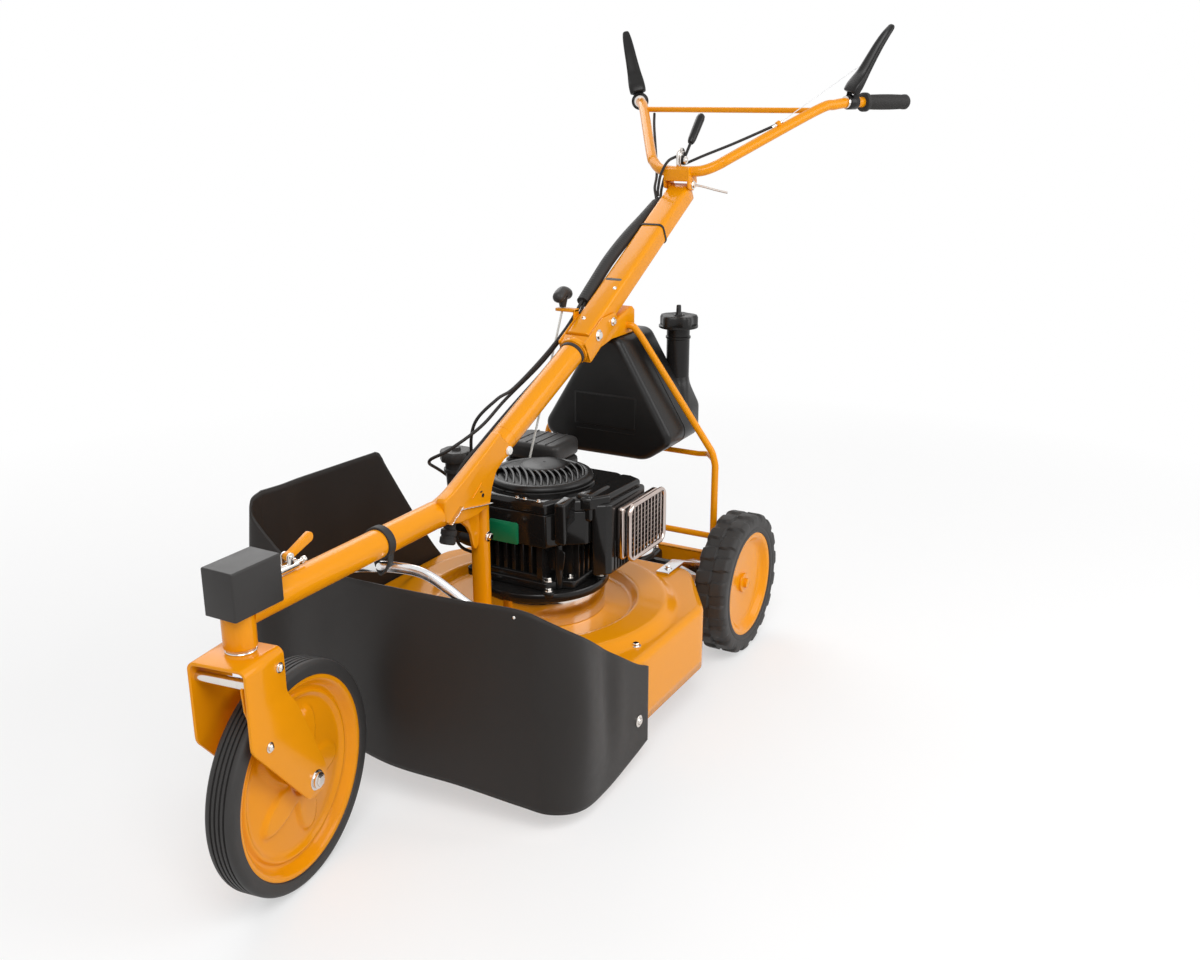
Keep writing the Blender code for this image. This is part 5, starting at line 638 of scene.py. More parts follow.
def caster_pieces():
    """Yoke with its roller, tongue and bolts, the axle, the stem's bearings and the front wheel."""
    fork = yoke()
    tongue_outline = rounded([(-50, 374), (-36, 374), (-20, 352), (-26, 310), (-34, 300), (-47, 338)], 6, 4)
    tongue = slab(tongue_outline, 31.5, 34.5, 0, 0.8, 2)
    foot = slab(
        rounded([(-46, 376.5), (-46, 371.5), (-36, 371.5), (-36, 376.5)], 1, 2), 31.5, 41.2, 0, 0.6, 2
    )
    keep("yoke_folded", (fork, tongue, foot), "caster", "orange_paint", "caster_fork")
    roller = lathe(
        (-41.2, -40, 374), (41.2, -40, 374),
        [(0, 5.5), (0, 7), (6, 7.6), (76.4, 7.6), (82.4, 7), (82.4, 5.5)], 28
    )
    keep("yoke_roller", roller, "caster", "polished_steel")
    heads = []
    for side in (-1, 1):
        for y, z, radius in ((-19, 274, 5.5), (16, 374.5, 5.5)):
            heads.append(lathe(
                (side * 45.5, y, z), (side * 51.5, y, z),
                [
                    (0, radius * 1.35), (1.6, radius * 1.35), (1.8, radius), (4, radius * 0.92),
                    (5.4, radius * 0.6), (5.8, 0.4)
                ], 24
            ))
        heads.append(lathe(
            (side * 45.5, TRAIL, FRONT_HUB), (side * 51.2, TRAIL, FRONT_HUB),
            [
                (0, 15), (1.2, 15), (1.6, 14.2), (1.6, 12), (5.6, 12), (6, 11.2), (6, 6), (4.4, 5),
                (4.4, 0.4)
            ], 30
        ))
        heads.append(lathe(
            (side * 50, TRAIL, FRONT_HUB), (side * 55, TRAIL, FRONT_HUB),
            [(0, 8.6), (3.6, 8.6), (4.6, 7.4), (4.6, 0.4)], 6
        ))
    keep("caster_bolts", heads, "caster", "polished_steel")
    axle = lathe((-46, TRAIL, FRONT_HUB), (46, TRAIL, FRONT_HUB), [(0, 5.9), (92, 5.9)], 24)
    keep("axle_shaft", axle, "caster", "zinc_plate", "front_axle")
    bearing = [
        (13.9, 392), (13.9, 400.3), (20.5, 400.3), (21.1, 401.2), (20.5, 402.2), (19.2, 402.6),
        (19.2, 403.6), (20.8, 404.2), (20.8, 406), (13.9, 406.3), (13.9, 477.7), (21.4, 477.7), (21.5, 487),
        (9, 487.8), (9, 494.5), (8, 495.5)
    ]
    stem = turned(bearing, 2, (0, 0, 0), 56)
    keep("stem_bearing", stem, "caster", "polished_steel", "steering_stem")
    keep("front_tyre_ribbed", front_tyre(), "front_wheel", "tyre_rubber", "front_tyre", 30)
    keep("front_rim_pressed", front_rim(), "front_wheel", "orange_paint", "front_rim", 50)


def boom_x(y):
    """How far the boom's centre line stands off the middle at a distance along the machine."""
    return 5 * (-125 - y) / 430


def head_pieces():
    """Head tube, its square cover, the boom and the sliding lock on top of it."""
    head = turned(
        [(14.3, 406.6), (21.8, 406.6), (22.5, 407.3), (22.5, 477.5), (14.3, 477.5)], 2, STEER, 56, ring=True
    )
    keep("head_tube_fine", head, "frame", "orange_paint", "head_tube")
    boom = rod((boom_x(-545), -545, BOOM), (0, -118, BOOM), 22.5, 56)
    keep("boom_tube_fine", boom, "frame", "orange_paint", "boom_tube")
    outline = rounded(rectangle(55, 89, (5, -540.5)), 3, 4)
    cover = slab(outline, 455, 522, 2, 0.6, 4, 2.6)
    keep("head_cover_cap", cover, "frame", "matte_plastic", "head_cover")
    height = 483.4
    guide = lathe(
        (5, -492, height), (5, -442, height),
        [(0, 3.2), (0, 7), (0.6, 7.6), (49.4, 7.6), (50, 7), (50, 3.2)], 32
    )
    parts = [guide, box((1, -488, 474.6), (9, -446, 479), 0.8)]
    parts += both_sides(rounded(rectangle(12, 20.6, (-457, 493.7)), 5, 6), 4.3, 6.8, 0.5, 2, 5)
    parts.append(rod((-3.5, -457, 497.9), (13.5, -457, 497.9), 3.2, 16, 1))
    keep("lock_guide_tube", parts, "frame", "polished_steel", "lock_guide")
    pin = lathe(
        (5, -525, height), (5, -423.5, height),
        [(0, 1.6), (1.2, 2.8), (96.5, 2.8), (96.5, 4.4), (97, 4.8), (101, 4.8), (101.5, 4)], 20
    )
    keep("lock_pin_rod", pin, "swivel_lock_pin", "polished_steel", "lock_pin")
    half, hub, length = 10, 5.5, 52
    paddle = rounded(
        [(-hub, -hub), (hub, -hub), (length, -half * 0.25), (length, half * 1.25), (hub, hub), (-hub, hub)],
        [5, 5, half * 0.7, half * 0.7, 20, 5], 6
    )
    c, s = math.cos(math.radians(14)), math.sin(math.radians(14))
    paddle = paddle @ np.array([[c, s], [-s, c]]) + (-457, 497.9)
    keep("lock_paddle", slab(paddle, 1, 9, 0, 1.2, 3), "swivel_lock_lever", "orange_paint", "lock_lever")
    middle = boom_x(-258)
    band = [(22.6, -266), (25.2, -266), (26, -265), (26, -252), (25.2, -251), (22.6, -251)]
    band = turned(band, 1, (middle, 0, BOOM), 48, ring=True)
    loop_path = [
        (21.5, -258.5, 440), (20, -259, 424), (12, -260, 409), (4, -259, 402), (-4, -257, 408),
        (-10, -257, 428)
    ]
    loop = swept(spline(loop_path, 6), rounded(rectangle(2.4, 12.5), 0.8, 3), (0, 1, 0))
    keep("boom_band", (band, loop), "frame", "soft_rubber", "boom_strap")


STRUT_PLACE = np.array([0.0, 7.5, BOOM])
GUSSET_EDGE = [
    (-128.5, -9), (-108.5, -17), (-85, -23), (-37.5, -24), (-1, -16), (8, 13), (21, 36), (47, 51), (69, 55),
    (69, 70), (42, 92), (37, 103), (-12, 77), (-63, 53), (-100, 36.5), (-128.5, 28)
]
WEB_EDGE = [
    (-82.5, -18), (-62, -32.5), (-48, -44.5), (-38, -60), (-33, -81), (-26, -93), (-17.5, -86), (-9.5, -52),
    (-9.5, -7), (-57.5, 3)
]


def knee():
    """Bent tube with a gusset on its left, a web that tapers down the round strut, and the strut's foot."""
    bend = [(0, -124.7, BOOM), (0, -103.5, BOOM), (0, -61.1, 464.2), (0, 20, 500.3), (0, 97.5, 534.8)]
    gusset = rounded(np.array(GUSSET_EDGE) + STRUT_PLACE[1:], 8, 5)
    web = rounded(np.array(WEB_EDGE) + STRUT_PLACE[1:], 6, 4)
    foot = [(0, 22.5), (1.8, 22.5), (3, 21), (11, 16.6), (15, 16), (290, 16)]
    floor = STRUT_PLACE * (1, 1, 0) + (0, 0, DECK_ROOF)
    parts = [
        tube(spline(bend, 8), 22.6, 48), slab(gusset, 4.5, 23.5, 0, 3.4, 5), slab(web, 2, 8, 0, 1.4, 3),
        lathe(floor, floor + (0, 0, 290), foot, 48)
    ]
    seams = [(23.9, -18, 482), (24.1, -34, 470), (23.9, -47, 463)]
    parts.append(tube(spline(seams, 6), 0.9, 8))
    keep("frame_knee", parts, "frame", "orange_paint", "frame_junction", 44)
    # painted shade: a thin black disc and a small black box on the gusset stand in for the dark inside of a
    # round hole and a slot
    dark = [
        rod((23.2, -15, 459), (24, -15, 459), 3.6, 20, 0.3),
        box((23.2, -22.5, 465), (23.9, -16, 468), 0.3, 1.2, 0)
    ]
    keep("knee_holes", dark, "frame", "black_paint")


def frame_pieces():
    """Knee, lower column with its black ring, clamp with the rope's eye, and the tank's bracket."""
    knee()
    start, end = np.array([0.0, 98, 535]), np.array([0.0, 327, 637])
    slope = unit_vector(end - start)
    keep("lower_column_tube", rod(start - slope * 10, end, 23, 56), "frame", "orange_paint", "lower_column")
    ring = lathe(
        end - slope * 10, end - slope * 2, [(0, 22.8), (0, 24), (1, 24.8), (7, 24.8), (8, 24), (8, 22.8)],
        56
    )
    keep("column_ring", ring, "frame", "soft_rubber")
    along, up = column_axes()
    base = end + slope * 4.3
    cheek = [
        base - up * 25, COLUMN_PIVOT + along * 76 - up * 25, COLUMN_PIVOT + along * 76 - up * 4,
        COLUMN_PIVOT + along * 30 + up * 17, base + up * 20
    ]
    outline = rounded(np.array(cheek)[:, 1:], [4, 10, 10, 20, 4], 6)
    parts = [lathe(
        end, end + slope * 12.4,
        [(0, 23.6), (0.6, 26.4), (1.6, 27), (10.8, 27), (11.8, 26.4), (12.4, 23.6)], 56
    )]
    parts += both_sides(outline, 25.5, 29.5, 1, 3)
    heel = COLUMN_PIVOT - along * 26
    stop = np.array([base - up * 25, heel - up * 25, heel + up * 17, base + up * 17])[:, 1:]
    parts.append(slab(stop, -28.6, 28.6, 0, 1, 3))
    parts.append(box((-72, 383, 700), (-29, 401, 706), 1.5))
    parts.append(box((-33, 383, 667), (-29, 401, 705.5), 1.2))
    keep("clamp_channel", parts, "frame", "orange_paint", "column_clamp")
    heads = []
    for side in (-1, 1):
        heads.append(bolt((side * 29.4, *COLUMN_PIVOT[1:]), (side, 0, 0), 7.5, 4.5))
        heads.append(bolt((side * 29.4, *(COLUMN_PIVOT + along * 58 - up * 13)[1:]), (side, 0, 0), 5.5, 4))
        heads.append(bolt((side * 15, 9.5, 376.5), (side, 0, 0), 6.2, 5.5))
    keep("frame_bolts", heads, "frame", "polished_steel")
    first, last = 392, 436
    bracket = [
        (first, edge_height(first)), (last, edge_height(last)), (470, 685.3), (520, 697.3), (530, 689.3),
        (530, 645.3), (436, 645.3), (first, edge_height(first) - 9.7)
    ]
    keep(
        "tank_bracket_plate", slab(rounded(bracket, 3, 3), -24, 24, 0, 1.6, 3), "frame", "orange_paint",
        "tank_bracket"
    )


def column_axes():
    """Direction along the tilting column and the one square to it, both in the middle plane."""
    along = unit_vector(np.array([0.0, 418, 235]))
    return along, np.array([0.0, -along[2], along[1]])


def edge_height(y):
    """Height of the clamp's lower edge at a distance along the machine, less its clearance."""
    along, _ = column_axes()
    _, pivot, height = COLUMN_PIVOT
    return height + (y - pivot) * along[2] / along[1] - 25 / along[1] - 0.3


def column_pieces():
    """Tilting column: a rounded rectangle carried along it, with its slot as a black patch of painted
    shade, rivets, tie and hose.
    """
    along, up = column_axes()
    top = np.array([0.0, 790, 899])
    start = COLUMN_PIVOT - along * 22
    length = np.linalg.norm(top - start)
    distance = np.array([[0, 0.6, 2, 250, 480, length - 1, length]]).T
    section = rounded(rectangle(50, 42), 9, 6)
    tube_grid = stations(start + distance * along, section, ACROSS, up, (0.955, 0.985, 1, 1, 1, 1, 0.975))
    y, z = BAR_PIVOT[1:]
    lugs = [rod((side * 19, y, z), (side * 25, y, z), 10.5, 28, 1) for side in (-1, 1)]
    tube_parts = surface(tube_grid), *lugs
    keep("column_tube", tube_parts, "column", "orange_paint", "upper_column")
    face = COLUMN_PIVOT + up * 21
    # the slot is not cut: a thin black plate on the face is painted shade for the dark inside of the slot
    slot_rows = face + along * 143 + np.array([[-0.4, 0.3, 0.3]]).T * up
    slot = stations(slot_rows, rounded(rectangle(34, 6.5), 3, 5), ACROSS, along, (1, 1, 0.97))
    keep("column_slot", surface(slot), "column", "black_paint")
    studs = []
    for run, offset in ((20, -6), (116, 15)):
        point = face + along * run + ACROSS * offset
        studs.append(lathe(
            point, point + up * 2.8, [(0, 4.2), (0.8, 4.2), (1.8, 3.4), (2.6, 1.8), (2.8, 0.2)], 20
        ))
    studs.append(bolt(COLUMN_PIVOT + along * 30 + ACROSS * 24.6, (1, 0, 0), 4.2, 3, 1.3))
    keep("column_rivets", studs, "column", "polished_steel")
    tie_rows = COLUMN_PIVOT + np.array([[325, 325, 329.5, 329.5]]).T * along
    tie = stations(tie_rows, rounded(rectangle(53.5, 45.5), 10, 6), ACROSS, up, (0.955, 1, 1, 0.955))
    keep("column_tie", surface(tie), "column", "soft_rubber")
    route = spline(sleeve_points(), 60)
    ribs = 12.5 * (0.975 + 0.025 * np.cos(distances(route) * 2 * np.pi / 6))
    keep("hose_ribbed", tube(route, ribs, 20), "column", "soft_rubber", "cable_sleeve", 60)


def sleeve_points():
    """Route of the hose beside the column, from its lower end up."""
    along, up = column_axes()
    base = COLUMN_PIVOT - ACROSS * 37.8
    return [
        base + along * a + up * b
        for a, b in ((75, 14), (130, 18), (200, 22), (280, 18), (360, 8), (430, 0.0))
    ]


SPLAY = math.radians(27)
GRIP_WAY = np.array([math.sin(SPLAY), math.cos(SPLAY), 0.0])
LEVER_POINT = np.array([260, 1098, 1079])
GRIP_START = LEVER_POINT + GRIP_WAY * 34
BAR_PIVOT = np.array([0.0, 782, 914])
SPEED_AXIS = np.array([0.0, 786, 964])
MIRROR = np.array([-1.0, 1.0, 1.0])


def half_bar():
    """Centre line of the left half of the handlebar, from the bracket outwards."""
    return np.array([
        (0.0, 776, 941), (36, 781, 942), (56, 791, 946), (77, 810, 957), (98, 837, 973),
        (208.4, 1017.5, 1062), (236, 1060, 1074), LEVER_POINT, GRIP_START - GRIP_WAY * 10,
        GRIP_START + GRIP_WAY * 55, GRIP_START + GRIP_WAY * 113
    ])


def lever_axes(side):
    """Pivot, axis, grip direction and up direction of a hand lever."""
    tilt = math.radians(13)
    up = np.array([GRIP_WAY[1], -GRIP_WAY[0], 0.0]) * math.sin(tilt) + np.array([0, 0, math.cos(tilt)])
    flip = np.array([side, 1.0, 1.0])
    centre = (LEVER_POINT + up * 26) * flip
    along, up = GRIP_WAY * flip, up * flip
    return centre, np.cross(along, up), along, up


def handlebar():
    """The bent tube, a cubic blend through its bends, with the cross rod and the clamping bracket."""
    half = half_bar()
    points = np.vstack([half[::-1] * MIRROR, half[1:]])
    parts = [tube(spline(points, 7), 11, 32)]
    left = np.array([208.4, 1012, 1062])
    bow = np.array([
        left * MIRROR, left * MIRROR * (0.5, 1, 1) + (0, -1, 0), left * (0.5, 1, 1) + (0, -1, 0), left
    ])
    parts.append(tube(spline(bow, 8), 6, 20))
    y, z = BAR_PIVOT[1:]
    cheek = rounded(
        [(y - 22, z - 6), (y + 4, z - 12), (y + 20, z + 4), (y + 14, z + 36), (y - 24, z + 38)], 6, 5
    )
    parts += both_sides(cheek, 25.3, 29.3, 1, 3)
    parts.append(box((-28.3, y - 20, z + 24), (28.3, y + 8, z + 34), 2.5))
    parts.append(box((-27.5, y - 23.5, z + 8), (27.5, y - 17.5, z + 33), 2.5))
    parts.append(box((-4.5, y - 10, z + 28), (0.5, y + 14, z + 42), 1.2))
    keep("handlebar_tube", parts, "bars", "orange_paint", "handlebar")


def lever_mounts():
    """Lever clips with cheeks, pins and bright rings, the pivot bolts, a bent rod and the hub plate."""
    dark, bright = [], []
    for side in (1, -1):
        centre, axis, along, up = lever_axes(side)
        middle = centre - up * 26
        dark.append(lathe(
            middle - along * 13, middle + along * 13,
            [(0, 11.2), (0, 14.8), (1.4, 15.6), (24.6, 15.6), (26, 14.8), (26, 11.2)], 32
        ))
        for way in (-1, 1):
            root = centre + axis * way * 9.3
            dark.append(rod(root, root + axis * way * 3, 9.5, 24, 0.8))
            post = root + axis * way * 1.5 - np.array([[20, 10, 0]]).T * up
            dark.append(surface(stations(post, rounded(rectangle(2.8, 16), 1, 3), axis, along)))
            bright.append(lathe(
                centre + axis * way * 11.5, centre + axis * way * 15,
                [(0, 4.2), (2.2, 4.2), (3.2, 3), (3.5, 0.4)], 20
            ))
        foot = middle - along * 16
        bright.append(lathe(
            foot - along * 3, foot + along * 3, [(0, 11.2), (0, 13.4), (6, 13.4), (6, 11.2)], 32
        ))
    keep("lever_clips", dark, "bars", "dark_plastic")
    y, z = BAR_PIVOT[1:]
    for side in (-1, 1):
        bright.append(bolt((side * 29.2, y, z), (side, 0, 0), 6.2, 4.5))
    bright.append(tube(
        spline([(30, y, z + 1), (52, y + 3, z - 3), (78, y + 7, z - 9), (104, y + 10, z - 14)], 6), 2.3, 14
    ))
    plate = rounded(rectangle(36, 46, SPEED_AXIS[1:] + (0.0, 2)), 16.5, 8)
    bright.append(slab(plate, -4.8, 1, 0, 1.2, 3))
    bright.append(slab(inset(plate, 6), 1, 3, 0, 1.2, 3))
    bright.append(lathe(
        SPEED_AXIS + (7.5, 0, 0), SPEED_AXIS + (13, 0, 0),
        [(0, 8.5), (3, 8.5), (4.2, 7.4), (4.2, 4.6), (5.5, 4), (5.5, 0.3)], 28
    ))
    keep("bar_fittings", bright, "bars", "polished_steel")


def hand_lever(name, side):
    """Moulded lever: oval sections whose width, thickness and bow follow the blade, with a ridge."""
    centre, axis, along, up = lever_axes(side)
    lean_angle = math.radians(23)
    lean = math.sin(lean_angle) * along + math.cos(lean_angle) * up
    thick = np.cross(axis, lean)
    sections = np.array([
        (-6, 34, 15, -6), (-3, 38, 20, -6), (10, 39, 22, -4.5), (25, 37, 17, -2), (42, 33, 12.8, 0.5),
        (70, 28.8, 11.8, 2), (100, 25.6, 11.2, 4), (125, 22.2, 10.4, 8), (142, 17.5, 9, 13),
        (148, 13, 6.6, 13.8), (150, 7, 3.6, 14)
    ])
    fine = spline(sections, 5)
    angle = np.arange(36) * 2 * np.pi / 36
    power = 0.55
    shape = np.stack(
        [
            np.sign(np.cos(angle)) * abs(np.cos(angle)) ** power,
            np.sign(np.sin(angle)) * abs(np.sin(angle)) ** power
        ], 1
    ) / 2
    dent = 1 - 0.30 * np.exp(-((shape[:, 0] / 0.26) ** 2)) * (abs(shape[:, 1]) > 0.2)
    middle = centre + fine[:, :1] * lean + fine[:, 3:] * along
    window = smooth_step((fine[:, 0] - 30) / 15) * smooth_step((140 - fine[:, 0]) / 15)
    relief_share = 1 - (1 - dent)[None] * window[:, None]
    grid = middle[:, None] + shape[None, :, :1] * fine[:, None, 1:2] * axis + (
        shape[None, :, 1:] * relief_share[..., None]
    ) * fine[:, None, 2:3] * thick
    blade = surface(grid)
    hub = rod(centre - axis * 9, centre + axis * 9, 8.2, 28, 1)
    lever = together(blade, hub)
    body = "left_lever" if side > 0 else "right_lever"
    keep(name, lever, body, "dark_plastic", "lever_" + body.split("_")[0], 55)


def lever_wire():
    """Bare wire from the brake cable's end to the left lever, with its ferrule and its lug."""
    clip = clip_point()
    centre, _, _, lean = lever_axes(1)
    end = centre + lean * 50
    way = unit_vector(end - clip)
    lug = rod(clip - way * 4, clip + way * 5, 6.2, 20, 1)
    foot = rod(clip, clip - np.array([0, 0, 13.5]), 3.4, 16, 0.5)
    keep("cable_lug", (lug, foot), "bars", "orange_paint")
    ferrule = rod(clip - way * 16, clip + way * 12, 3.4, 18, 0.6)
    keep("cable_ferrule", ferrule, "bars", "polished_steel")
    wire = tube(clip + np.linspace(0, 1, 24)[:, None] * (end - clip), 0.9, 8)
    keep("brake_wire", wire, None, "zinc_plate")
    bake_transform(wire)


def grip_sleeve(name, side):
    """Soft sleeve: a collar, then a barrel with fine rings, closed by a domed end."""
    flip = np.array([side, 1.0, 1.0])
    start, way = GRIP_START * flip, GRIP_WAY * flip
    collar = [(0, 11.2), (0, 19.2), (1.2, 20.4), (9.8, 20.5), (11.2, 19.6), (13.2, 15.6)]
    run = np.arange(16, 125.5, 0.5)
    swell = 15.3 + 1 * np.sin(np.clip((run - 16) / 110, 0, 1) * np.pi)
    ribs = 0.45 * np.cos(run * 2 * np.pi / 4.5)
    dome = [(127, 16), (128.2, 16.5), (134.5, 16.5), (137, 15), (138, 11), (138, 0.4)]
    profile = collar + np.stack([run, swell + ribs], 1).tolist() + dome
    keep(
        name, lathe(start, start + way, profile, 40), "bars", "soft_rubber",
        "grip_" + ("left" if side > 0 else "right"), 60
    )


def speed_lever():
    """Throttle lever: a hub, a flat stalk and a barrel handle."""
    y, z = SPEED_AXIS[1:]
    lean = math.radians(41)
    unit = np.array([0.0333, math.sin(lean), math.cos(lean)])
    start = np.array([4.3, y, z])
    hub = rod((1.3, y, z), (7.5, y, z), 10.2, 28, 0.8)
    stalk = tube(np.array([start, start + unit * 30, start + unit * 55]), 3.2, 14)
    handle = lathe(
        start + unit * 44, start + unit * 120,
        [(0, 3), (0.6, 5.8), (4, 7.4), (12, 8.6), (40, 9.2), (64, 9.4), (72, 8), (75.5, 5), (76.5, 0.4)], 28
    )
    keep("speed_lever_handle", (hub, stalk, handle), "speed_control", "dark_plastic", "speed_lever")


def bundle(index):
    """Route of one cable inside the hose: the hose's own route, moved to one corner of a triangle."""
    _, up = column_axes()
    angle = index * 2 * math.pi / 3 + math.pi / 2
    spread = 3.3 / math.sin(math.pi / 3) * 1.06
    offset = up * math.sin(angle) * spread + np.array([math.cos(angle) * spread, 0, 0])
    return [point + offset for point in sleeve_points()]


def clip_point():
    """End of the brake cable on the left tube of the handlebar."""
    low, high = half_bar()[4:6]
    along = unit_vector(high - low)
    up = np.array([0.0, 0.0, 1.0]) - along * along[2]
    return low + (high - low) * 0.55 + unit_vector(up) * 14.6


# each cable: its route up to the hose, and its route from there on
CABLES = {
    "throttle_cable": (
        [
            (-118.3, 230, 393), (-119.3, 190, 405), (-112, 148, 470), (-90, 130, 535), (-55, 150, 578),
            (-44, 190, 592), (-41, 290, 632), (-39, 375, 676)
        ],
        [(-37, 750, 905), (-31, 750, 935), (-18, 756, 962), (-8.3, 780, 972)],
    ),
    "drive_cable": (
        [
            (-28.6, 507, 122), (-28.6, 505, 136), (-35.6, 499, 152), (-52, 485, 180), (-85, 452, 226),
            (-130, 400, 258), (-182, 280, 330), (-190, 160, 420), (-150, 70, 470), (-90, 50, 505),
            (-56, 100, 540), (-52, 175, 574), (-48, 290, 617), (-45, 375, 662)
        ],
        [(-62, 785, 905), (-80, 830, 930), (-118, 900, 975), (-160, 975, 1025), (-178.4, 1012, 1052.7)],
    ),
    "brake_cable": (
        [
            (-81.3, 124, 290), (-81.3, 100, 298), (-86, 60, 330), (-86, 48, 400), (-68, 46, 470),
            (-46, 90, 518), (-41, 175, 560), (-41, 290, 606), (-40.5, 378, 650)
        ],
        [(-47, 790, 908), (-42, 812, 936), (10, 842, 965), (80, 882, 997)],
    ),
}


def cable_pieces(name, index):
    """A cable in two lengths that meet inside the hose, so that each bends at one pivot only."""
    before, after = CABLES[name]
    if name == "brake_cable":
        after = after + [clip_point()]
    inside = bundle(index)
    lower = tube(spline(before + inside[:4], 8), 3, 14)
    upper = tube(spline(inside[2:] + after, 8), 3, 14)
    keep(name + "_lower", lower, None, "soft_rubber", name, 60)
    keep(name + "_upper", upper, None, "soft_rubber", name, 60)
    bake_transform(lower)
    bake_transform(upper)


def deck_plan(shrink):
    """Plan of the deck, anticlockwise: half an ellipse, straight sides and a tapered tail."""
    angle = np.pi + np.linspace(0, np.pi, 65)
    width, depth = 295 - shrink, 160 - shrink
    nose = np.stack([width * np.cos(angle), depth * np.sin(angle)], 1)
    tail = 195 - shrink * 0.6
    back = [
        (width, 296 - shrink * 0.3), (tail, 455 - shrink), (-tail, 455 - shrink),
        (-width, 296 - shrink * 0.3)
    ]
    outline = np.vstack([nose, back])
    return rounded(outline, [0.0] * len(nose) + [45] * 4, 8)


def even_loop(outline, count):
    """The same loop with its points at equal distances."""
    loop = np.vstack([outline, outline[:1]])
    run = distances(loop)
    place = np.arange(count) * run[-1] / count
    return np.stack([np.interp(place, run, loop[:, k]) for k in (0, 1)], 1)


def volute_height(points):
    """Height of the roof: a spiral ridge with a steep inner wall, a flat top and a soft outer slope."""
    offset = points - (0.0, 150)
    radius = np.linalg.norm(offset, axis=-1)
    start, end = math.radians(-70), math.radians(205)
    angle = (np.arctan2(offset[..., 1], offset[..., 0]) - start) % (2 * np.pi)
    share = angle / (end - start)
    middle = 228.5 * (1 + 0.10 * np.sin(np.clip(share, 0, 1) * np.pi)) - 12
    place = (radius - middle) / 87
    ridge = smooth_step((place + 0.50) / 0.16) * smooth_step((0.52 - place) / 0.32)
    fade = smooth_step(share / 0.10) * smooth_step((1.0 - share) / 0.10)
    return 196 + 16 * ridge * fade


def deck_shell():
    """Pressed deck: rows climb the wall, turn over the shoulder and close in on the engine's seat."""
    count = 240
    outer = even_loop(deck_plan(0.0), count)
    inlet = smooth_step((195 - abs(outer[:, 0])) / 6) * (outer[:, 1] < -30)
    foot = 73 + (165 - 73) * inlet
    rows = [np.column_stack([outer, foot + (184 - foot) * t]) for t in np.linspace(0, 1, 7)]
    for turn in np.linspace(0, np.pi / 2, 6)[1:]:
        loop = even_loop(deck_plan(12 * (1 - math.cos(turn))), count)
        rows.append(np.column_stack([loop, np.full(count, 184 + 12 * math.sin(turn))]))
    rim = rows[-1][:, :2]
    offset = rim - CRANK[:2]
    angle = np.arctan2(offset[:, 1], offset[:, 0])
    seat = CRANK[:2] + 31 * np.stack([np.cos(angle), np.sin(angle)], 1)
    for t in np.linspace(0, 1, 66)[1:]:
        flat = rim * (1 - t) + seat * t
        rows.append(np.column_stack([flat, volute_height(flat)]))
    shell = surface(np.array(rows), caps=False)
    turn_out(shell, (0.0, 150, 0.0))
    modifier = shell.modifiers.new("sheet", "SOLIDIFY")
    modifier.thickness, modifier.offset = 0.003, -1.0
    keep("deck_shell", shell, "frame", "orange_paint", "deck_housing", 50)
    button = bolt((262, 85, 196.2), (0, 0, 1), 6, 4.5)
    keep("deck_bolt", button, "frame", "polished_steel")


def turn_out(piece, inside):
    """Flips an open sheet whose faces look towards a point inside it."""
    mesh = piece.data
    away = read(mesh.polygons, "center") - placed(inside)
    if np.sum(away * read(mesh.polygons, "normal")) < 0:
        mesh.flip_normals()


# each row: the sheet's place in plan, then the heights of its lower and its upper edge
APRON_ROUTE = np.array([
    (297.6, 60, 38, 178),
    (297.6, 10, 30, 205),
    (299.6, -90, 22, 272),
    (297.6, -165, 26, 325),
    (269.6, -212, 36, 362),
    (222.6, -228, 46, 378),
    (120, -246, 62, 380),
    (0.000, -262, 72, 384),
    (-120, -246, 80, 374),
    (-205, -232, 80, 362),
    (-277.6, -236, 80, 430),
    (-295, -224, 80, 458),
    (-297.6, -200, 80, 467.5),
    (-297.6, -180, 80, 468),
    (-297.6, -50, 80, 463.5),
    (-297.6, 80, 80, 459),
    (-297.6, 104, 80, 457),
    (-297.6, 116, 80, 444),
    (-297.6, 130, 81, 420),
    (-297.6, 200, 85, 312),
    (-297.6, 270, 91, 211),
    (-297.6, 345, 100, 130),
])
# each fold: its place along the sheet, its width and its depth
APRON_FOLDS = ((145, 28, -9), (245, 35, 6), (800, 40, -8), (930, 32, -7))


def apron_grid():
    """The hanging sheet's middle surface: a route in plan, a bulge between edges, bell-shaped folds."""
    route = spline(APRON_ROUTE, 10)
    run = distances(route[:, :2])
    folds = sum(depth * np.exp(-(((run - place) / width) ** 2)) for place, width, depth in APRON_FOLDS)
    tangent = unit_rows(np.gradient(route[:, :2], axis=0))
    out = np.column_stack([-tangent[:, 1], tangent[:, 0], np.zeros(len(route))])
    out *= 1 if out[0, 0] > 0 else -1
    share = np.linspace(0, 1, 41)[:, None]
    height = route[:, 2] * (1 - share) + route[:, 3] * share
    front = np.clip((-route[:, 1] - 20) / 150, 0, 1)
    strength = np.sin(np.pi * np.minimum(1.0, share * 0.75)) ** 2
    bulge = 12 * np.sin(np.pi * share) * front + folds * strength
    points = np.stack(np.broadcast_arrays(route[:, 0], route[:, 1], height), 2)
    return points + bulge[..., None] * out


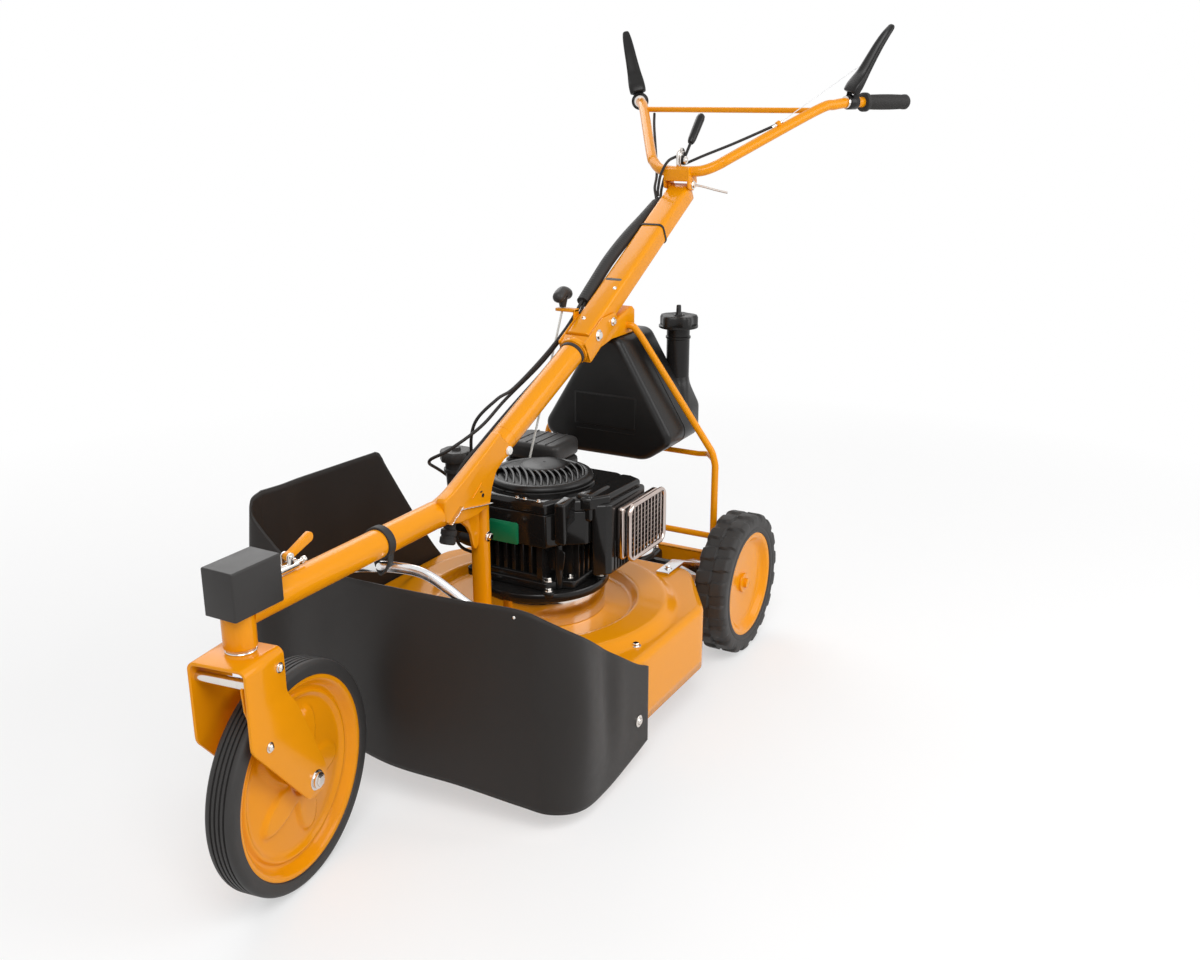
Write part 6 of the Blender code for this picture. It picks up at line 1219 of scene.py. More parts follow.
def apron_sheet():
    """Rubberised cloth apron, 3.6 mm thick, hung on the bow and round the deck."""
    grid = apron_grid()
    sheet = surface(grid, wrap_columns=False, caps=False)
    turn_out(sheet, (0.0, 100, 250))
    sheet_uv(sheet, grid)
    modifier = sheet.modifiers.new("thickness", "SOLIDIFY")
    modifier.thickness, modifier.offset = 0.0036, 0.0
    keep("apron_sheet", sheet, "frame", "apron_cloth", "apron", 60)
    washer = lathe(
        (298.8, 24.6, 91.2), (304, 24.6, 91.2),
        [(0, 10.5), (2.2, 10.5), (3, 9.4), (3, 6.2), (5.2, 5.6), (5.2, 0.4)], 28
    )
    studs = [
        rod((x, y - 0.5, z), (x + 0.6, y - 4, z), 2.6, 14, 1)
        for x, y, z in ((222.6, -229.2, 366), (246, -222, 357))
    ]
    keep("apron_fixings", (washer, *studs), "frame", "polished_steel")


def bow_tube():
    """Flattened galvanised tube that carries the apron's top edge."""
    points = [
        (268, -184, 315), (236, -206, 330), (200, -219, 344), (165, -229, 359), (138, -233, 371),
        (108, -236, 389), (78, -239, 404), (50, -243, 410.5), (13, -253, 412.5)
    ]
    points += [
        (-13, -256, 409), (-60, -241, 394), (-120, -236.5, 376), (-190, -224, 352), (-225, -218, 340)
    ]
    route = spline(points, 8)
    keep("bow_tube", swept(route, circle(8.8, 24) * (0.75, 1.0)), "frame", "zinc_plate", "apron_bow")


def crank_turned(profile, sides=96, ring=False):
    """A profile turned about the crank's axis."""
    return turned(profile, 2, CRANK, sides, ring=ring)


def grille_turned(profile, sides=96, ring=False):
    """A profile turned about the round grille's axis."""
    return turned(profile, 2, GRILLE, sides, ring=ring)


def engine_base_pieces():
    """Bright seat ring on the deck under the black mounting flange with its bolts."""
    ring = crank_turned(
        [(13, DECK_ROOF), (118, DECK_ROOF), (118.6, 197), (118.6, 239.5), (117.6, 244), (13, 244)], 96, True
    )
    keep("engine_seat_ring", ring, "frame", "polished_steel")
    flange = crank_turned(
        [
            (12.9, 243.2), (119, 243.2), (124, 245), (125.6, 247.5), (125.6, 259), (124, 261.2), (120, 262),
            (108, 262.2), (12.9, 262.2)
        ], 96, True
    )
    turns = np.radians([-52, 8, 68, 128, 188, 248])
    seats = CRANK + 116.5 * np.column_stack([np.cos(turns), np.sin(turns), 0 * turns])
    bosses = [rod(seat + (0, 0, 255), seat + (0, 0, 265), 11.5, 28, 1.5) for seat in seats]
    keep("engine_flange", (flange, *bosses), "frame", "black_paint", "engine_base")
    heads = [bolt(seat + (0, 0, 264.9), (0, 0, 1), 5.6, 4.5, 1.4) for seat in seats]
    keep("flange_bolts", heads, "frame", "polished_steel")


def crankcase_block():
    """Ribbed engine block: seven ribs in front, a plain bar beside them and a stepped left side."""
    front, pitch = 85, 17.5
    outline = []
    for rib in range(7):
        edge = -58 + rib * pitch
        outline += [
            (edge + pitch * share, front + depth)
            for share, depth in ((0.02, 1), (0.07, 0.0), (0.36, 0.0), (0.42, 1), (0.47, 12), (0.95, 12))
        ]
    outline += [(66, front + 1), (67, front - 4), (78, front - 4), (79, 100), (79, 118), (112, 126)]
    outline += [(118, 290), (-78, 290), (-78, 98), (-62, 90)]
    case = slab(np.array(outline), 262.3, 345, 2, 0.8, 2)
    foot = slab(
        rounded([(-84, 78), (86, 78), (100, 104), (124, 112), (124, 296), (-84, 296)], 10, 5), 262.4, 277,
        2, 2, 3
    )
    band = box((-60, 81.5, 276), (79, 90, 288), 1.5)
    stem = rod((98, 104, 264), (98, 104, 345), 7.5, 24, 1)
    flag = slab(
        rounded([(82, 296), (110, 300), (114, 334), (94, 342), (80, 330)], 5, 5), 98, 101.5, 1, 1, 2
    )
    ribs = [box((110.5, y, 266), (122.5, y + 5.5, 342), 1) for y in np.arange(132, 285, 16.5)]
    ears = [bolt((x, y, 276.8), (0, 0, 1), 6.2, 5, 1.5) for x, y in ((106, 128), (82, 94))]
    keep("crankcase_block", (case, foot, band, stem, flag, *ribs), "frame", "black_paint", "crankcase")
    keep("block_bolts", ears, "frame", "polished_steel")


def cowl_outline(shrink=0.0):
    """The cowl's plan with its rounded corners, moved inwards by the shrink."""
    corners = [
        (-115, 72), (89, 72), (102, 100), (143, 130), (145, 280), (115, 300), (-95, 300), (-115, 270)
    ]
    outline = rounded(corners, [14, 6, 6, 12, 18, 20, 18, 18], 6)
    return inset(outline, shrink) if shrink else outline


def cowl():
    """Gloss cowl in two mouldings with a gap between them, a collar for the grille and a green plate."""
    lower = slab(cowl_outline(), 345.3, 406, 2, 1.8, 4)
    upper = slab(cowl_outline(1.2), 407.2, 428, 2, 1.2, 6, 8.5)
    neck = slab(cowl_outline(4), 400, 412, 2, 0.5, 1)
    collar = grille_turned([(30, 424), (101.2, 424), (101.2, 433), (100, 434.3), (30, 434.3)], 96, True)
    # a scoop stands off the front left corner, two ducts run back from it to the cylinder head
    scoop_edge = rounded(
        [(79, 429), (112, 433), (146, 416), (142, 393), (96, 385), (88, 354), (80, 354)], 5, 5
    )
    scoop = slab(scoop_edge, 103.5, 124, 0, 4, 4)
    chamfer = slab(rounded([(89, 73.5), (92.5, 73.5), (108.5, 101), (105, 103)], 1, 2), 348, 404.5, 2, 1, 2)
    duct = box((118, 127, 386), (150, 203, 436), 7)
    low_duct = box((115, 144, 344), (149, 183, 383), 5)
    keep(
        "engine_cowl", (lower, upper, neck, collar, scoop, chamfer, duct, low_duct), "frame",
        "gloss_plastic", "blower_housing"
    )
    plate_outline = rounded([(-24, 344), (36, 344), (36, 384), (-24, 384)], 4, 5)
    frame_rim = slab(plate_outline, 70, 72.2, 1, 0.5, 2)
    panel = slab(inset(plate_outline, 3.5), 69.6, 71.5, 1, 0.3, 2)
    keep("engine_plate", (frame_rim, panel), "frame", "green_plate")
    heads = [bolt((x, 79.5, 427.5), (0, 0, 1), 3.4, 2.6, 1.3) for x in (30, 46, 74)]
    keep("cowl_screws", heads, "frame", "polished_steel")


def grille():
    """Round cover: a rolled rim, a dome behind a smooth field, and slats that run forward side by side."""
    rim = grille_turned(
        [
            (78, 434.6), (96, 434.6), (96.6, 435.6), (95.8, 439.2), (93, 442.5), (89, 444), (85, 444.2),
            (81.2, 443.2), (80, 440)
        ], 128, True
    )
    well = grille_turned([(0.4, 434.6), (81.5, 434.6), (81.5, 436.2), (0.4, 436.2)], 48)
    forward, across = np.array([0.63, -0.777, 0.0]), np.array([0.777, 0.63, 0.0])
    dome_centre = GRILLE - 40 * forward + 12 * across
    dome = turned(
        [(40, 438), (45, 444), (43, 445.8), (38, 447.4), (24, 449), (10, 449.7), (0.2, 449.9)], 2,
        dome_centre, 72
    )
    boss = turned([(2.6, 449.5), (2.6, 450.4), (0.2, 450.4)], 2, dome_centre, 20)
    turns = np.radians(np.linspace(115, 245, 26))
    arc = GRILLE + 81.5 * (np.cos(turns)[:, None] * forward + np.sin(turns)[:, None] * across)
    field = slab(arc[:, :2], 436.2, 443.2, 2, 1, 2)
    parts = [rim, well, dome, boss, field]
    for offset in np.linspace(-68, 72, 13):
        half = math.sqrt(81.5**2 - offset**2)
        start = max(-34.5, -half)
        inside = 44**2 - (offset - 12) ** 2
        if inside > 0:
            start = max(start, -40 + math.sqrt(inside))
        share = np.linspace(0, 1, 9)
        path = GRILLE + offset * across + (start + share * (half - start))[:, None] * forward
        path += (5 * np.sin(np.pi * share))[:, None] * across
        path[:, 2] = 440.8 + 3.5 * np.sin(np.pi * (0.30 + 0.70 * share))
        parts.append(swept(path, rounded(rectangle(4.6, 6.6), 1.4, 3)))
    keep("engine_grille", parts, "frame", "dark_plastic", "starter_grille", 45)


def shroud():
    """Moulded cover of the cylinder head: a stepped block with a sloping shoulder and cooling ribs."""
    body = slab(
        rounded([(145.3, 130), (170, 146), (176, 156), (176, 290), (145.3, 272)], 6, 5), 286, 418, 2, 3, 4,
        6
    )
    cap = slab(
        rounded([(128, 118), (150, 128), (170, 160), (174, 270), (150, 282), (128, 282)], 8, 6), 410, 432,
        2, 2, 5, 6
    )
    ribs = [box((144, y, 290), (177.5, y + 3.5, 345), 0.8) for y in np.arange(166, 288, 11.5)]
    keep("head_shroud", (body, cap, *ribs), "frame", "gloss_plastic", "cylinder_shroud")


def muffler_pieces():
    """Flat silencer behind a chromed guard: a rounded tube frame with louvres set in it."""
    silencer = box((176.3, 172, 309), (190.7, 312, 406), 5)
    keep("silencer_box", silencer, "frame", "warm_chrome", "muffler")
    low, high = np.array([172, 303]), np.array([318, 412])
    middle, size = (low + high) / 2, high - low
    loop = rounded(rectangle(size[0] - 9, size[1] - 9, middle), 16, 8)
    ring = circle(4.5, 14)
    tangent = unit_rows(np.roll(loop, -1, 0) - np.roll(loop, 1, 0))
    normal = np.stack([tangent[:, 1], -tangent[:, 0]], 1)
    centre = np.column_stack([np.full(len(loop), 200), loop])
    sideways = np.column_stack([np.zeros(len(loop)), normal])
    grid = stations(centre, ring, sideways[:, None], ACROSS)
    parts = [surface(grid, wrap_rows=True)]
    # painted shade: a black sheet between the silencer and the louvres darkens the inside of the guard
    back = slab(rounded(rectangle(size[0] - 12, size[1] - 12, middle), 14, 6), 191, 192.8, 0, 0.4, 2)
    keep("guard_back", back, "frame", "black_paint")
    pitch = (size[1] - 30) / 9
    for index in range(9):
        z = middle[1] + (index - 4) * pitch
        slope = rounded(
            [
                (193.5, z - pitch * 0.35), (201.5, z + pitch * 0.02), (201.5, z + pitch * 0.12),
                (193.5, z - pitch * 0.22)
            ], 0.4, 2
        )
        parts.append(slab(
            slope[:, [0, 1]], middle[0] - size[0] / 2 + 12, middle[0] + size[0] / 2 - 12, 1, 0.4, 1
        ))
    for y in middle[0] + np.linspace(-52, 52, 9):
        parts.append(box((199, y - 1.2, low[1] + 8), (202.5, y + 1.2, high[1] - 8), 0.6))
    keep("silencer_guard", parts, "frame", "warm_chrome", "muffler_guard")


def filter_and_filler():
    """Air filter box with a lid, and the oil filler with its lobed cap."""
    lower = box((-145, 300.3, 352), (-25, 395.3, 418), 8, 14)
    lid = box((-146, 299.5, 419), (-24, 396, 455), 10, 16)
    rib = [box((x, 306, 454), (x + 3, 390, 456.2), 0.6) for x in (-118, -96, -74, -52)]
    keep("air_filter_box", (lower, lid, *rib), "frame", "matte_plastic", "air_filter")
    x, y = -148, 150
    neck = turned(
        [
            (0.4, 295.2), (16.8, 295.2), (16.8, 355), (18, 380), (20.5, 428), (21.2, 432), (21.2, 451.5),
            (16, 451.8), (16, 430), (0.4, 430)
        ], 2, (x, y, 0), 48
    )
    collar = turned([(20.5, 430), (24, 431), (24, 437), (20.5, 438)], 2, (x, y, 0), 48, ring=True)
    elbow = tube(spline([(x, y, 310), (x + 22, y, 302), (-78.5, y, 300)], 8), 15, 28)
    keep("oil_filler_pipe", (neck, collar, elbow), "frame", "matte_plastic", "oil_filler")
    cap = lathe(
        (x, y, 438.5), (x, y, 478),
        [
            (0, 0.4), (0, 15.5), (13.8, 15.5), (13.8, 30), (15, 31), (29, 31), (33, 29), (34.5, 24),
            (33.5, 20), (33.5, 9), (38.5, 8), (39.5, 0.4)
        ], 96, 8, 0.06
    )
    keep("oil_cap_knob", cap, "oil_plug", "matte_plastic", "oil_cap", 40)


def tank_plan():
    """The tank's three-sided front view, with cut lower corners."""
    half, flat, top, low, shoulder = 150, 28, 645, 402, 446
    corners = [
        (-flat, top), (flat, top), (half, shoulder), (half * 0.58, low), (-half * 0.58, low),
        (-half, shoulder)
    ]
    return rounded(corners, [26, 26, 26, 50, 50, 26], 9)


def tank_pieces():
    """Moulded fuel tank with a bare raised panel, its filler neck, the star cap and the fuel hose."""
    body = slab(tank_plan(), 452, 602, 1, 14, 8)
    seam = slab(inset(tank_plan(), -0.8), 526, 529, 1, 0.6, 2)
    panel = rounded([(-70, 462), (70, 462), (70, 530), (-70, 530)], 4, 4)
    raised = slab(panel, 451.4, 453, 1, 0.6, 2)
    face = slab(inset(panel, 3), 450.9, 452, 1, 0.4, 1)
    line = slab(
        rounded([(-66, 453.5), (66, 453.5), (66, 454.8), (-66, 454.8)], 0.5, 2), 451.2, 453, 1, 0.3, 1
    )
    x, y = 82, 612
    foot = rounded(rectangle(80, 90, (x + 6, y - 18)), 24, 9)
    ring = circle(1.0, len(foot), math.radians(-157.5)) + 0
    levels = [(432, 0.97), (437, 1.0), (470, 1.0), (487, 0.99)]
    rings = [np.column_stack([(foot - (x, y)) * s + (x, y), np.full(len(foot), z)]) for z, s in levels]
    for share, z in ((0.25, 500), (0.62, 517), (0.90, 532), (1.0, 545)):
        blend_ring = foot * (1 - share) + (ring * 23.5 + (x, y)) * share
        rings.append(np.column_stack([blend_ring, np.full(len(foot), z)]))
    neck = [
        (23.5, 538), (23.5, 622), (25.5, 623.5), (25.5, 627), (23.5, 628.5), (23.5, 644.8), (18.8, 645),
        (18.8, 628)
    ]
    parts = [body, seam, raised, face, line, loft(rings, 3), turned(neck, 2, (x, y, 0), 56)]
    keep("fuel_tank_shell", parts, "frame", "dark_plastic", "fuel_tank", 40)
    knob = lathe(
        (x, y, 645.3), (x, y, 671.3),
        [
            (0, 0.4), (0, 38.5), (1.5, 40), (20, 40), (24.5, 37.5), (25.8, 33), (25, 27), (24, 13),
            (26.2, 11), (26.2, 0.4)
        ], 128, 5, 0.16
    )
    skirt = turned([(18.8, 631.5), (18.3, 631), (18.3, 646), (18.8, 646)], 2, (x, y, 0), 48, ring=True)
    rim = lathe(
        (x, y, 645.3), (x, y, 651), [(0, 30), (0, 39.2), (0.8, 40), (4.5, 40), (5.6, 38.5), (5.6, 30)], 72
    )
    stud = lathe(
        (x, y, 670), (x, y, 691), [(0, 7.5), (3, 6.8), (6, 5.2), (19, 4.8), (20.5, 3.8), (21, 0.4)], 24
    )
    keep("tank_cap_star", (knob, skirt, rim, stud), "fuel_cap", "dark_plastic", "tank_cap", 40)
    hose = tube(
        spline([(-85, 470, 430), (-88, 440, 424), (-90, 415, 436), (-86, 396, 442), (-84, 380, 440)], 8),
        4.2, 16
    )
    keep("fuel_hose", hose, "frame", "soft_rubber")


def rod_frame_pieces():
    """Bent rods round the tank: straight runs joined by round bends, tied by two cross rods."""
    foot, start, x, y = 160.8, 24.3, 198, REAR_HUB[0]
    corners = [
        (start - 4, 500, 662), (start + 12, 500, 662), (start + 24, 511, 640), (x - 6, 550, 411),
        (x, y, 385), (x, y, foot)
    ]
    route = rounded(corners, [0, 10, 12, 50, 50, 0], 8, closed=False)
    parts = []
    for side in (1, -1):
        parts.append(tube(route * (side, 1, 1), 7, 20, (0, 1, 0)))
        parts.append(rod((side * x, y, foot - 2), (side * x, y, foot + 12), 8.8, 24, 1))
    parts.append(rod((-x, y, 232), (x, y, 232), 6.3, 20))
    high = np.array([
        (x, y, 392), (x - 35, 596.5, 392), (x - 60, 600.5, 388), (60 - x, 600.5, 388), (35 - x, 596.5, 392),
        (-x, y, 392)
    ])
    parts.append(tube(rounded(high, [0, 20, 20, 20, 20, 0], 8, closed=False), 5.6, 18))
    keep("rod_frame_tubes", parts, "frame", "orange_paint", "rod_frame")


def drive_pieces():
    """Gearbox with its axle tube, strap brackets, rear guard, belt and the gearbox's pulley."""
    case = box((-25, 491, 100), (65, 600, 166.5), 8, 14)
    lid = box((-19, 497, 165.5), (59, 594, 169), 1.2, 10)
    axle = rod((-206, *REAR_HUB), (206, *REAR_HUB), 16.5, 40, 1)
    ribs = [box((x, 489.5, 106), (x + 4, 601.5, 160), 1) for x in (-12, 8, 28, 48)]
    keep("gearbox_case", (case, lid, axle, *ribs), "frame", "black_paint", "gearbox")
    heads = [bolt((px, py, 168.8), (0, 0, 1), 4, 3, 1.2) for px in (-12, 52) for py in (504, 587)]
    keep("gearbox_screws", heads, "frame", "polished_steel")
    for name, side in (("left", 1), ("right", -1)):
        (y, z), seat, back = REAR_HUB, DECK_ROOF, 395
        outline = rounded(
            [
                (back, seat), (455, seat), (y - 26, z + 10), (y - 24, z - 18), (y + 24, z - 18),
                (y + 24, z + 22), (y - 6, z + 28), (467, seat + 5), (back, seat + 5)
            ], [0, 10, 10, 4, 4, 6, 12, 12, 1], 5
        )
        strap = slab(outline, side * 160 - 14, side * 160 + 14, 0, 1, 3)
        head = bolt((side * 160, 420, seat + 4.9), (0, 0, 1), 5.5, 4.5)
        keep("axle_strap_" + name, (strap, head), "frame", "zinc_plate", "axle_bracket_" + name)
    guard = slab(
        rounded([(-190, 95), (190, 95), (190, 172), (-190, 172)], [12, 12, 2, 2], 6), 600.3, 603.3, 1, 0.6,
        2
    )
    lip = box((-190, 600.3, 169), (190, 616.3, 172), 0.8)
    keep("rear_guard_sheet", (guard, lip), "frame", "orange_paint", "rear_guard")
    belt_low, belt_high, gap = 172, 182, 0.6
    inner, outer = belt_loop(gap), belt_loop(gap + 8)
    middle = (inner + outer) / 2
    rows = [
        (inner * 0.85 + outer * 0.15, belt_low), (middle * 0.4 + outer * 0.6, belt_low),
        (outer, belt_low + 1.2), (outer, belt_high - 1.2), (middle * 0.4 + outer * 0.6, belt_high),
        (inner * 0.85 + outer * 0.15, belt_high), (inner, 179), (inner, 175)
    ]
    belt = surface(np.array([np.insert(loop, 2, level, axis=1) for loop, level in rows]), wrap_rows=True)
    keep("drive_belt_loop", belt, "frame", "soft_rubber", "drive_belt")
    shaft = [
        (7, 137), (7, 169), (50, 169), (54, 169.5), (54, 171.2), (48, 172.2), (48, 181.8), (54, 182.8),
        (54, 184.6), (50, 185), (14, 185), (12, 191), (7, 191.3)
    ]
    keep(
        "gearbox_pulley_wheel", turned(shaft, 2, PULLEY, 64), "gearbox_pulley", "zinc_plate", "drive_pulley"
    )


def belt_loop(offset):
    """The loop round both pulleys: two arcs joined by their outer tangents."""
    front, rear = 32 + offset, 48 + offset
    lean = math.asin((rear - front) / (PULLEY - CRANK)[1])
    one = math.pi + lean + (math.pi - 2 * lean) * np.linspace(0, 1, 25)
    two = -lean + (math.pi + 2 * lean) * np.linspace(0, 1, 31)
    arc = [
        np.stack([centre[0] + r * np.cos(a), centre[1] + r * np.sin(a)], 1)
        for centre, r, a in ((CRANK, front, one), (PULLEY, rear, two))
    ]
    return np.vstack(arc)


def crank_pieces():
    """Crankshaft with its pulley and finned flywheel, and the cutter bar with lifted ends."""
    profile = [
        (0.4, 95.7), (12.5, 95.7), (14, 96.5), (14, 104.7), (6, 104.7), (6, 109.3), (24, 109.3), (24, 116),
        (23, 117.3), (16.5, 123.3), (16.5, 169), (38, 169), (38, 171.5), (32, 172.2), (32, 181.8),
        (38, 182.5), (38, 185), (12.5, 185), (12.5, 362), (54.6, 362), (54.6, 374), (20, 376), (20, 412),
        (10, 412), (10, 419), (9, 420), (0.4, 420)
    ]
    parts = [crank_turned(profile, 64)]
    for index in range(16):
        angle = index * np.pi / 8
        blade_path = [
            CRANK + (r * math.cos(angle + bend), r * math.sin(angle + bend), 386)
            for r, bend in ((40, 0.0), (52, 0.06), (64, 0.15), (77.5, 0.27))
        ]
        parts.append(swept(spline(blade_path, 3), rectangle(2.2, 40)))
    keep("crankshaft_flywheel", parts, "crank", "cast_alloy", "crankshaft")
    bar = slab(rounded(rectangle(512, 55, CRANK[:2]), 6, 5), 105, 109, 2, 0.6, 2)
    wings = []
    for side in (-1, 1):
        edge = -side * 26.5
        rings = []
        for run, lift in ((167, 0.0), (180, 4), (200, 10), (251.5, 12)):
            wing = [
                (edge + side * 10, 106), (edge + side * 9.8, 108.8), (edge + side * 2.8, 108.8 + lift),
                (edge, 109 + lift), (edge, 106.2)
            ]
            rings.append([CRANK + (side * run, a, b) for a, b in wing])
        wings.append(surface(np.array(rings)))
    keep("cutter_bar", (bar, *wings), "crank", "polished_steel", "blade")


def rear_wheel(name, side):
    """Dished rim turned about the axle, and a tyre with two staggered rows of square lugs."""
    centre = (0, *REAR_HUB)
    seat, inner = 105.5, 222
    face = [
        (0.4, 279), (8.5, 279), (10, 278), (10, 272.5), (19, 271.5), (20, 270), (20, 266.5), (30, 266),
        (50, 267.2), (70, 269), (80, 269), (85, 270), (90, 273.5), (95, 280), (98, 282.2), (103, 283),
        (106.2, 282.6), (106.4, 281.2), (104, 279), (103.3, 274)
    ]
    back = [
        (103.3, inner + 8), (104, inner + 3), (106, inner + 1.2), (105, inner), (100, inner),
        (98.5, inner + 2), (98, 260), (94, 264), (80, 265.5), (20, 263.5), (20, 210), (9, 210), (9, 161.5),
        (8, 160.5), (0.4, 160.5)
    ]
    profile = [(r, side * x) for r, x in face + back]
    keep(
        "rear_rim_dished_" + name, turned(profile, 0, centre, 112), "rear_wheel_" + name, "orange_paint",
        "rear_rim_" + name, 45
    )
    crown, low, high = 144, 218, 286
    middle = (low + high) / 2
    half = [
        (seat, high - 4), (seat + 1.5, high - 1.2), (seat + 4, high), (seat + 10, high),
        (seat + 12, high - 0.8), (seat + 13.5, high), (crown - 18, high)
    ]
    half = np.vstack([half, ring_arc((crown - 15, high - 10), 10, 90, 0, 5)])
    flat = np.stack([np.full(8, crown - 5), np.linspace(high - 14, middle + 0.5, 8)], 1)
    section = np.vstack([half, flat])
    section = np.vstack([section, (section[::-1] * (1, -1)) + (0, 2 * middle)])
    lugs, sides = 18, 18 * 14
    angle = np.arange(sides) * 2 * np.pi / sides
    radius, along = section[:, :1], section[:, 1:]
    place = (along - middle) / (high - middle)
    phase = (angle[None] * lugs / (2 * np.pi) + 0.5 * (place < 0) + 0.10 * place) % 1.0
    lug = smooth_step((phase - 0.04) / 0.07) * smooth_step((0.66 - phase) / 0.07)
    reach = smooth_step((radius - (crown - 16)) / 4) * smooth_step((abs(place) - 0.02) / 0.08)
    proud = 5 * lug * reach
    side_step = 0.8 * lug * smooth_step((radius - (crown - 20)) / 6) * (radius < crown - 5.2)
    grid = np.stack(
        [
            side * (along + np.sign(place) * (side_step - 0.8)),
            REAR_HUB[0] + (radius + proud) * np.cos(angle), REAR_HUB[1] + (radius + proud) * np.sin(angle)
        ], 2
    )
    keep(
        "rear_tyre_lugged_" + name, surface(grid, wrap_rows=True), "rear_wheel_" + name, "tyre_rubber",
        "rear_tyre_" + name, 32
    )


def starter_pieces():
    """Pull handle and its rope."""
    x, y, z = -60, 392, 712
    foot, top = np.array([-67, 272, 429]), np.array([x, y, z - 6])
    share = np.linspace(0, 1, 160)[:, None]
    radius = 2.1 + 0.18 * np.cos(share[:, 0] * 2 * np.pi * 60)
    rope = tube(foot + (top - foot) * share, radius, 12)
    keep("starter_rope_line", rope, None, "rope_fibre", "starter_rope", 60)
    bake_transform(rope)
    boss = lathe(
        (x, y, z - 4.5), (x, y, z + 16), [(0, 3.6), (0, 6.2), (8, 7.8), (18, 10), (20.5, 11.2)], 36
    )
    turn = math.radians(9)
    reach = np.array([-math.sin(turn), math.cos(turn), 0.0])
    height = z - 4.5 + 20 + 8
    share = np.linspace(-1, 1, 25)
    path = np.array([x, y, height]) + share[:, None] * 31 * reach - (
        10 * np.abs(share) ** 1.6
    )[:, None] * (0, 0, 1)
    width = 11.5 * np.sqrt(np.clip(1 - (np.abs(share) / 1.02) ** 8, 0.02, 1))
    bar = tube(path, width, 28)
    keep("starter_pull", (boss, bar), "pull_handle", "matte_plastic", "starter_handle")


def small_fittings():
    """Two metal strips and a plug on the knee, and the round knob under it."""
    side = 24.3
    long_strip = [(side, -84, 454.5), (side + 0.4, -54.5, 449.7), (side, -25.8, 444), (side, 9, 438.5)]
    short_strip = [(side, -113, 438.5), (side + 0.6, -96, 449.5), (side, -80, 459)]
    parts = []
    for points, width, crumple in ((long_strip, 6.2, 0.10), (short_strip, 12.5, 0.22)):
        strip_path = spline(points, 10)
        run = np.linspace(0, 1, len(strip_path))
        section = rounded(rectangle(1.6, width), 0.6, 3)
        scale = 1 + crumple * np.sin(run * 31) * np.cos(run * 17)
        parts.append(swept(strip_path, section, (1, 0, 0), scale))
    keep("knee_strip", parts, "frame", "polished_steel")
    plug = lathe((20, 66, 516), (28.5, 66, 516), [(0, 7.8), (6, 7.8), (7.8, 6.4), (8.5, 0.4)], 28)
    keep("knee_plug", plug, "frame", "white_plastic")
    knob = lathe(
        (0.0, -76, 430), (0.0, -88, 392),
        [
            (0, 10), (14, 10), (16, 13.5), (24, 13.5), (25, 12), (28, 12), (29, 13.5), (38, 13.5),
            (40, 11.5), (40, 0.4)
        ], 40
    )
    keep("frame_knob", knob, "frame", "soft_rubber")


def seen_share(tree):
    """One for what the camera sees by itself or in a mirror, else zero."""
    path = node(tree, "LightPath").outputs
    return sums(tree, "MAXIMUM", path["Is Camera Ray"], path["Is Glossy Ray"])


def stage():
    """A pale floor that sweeps up behind the machine, three soft lamps and the world."""
    look = bpy.context.scene.cutter_stage
    along = np.concatenate([
        np.linspace(-9, 5, 8), 5 + 3 * np.sin(np.linspace(0.2, np.pi / 2, 9)), np.full(4, 8.0)
    ])
    height = np.concatenate([
        np.zeros(8), 3 - 3 * np.cos(np.linspace(0.2, np.pi / 2, 9)), np.linspace(3.6, 9, 4)
    ])
    turn = look.camera_turn
    ahead, right = np.array([-math.sin(turn), math.cos(turn)]), np.array([math.cos(turn), math.sin(turn)])
    across = np.linspace(-12, 12, 7)
    flat = along[:, None, None] * ahead + across[None, :, None] * right
    grid = np.concatenate([flat, np.broadcast_to(height[:, None, None], flat.shape[:2] + (1,))], 2)
    floor = surface((grid - SHIFT) * MILLIMETRES, wrap_columns=False, caps=False)
    floor.name = "floor"
    floor.data.shade_smooth()
    material = bpy.data.materials.new("pale_floor")
    material.use_nodes = True
    tree = material.node_tree
    shader = tree.nodes["Principled BSDF"]
    for label, value in (
        ("Base Color", (*look.floor_colour, 1.0)), ("Roughness", 0.9), ("Specular IOR Level", 0.2)
    ):
        shader.inputs[label].default_value = value
    reach = node(
        tree, "VectorMath", node(tree, "TexCoord").outputs["Object"], operation="LENGTH"
    ).outputs["Value"]
    glow = node(
        tree, "MapRange", Value=reach, From_Min=1.0, From_Max=2.4, To_Min=look.floor_glow, To_Max=1.0
    )
    share = sums(tree, "MULTIPLY", seen_share(tree), glow.outputs[0])
    mix = node(tree, "MixShader", share, shader.outputs[0], node(tree, "Emission").outputs[0])
    tree.links.new(mix.outputs[0], tree.nodes["Material Output"].inputs[0])
    floor.data.materials.append(material)

    world = bpy.data.worlds.new("soft_studio")
    world.use_nodes = True
    bpy.context.scene.world = world
    tree = world.node_tree
    base = tree.nodes["Background"]
    base.inputs["Color"].default_value = (1, 1, 1, 1)
    level = node(tree, "MapRange", Value=seen_share(tree), To_Min=look.world_level, To_Max=1.0)
    tree.links.new(level.outputs[0], base.inputs["Strength"])
    for name, place, size, power in (
        ("key", (1.6, -2.2, 3.2), 2.2, look.lamp_power),
        ("fill", (2.8, 0.8, 1.8), 2.0, look.lamp_power * 0.45),
        ("back", (-2.2, 1.6, 2.8), 2.4, look.lamp_power * 0.6),
    ):
        data = bpy.data.lights.new(name, "AREA")
        data.energy, data.size = power, size
        aim(linked(data), place, (0, 0, 0.5))


def aim(item, place, target):
    """Puts an object at a place with its -Z axis towards a target and its Y axis up."""
    place, target = np.array(place, float), np.array(target, float)
    back = unit_vector(place - target)
    right = unit_vector(np.cross((0, 0, 1), back))
    up = np.cross(back, right)
    matrix = np.eye(4)
    matrix[:3, 0], matrix[:3, 1], matrix[:3, 2], matrix[:3, 3] = right, up, back, place
    item.matrix_world = matrix.T.tolist()


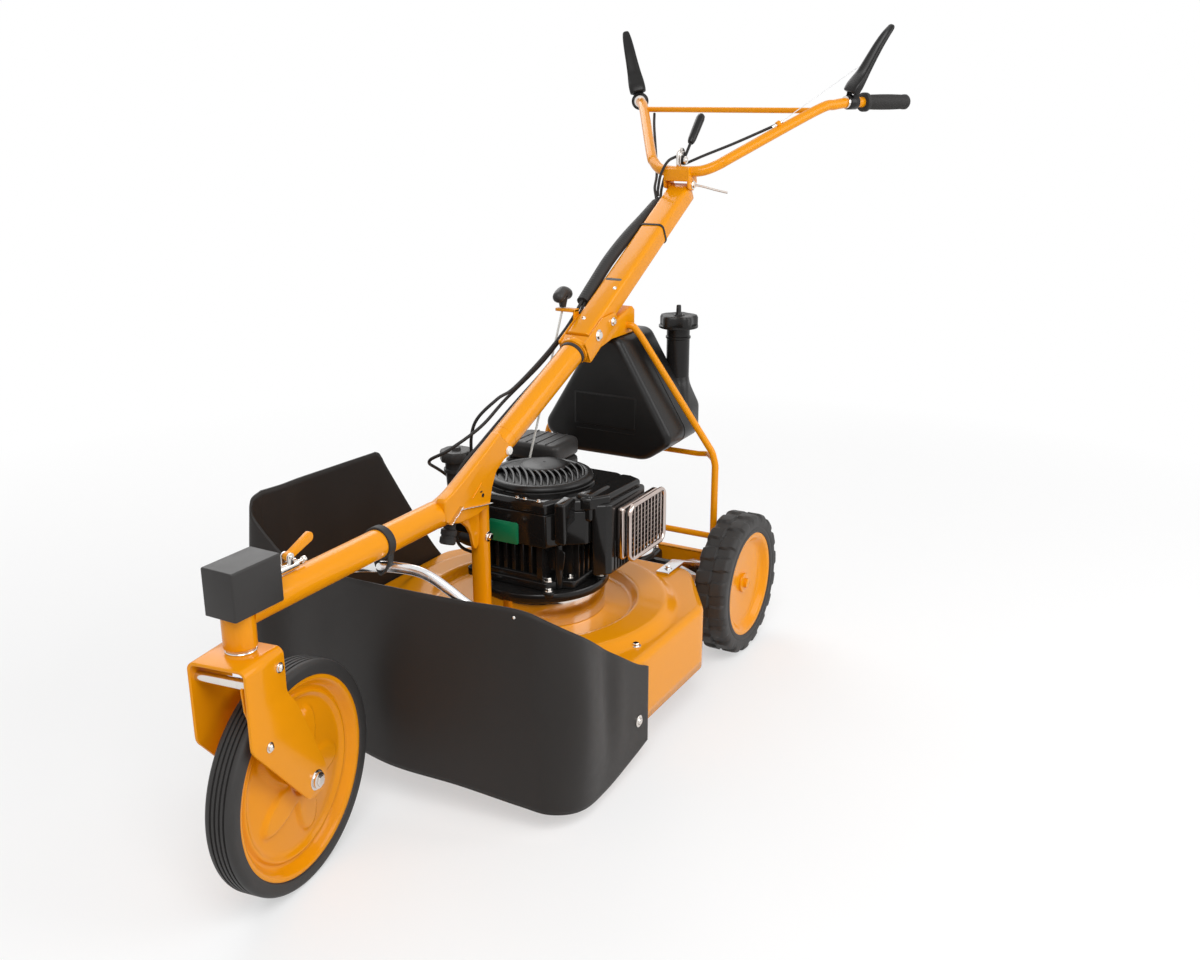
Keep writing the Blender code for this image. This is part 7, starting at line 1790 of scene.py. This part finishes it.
def camera():
    """The camera's place, its turn about the machine, its dip and its focal length."""
    look = bpy.context.scene.cutter_stage
    data = bpy.data.cameras.new("studio_camera")
    data.sensor_fit, data.sensor_width = "HORIZONTAL", 36.0
    data.lens = look.focal_length
    item = linked(data)
    turn, dip = look.camera_turn, look.camera_dip
    place = np.array(look.camera_place)
    view = np.array([-math.sin(turn) * math.cos(dip), math.cos(turn) * math.cos(dip), -math.sin(dip)])
    aim(item, place, place + view)
    bpy.context.scene.camera = item


class CutterColours(bpy.types.PropertyGroup):
    """The machine's colours."""

    paint: bpy.props.FloatVectorProperty(
        name="Paint", description="Colour of the frame, the deck and the wheels", subtype="COLOR", size=3,
        min=0.0, max=1.0, default=(0.80, 0.292, 0.002)
    )
    plastic: bpy.props.FloatVectorProperty(
        name="Plastic", description="Colour of the matt mouldings; the gloss ones are a darker shade of it",
        subtype="COLOR", size=3, min=0.0, max=1.0, default=(0.034, 0.032, 0.031)
    )
    apron: bpy.props.FloatVectorProperty(
        name="Apron", description="Colour of the rubberised cloth round the deck", subtype="COLOR", size=3,
        min=0.0, max=1.0, default=(0.021, 0.018, 0.0165)
    )


class CutterStage(bpy.types.PropertyGroup):
    """The camera, the lamps, the world and the floor."""

    camera_place: bpy.props.FloatVectorProperty(
        name="Camera place", description="Where the camera stands", subtype="TRANSLATION", unit="LENGTH",
        size=3, default=(1.1188, -1.8940, 1.10)
    )
    camera_turn: bpy.props.FloatProperty(
        name="Camera turn", description="Turn of the view from straight along the machine", subtype="ANGLE",
        default=0.5059
    )
    camera_dip: bpy.props.FloatProperty(
        name="Camera dip", description="How far the view looks down", subtype="ANGLE", default=0.3115
    )
    focal_length: bpy.props.FloatProperty(
        name="Focal length", description="Focal length on a 36 mm wide sensor", unit="CAMERA", default=36.14
    )
    lamp_power: bpy.props.FloatProperty(
        name="Lamp power", description="Power of the main soft lamp", unit="POWER", default=80.0
    )
    world_level: bpy.props.FloatProperty(
        name="World level", description="Strength of the even light from all sides", default=0.42
    )
    floor_colour: bpy.props.FloatVectorProperty(
        name="Floor", description="Colour of the floor and its sweep", subtype="COLOR", size=3, min=0.0,
        max=1.0, default=(0.90, 0.90, 0.90)
    )
    floor_glow: bpy.props.FloatProperty(
        name="Floor glow", description="Share of plain white in what the camera sees of the floor",
        subtype="FACTOR", min=0.0, max=1.0, default=0.5
    )


class BRUSHCUTTER_OT_finishes(bpy.types.Operator):
    """Make the machine's finishes from its colours."""

    bl_idname = "brushcutter.finishes"
    bl_label = "Finishes"

    def execute(self, context):
        make_finishes(context.scene.cutter_colours)
        return {"FINISHED"}


class BRUSHCUTTER_OT_caster(bpy.types.Operator):
    """Make the front wheel, its folded yoke and its fittings."""

    bl_idname = "brushcutter.caster"
    bl_label = "Front caster"

    def execute(self, context):
        caster_pieces()
        return {"FINISHED"}


class BRUSHCUTTER_OT_head(bpy.types.Operator):
    """Make the head with its cover, the boom and the caster lock."""

    bl_idname = "brushcutter.head"
    bl_label = "Head and boom"

    def execute(self, context):
        head_pieces()
        return {"FINISHED"}


class BRUSHCUTTER_OT_frame(bpy.types.Operator):
    """Make the knee, the lower column, its clamp and the tank's bracket."""

    bl_idname = "brushcutter.frame"
    bl_label = "Frame"

    def execute(self, context):
        frame_pieces()
        small_fittings()
        return {"FINISHED"}


class BRUSHCUTTER_OT_column(bpy.types.Operator):
    """Make the tilting column and the hose beside it."""

    bl_idname = "brushcutter.column"
    bl_label = "Column"

    def execute(self, context):
        column_pieces()
        return {"FINISHED"}


class BRUSHCUTTER_OT_handlebar(bpy.types.Operator):
    """Make the handlebar with its levers and grips."""

    bl_idname = "brushcutter.handlebar"
    bl_label = "Handlebar"

    def execute(self, context):
        handlebar()
        lever_mounts()
        speed_lever()
        for side, name in ((1, "left"), (-1, "right")):
            hand_lever("hand_lever_" + name, side)
            grip_sleeve("grip_sleeve_" + name, side)
        lever_wire()
        return {"FINISHED"}


class BRUSHCUTTER_OT_cables(bpy.types.Operator):
    """Make the control cables and the starter's rope and handle."""

    bl_idname = "brushcutter.cables"
    bl_label = "Cables and rope"

    def execute(self, context):
        for index, name in enumerate(CABLES):
            cable_pieces(name, index)
        starter_pieces()
        return {"FINISHED"}


class BRUSHCUTTER_OT_deck(bpy.types.Operator):
    """Make the pressed deck and the cutter bar under it."""

    bl_idname = "brushcutter.deck"
    bl_label = "Deck"

    def execute(self, context):
        deck_shell()
        crank_pieces()
        return {"FINISHED"}


class BRUSHCUTTER_OT_apron(bpy.types.Operator):
    """Make the hanging cloth apron and the tube that carries it."""

    bl_idname = "brushcutter.apron"
    bl_label = "Apron"

    def execute(self, context):
        bow_tube()
        apron_sheet()
        return {"FINISHED"}


class BRUSHCUTTER_OT_engine(bpy.types.Operator):
    """Make the engine's visible pieces."""

    bl_idname = "brushcutter.engine"
    bl_label = "Engine"

    def execute(self, context):
        engine_base_pieces()
        crankcase_block()
        cowl()
        grille()
        shroud()
        muffler_pieces()
        filter_and_filler()
        return {"FINISHED"}


class BRUSHCUTTER_OT_tank(bpy.types.Operator):
    """Make the fuel tank, its cap and its hose."""

    bl_idname = "brushcutter.tank"
    bl_label = "Fuel tank"

    def execute(self, context):
        tank_pieces()
        return {"FINISHED"}


class BRUSHCUTTER_OT_drive(bpy.types.Operator):
    """Make the rod frame, the gearbox, the belt and the rear wheels."""

    bl_idname = "brushcutter.drive"
    bl_label = "Drive and rear wheels"

    def execute(self, context):
        rod_frame_pieces()
        drive_pieces()
        rear_wheel("left", 1)
        rear_wheel("right", -1)
        return {"FINISHED"}


class BRUSHCUTTER_OT_stage(bpy.types.Operator):
    """Make the floor, the lamps and the camera."""

    bl_idname = "brushcutter.stage"
    bl_label = "Stage"

    def execute(self, context):
        context.scene.view_settings.view_transform = "Standard"
        stage()
        camera()
        return {"FINISHED"}


OPERATORS = (
    BRUSHCUTTER_OT_finishes, BRUSHCUTTER_OT_caster, BRUSHCUTTER_OT_head, BRUSHCUTTER_OT_frame,
    BRUSHCUTTER_OT_column, BRUSHCUTTER_OT_handlebar, BRUSHCUTTER_OT_cables, BRUSHCUTTER_OT_deck,
    BRUSHCUTTER_OT_apron, BRUSHCUTTER_OT_engine, BRUSHCUTTER_OT_tank, BRUSHCUTTER_OT_drive,
    BRUSHCUTTER_OT_stage
)


class BRUSHCUTTER_PT_pieces(bpy.types.Panel):
    """Lists the machine's pieces, its colours and its stage."""

    bl_label = "Brush cutter"
    bl_space_type = "VIEW_3D"
    bl_region_type = "UI"
    bl_category = "Brush cutter"

    def draw(self, context):
        layout = self.layout
        for values in (context.scene.cutter_colours, context.scene.cutter_stage):
            for name in values.__annotations__:
                layout.prop(values, name)
        for operator in OPERATORS:
            layout.operator(operator.bl_idname)


CLASSES = (CutterColours, CutterStage, *OPERATORS, BRUSHCUTTER_PT_pieces)


def register():
    """Registers the classes and hangs the two groups of values on the scene."""
    for made in CLASSES:
        bpy.utils.register_class(made)
    bpy.types.Scene.cutter_colours = bpy.props.PointerProperty(type=CutterColours)
    bpy.types.Scene.cutter_stage = bpy.props.PointerProperty(type=CutterStage)


def unregister():
    """Takes away what register() added, in reverse order."""
    del bpy.types.Scene.cutter_stage
    del bpy.types.Scene.cutter_colours
    for made in reversed(CLASSES):
        bpy.utils.unregister_class(made)


def main():
    """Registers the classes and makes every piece."""
    register()
    for operator in OPERATORS:
        family, name = operator.bl_idname.split(".")
        getattr(getattr(bpy.ops, family), name)()


if __name__ == "__main__":
    main()
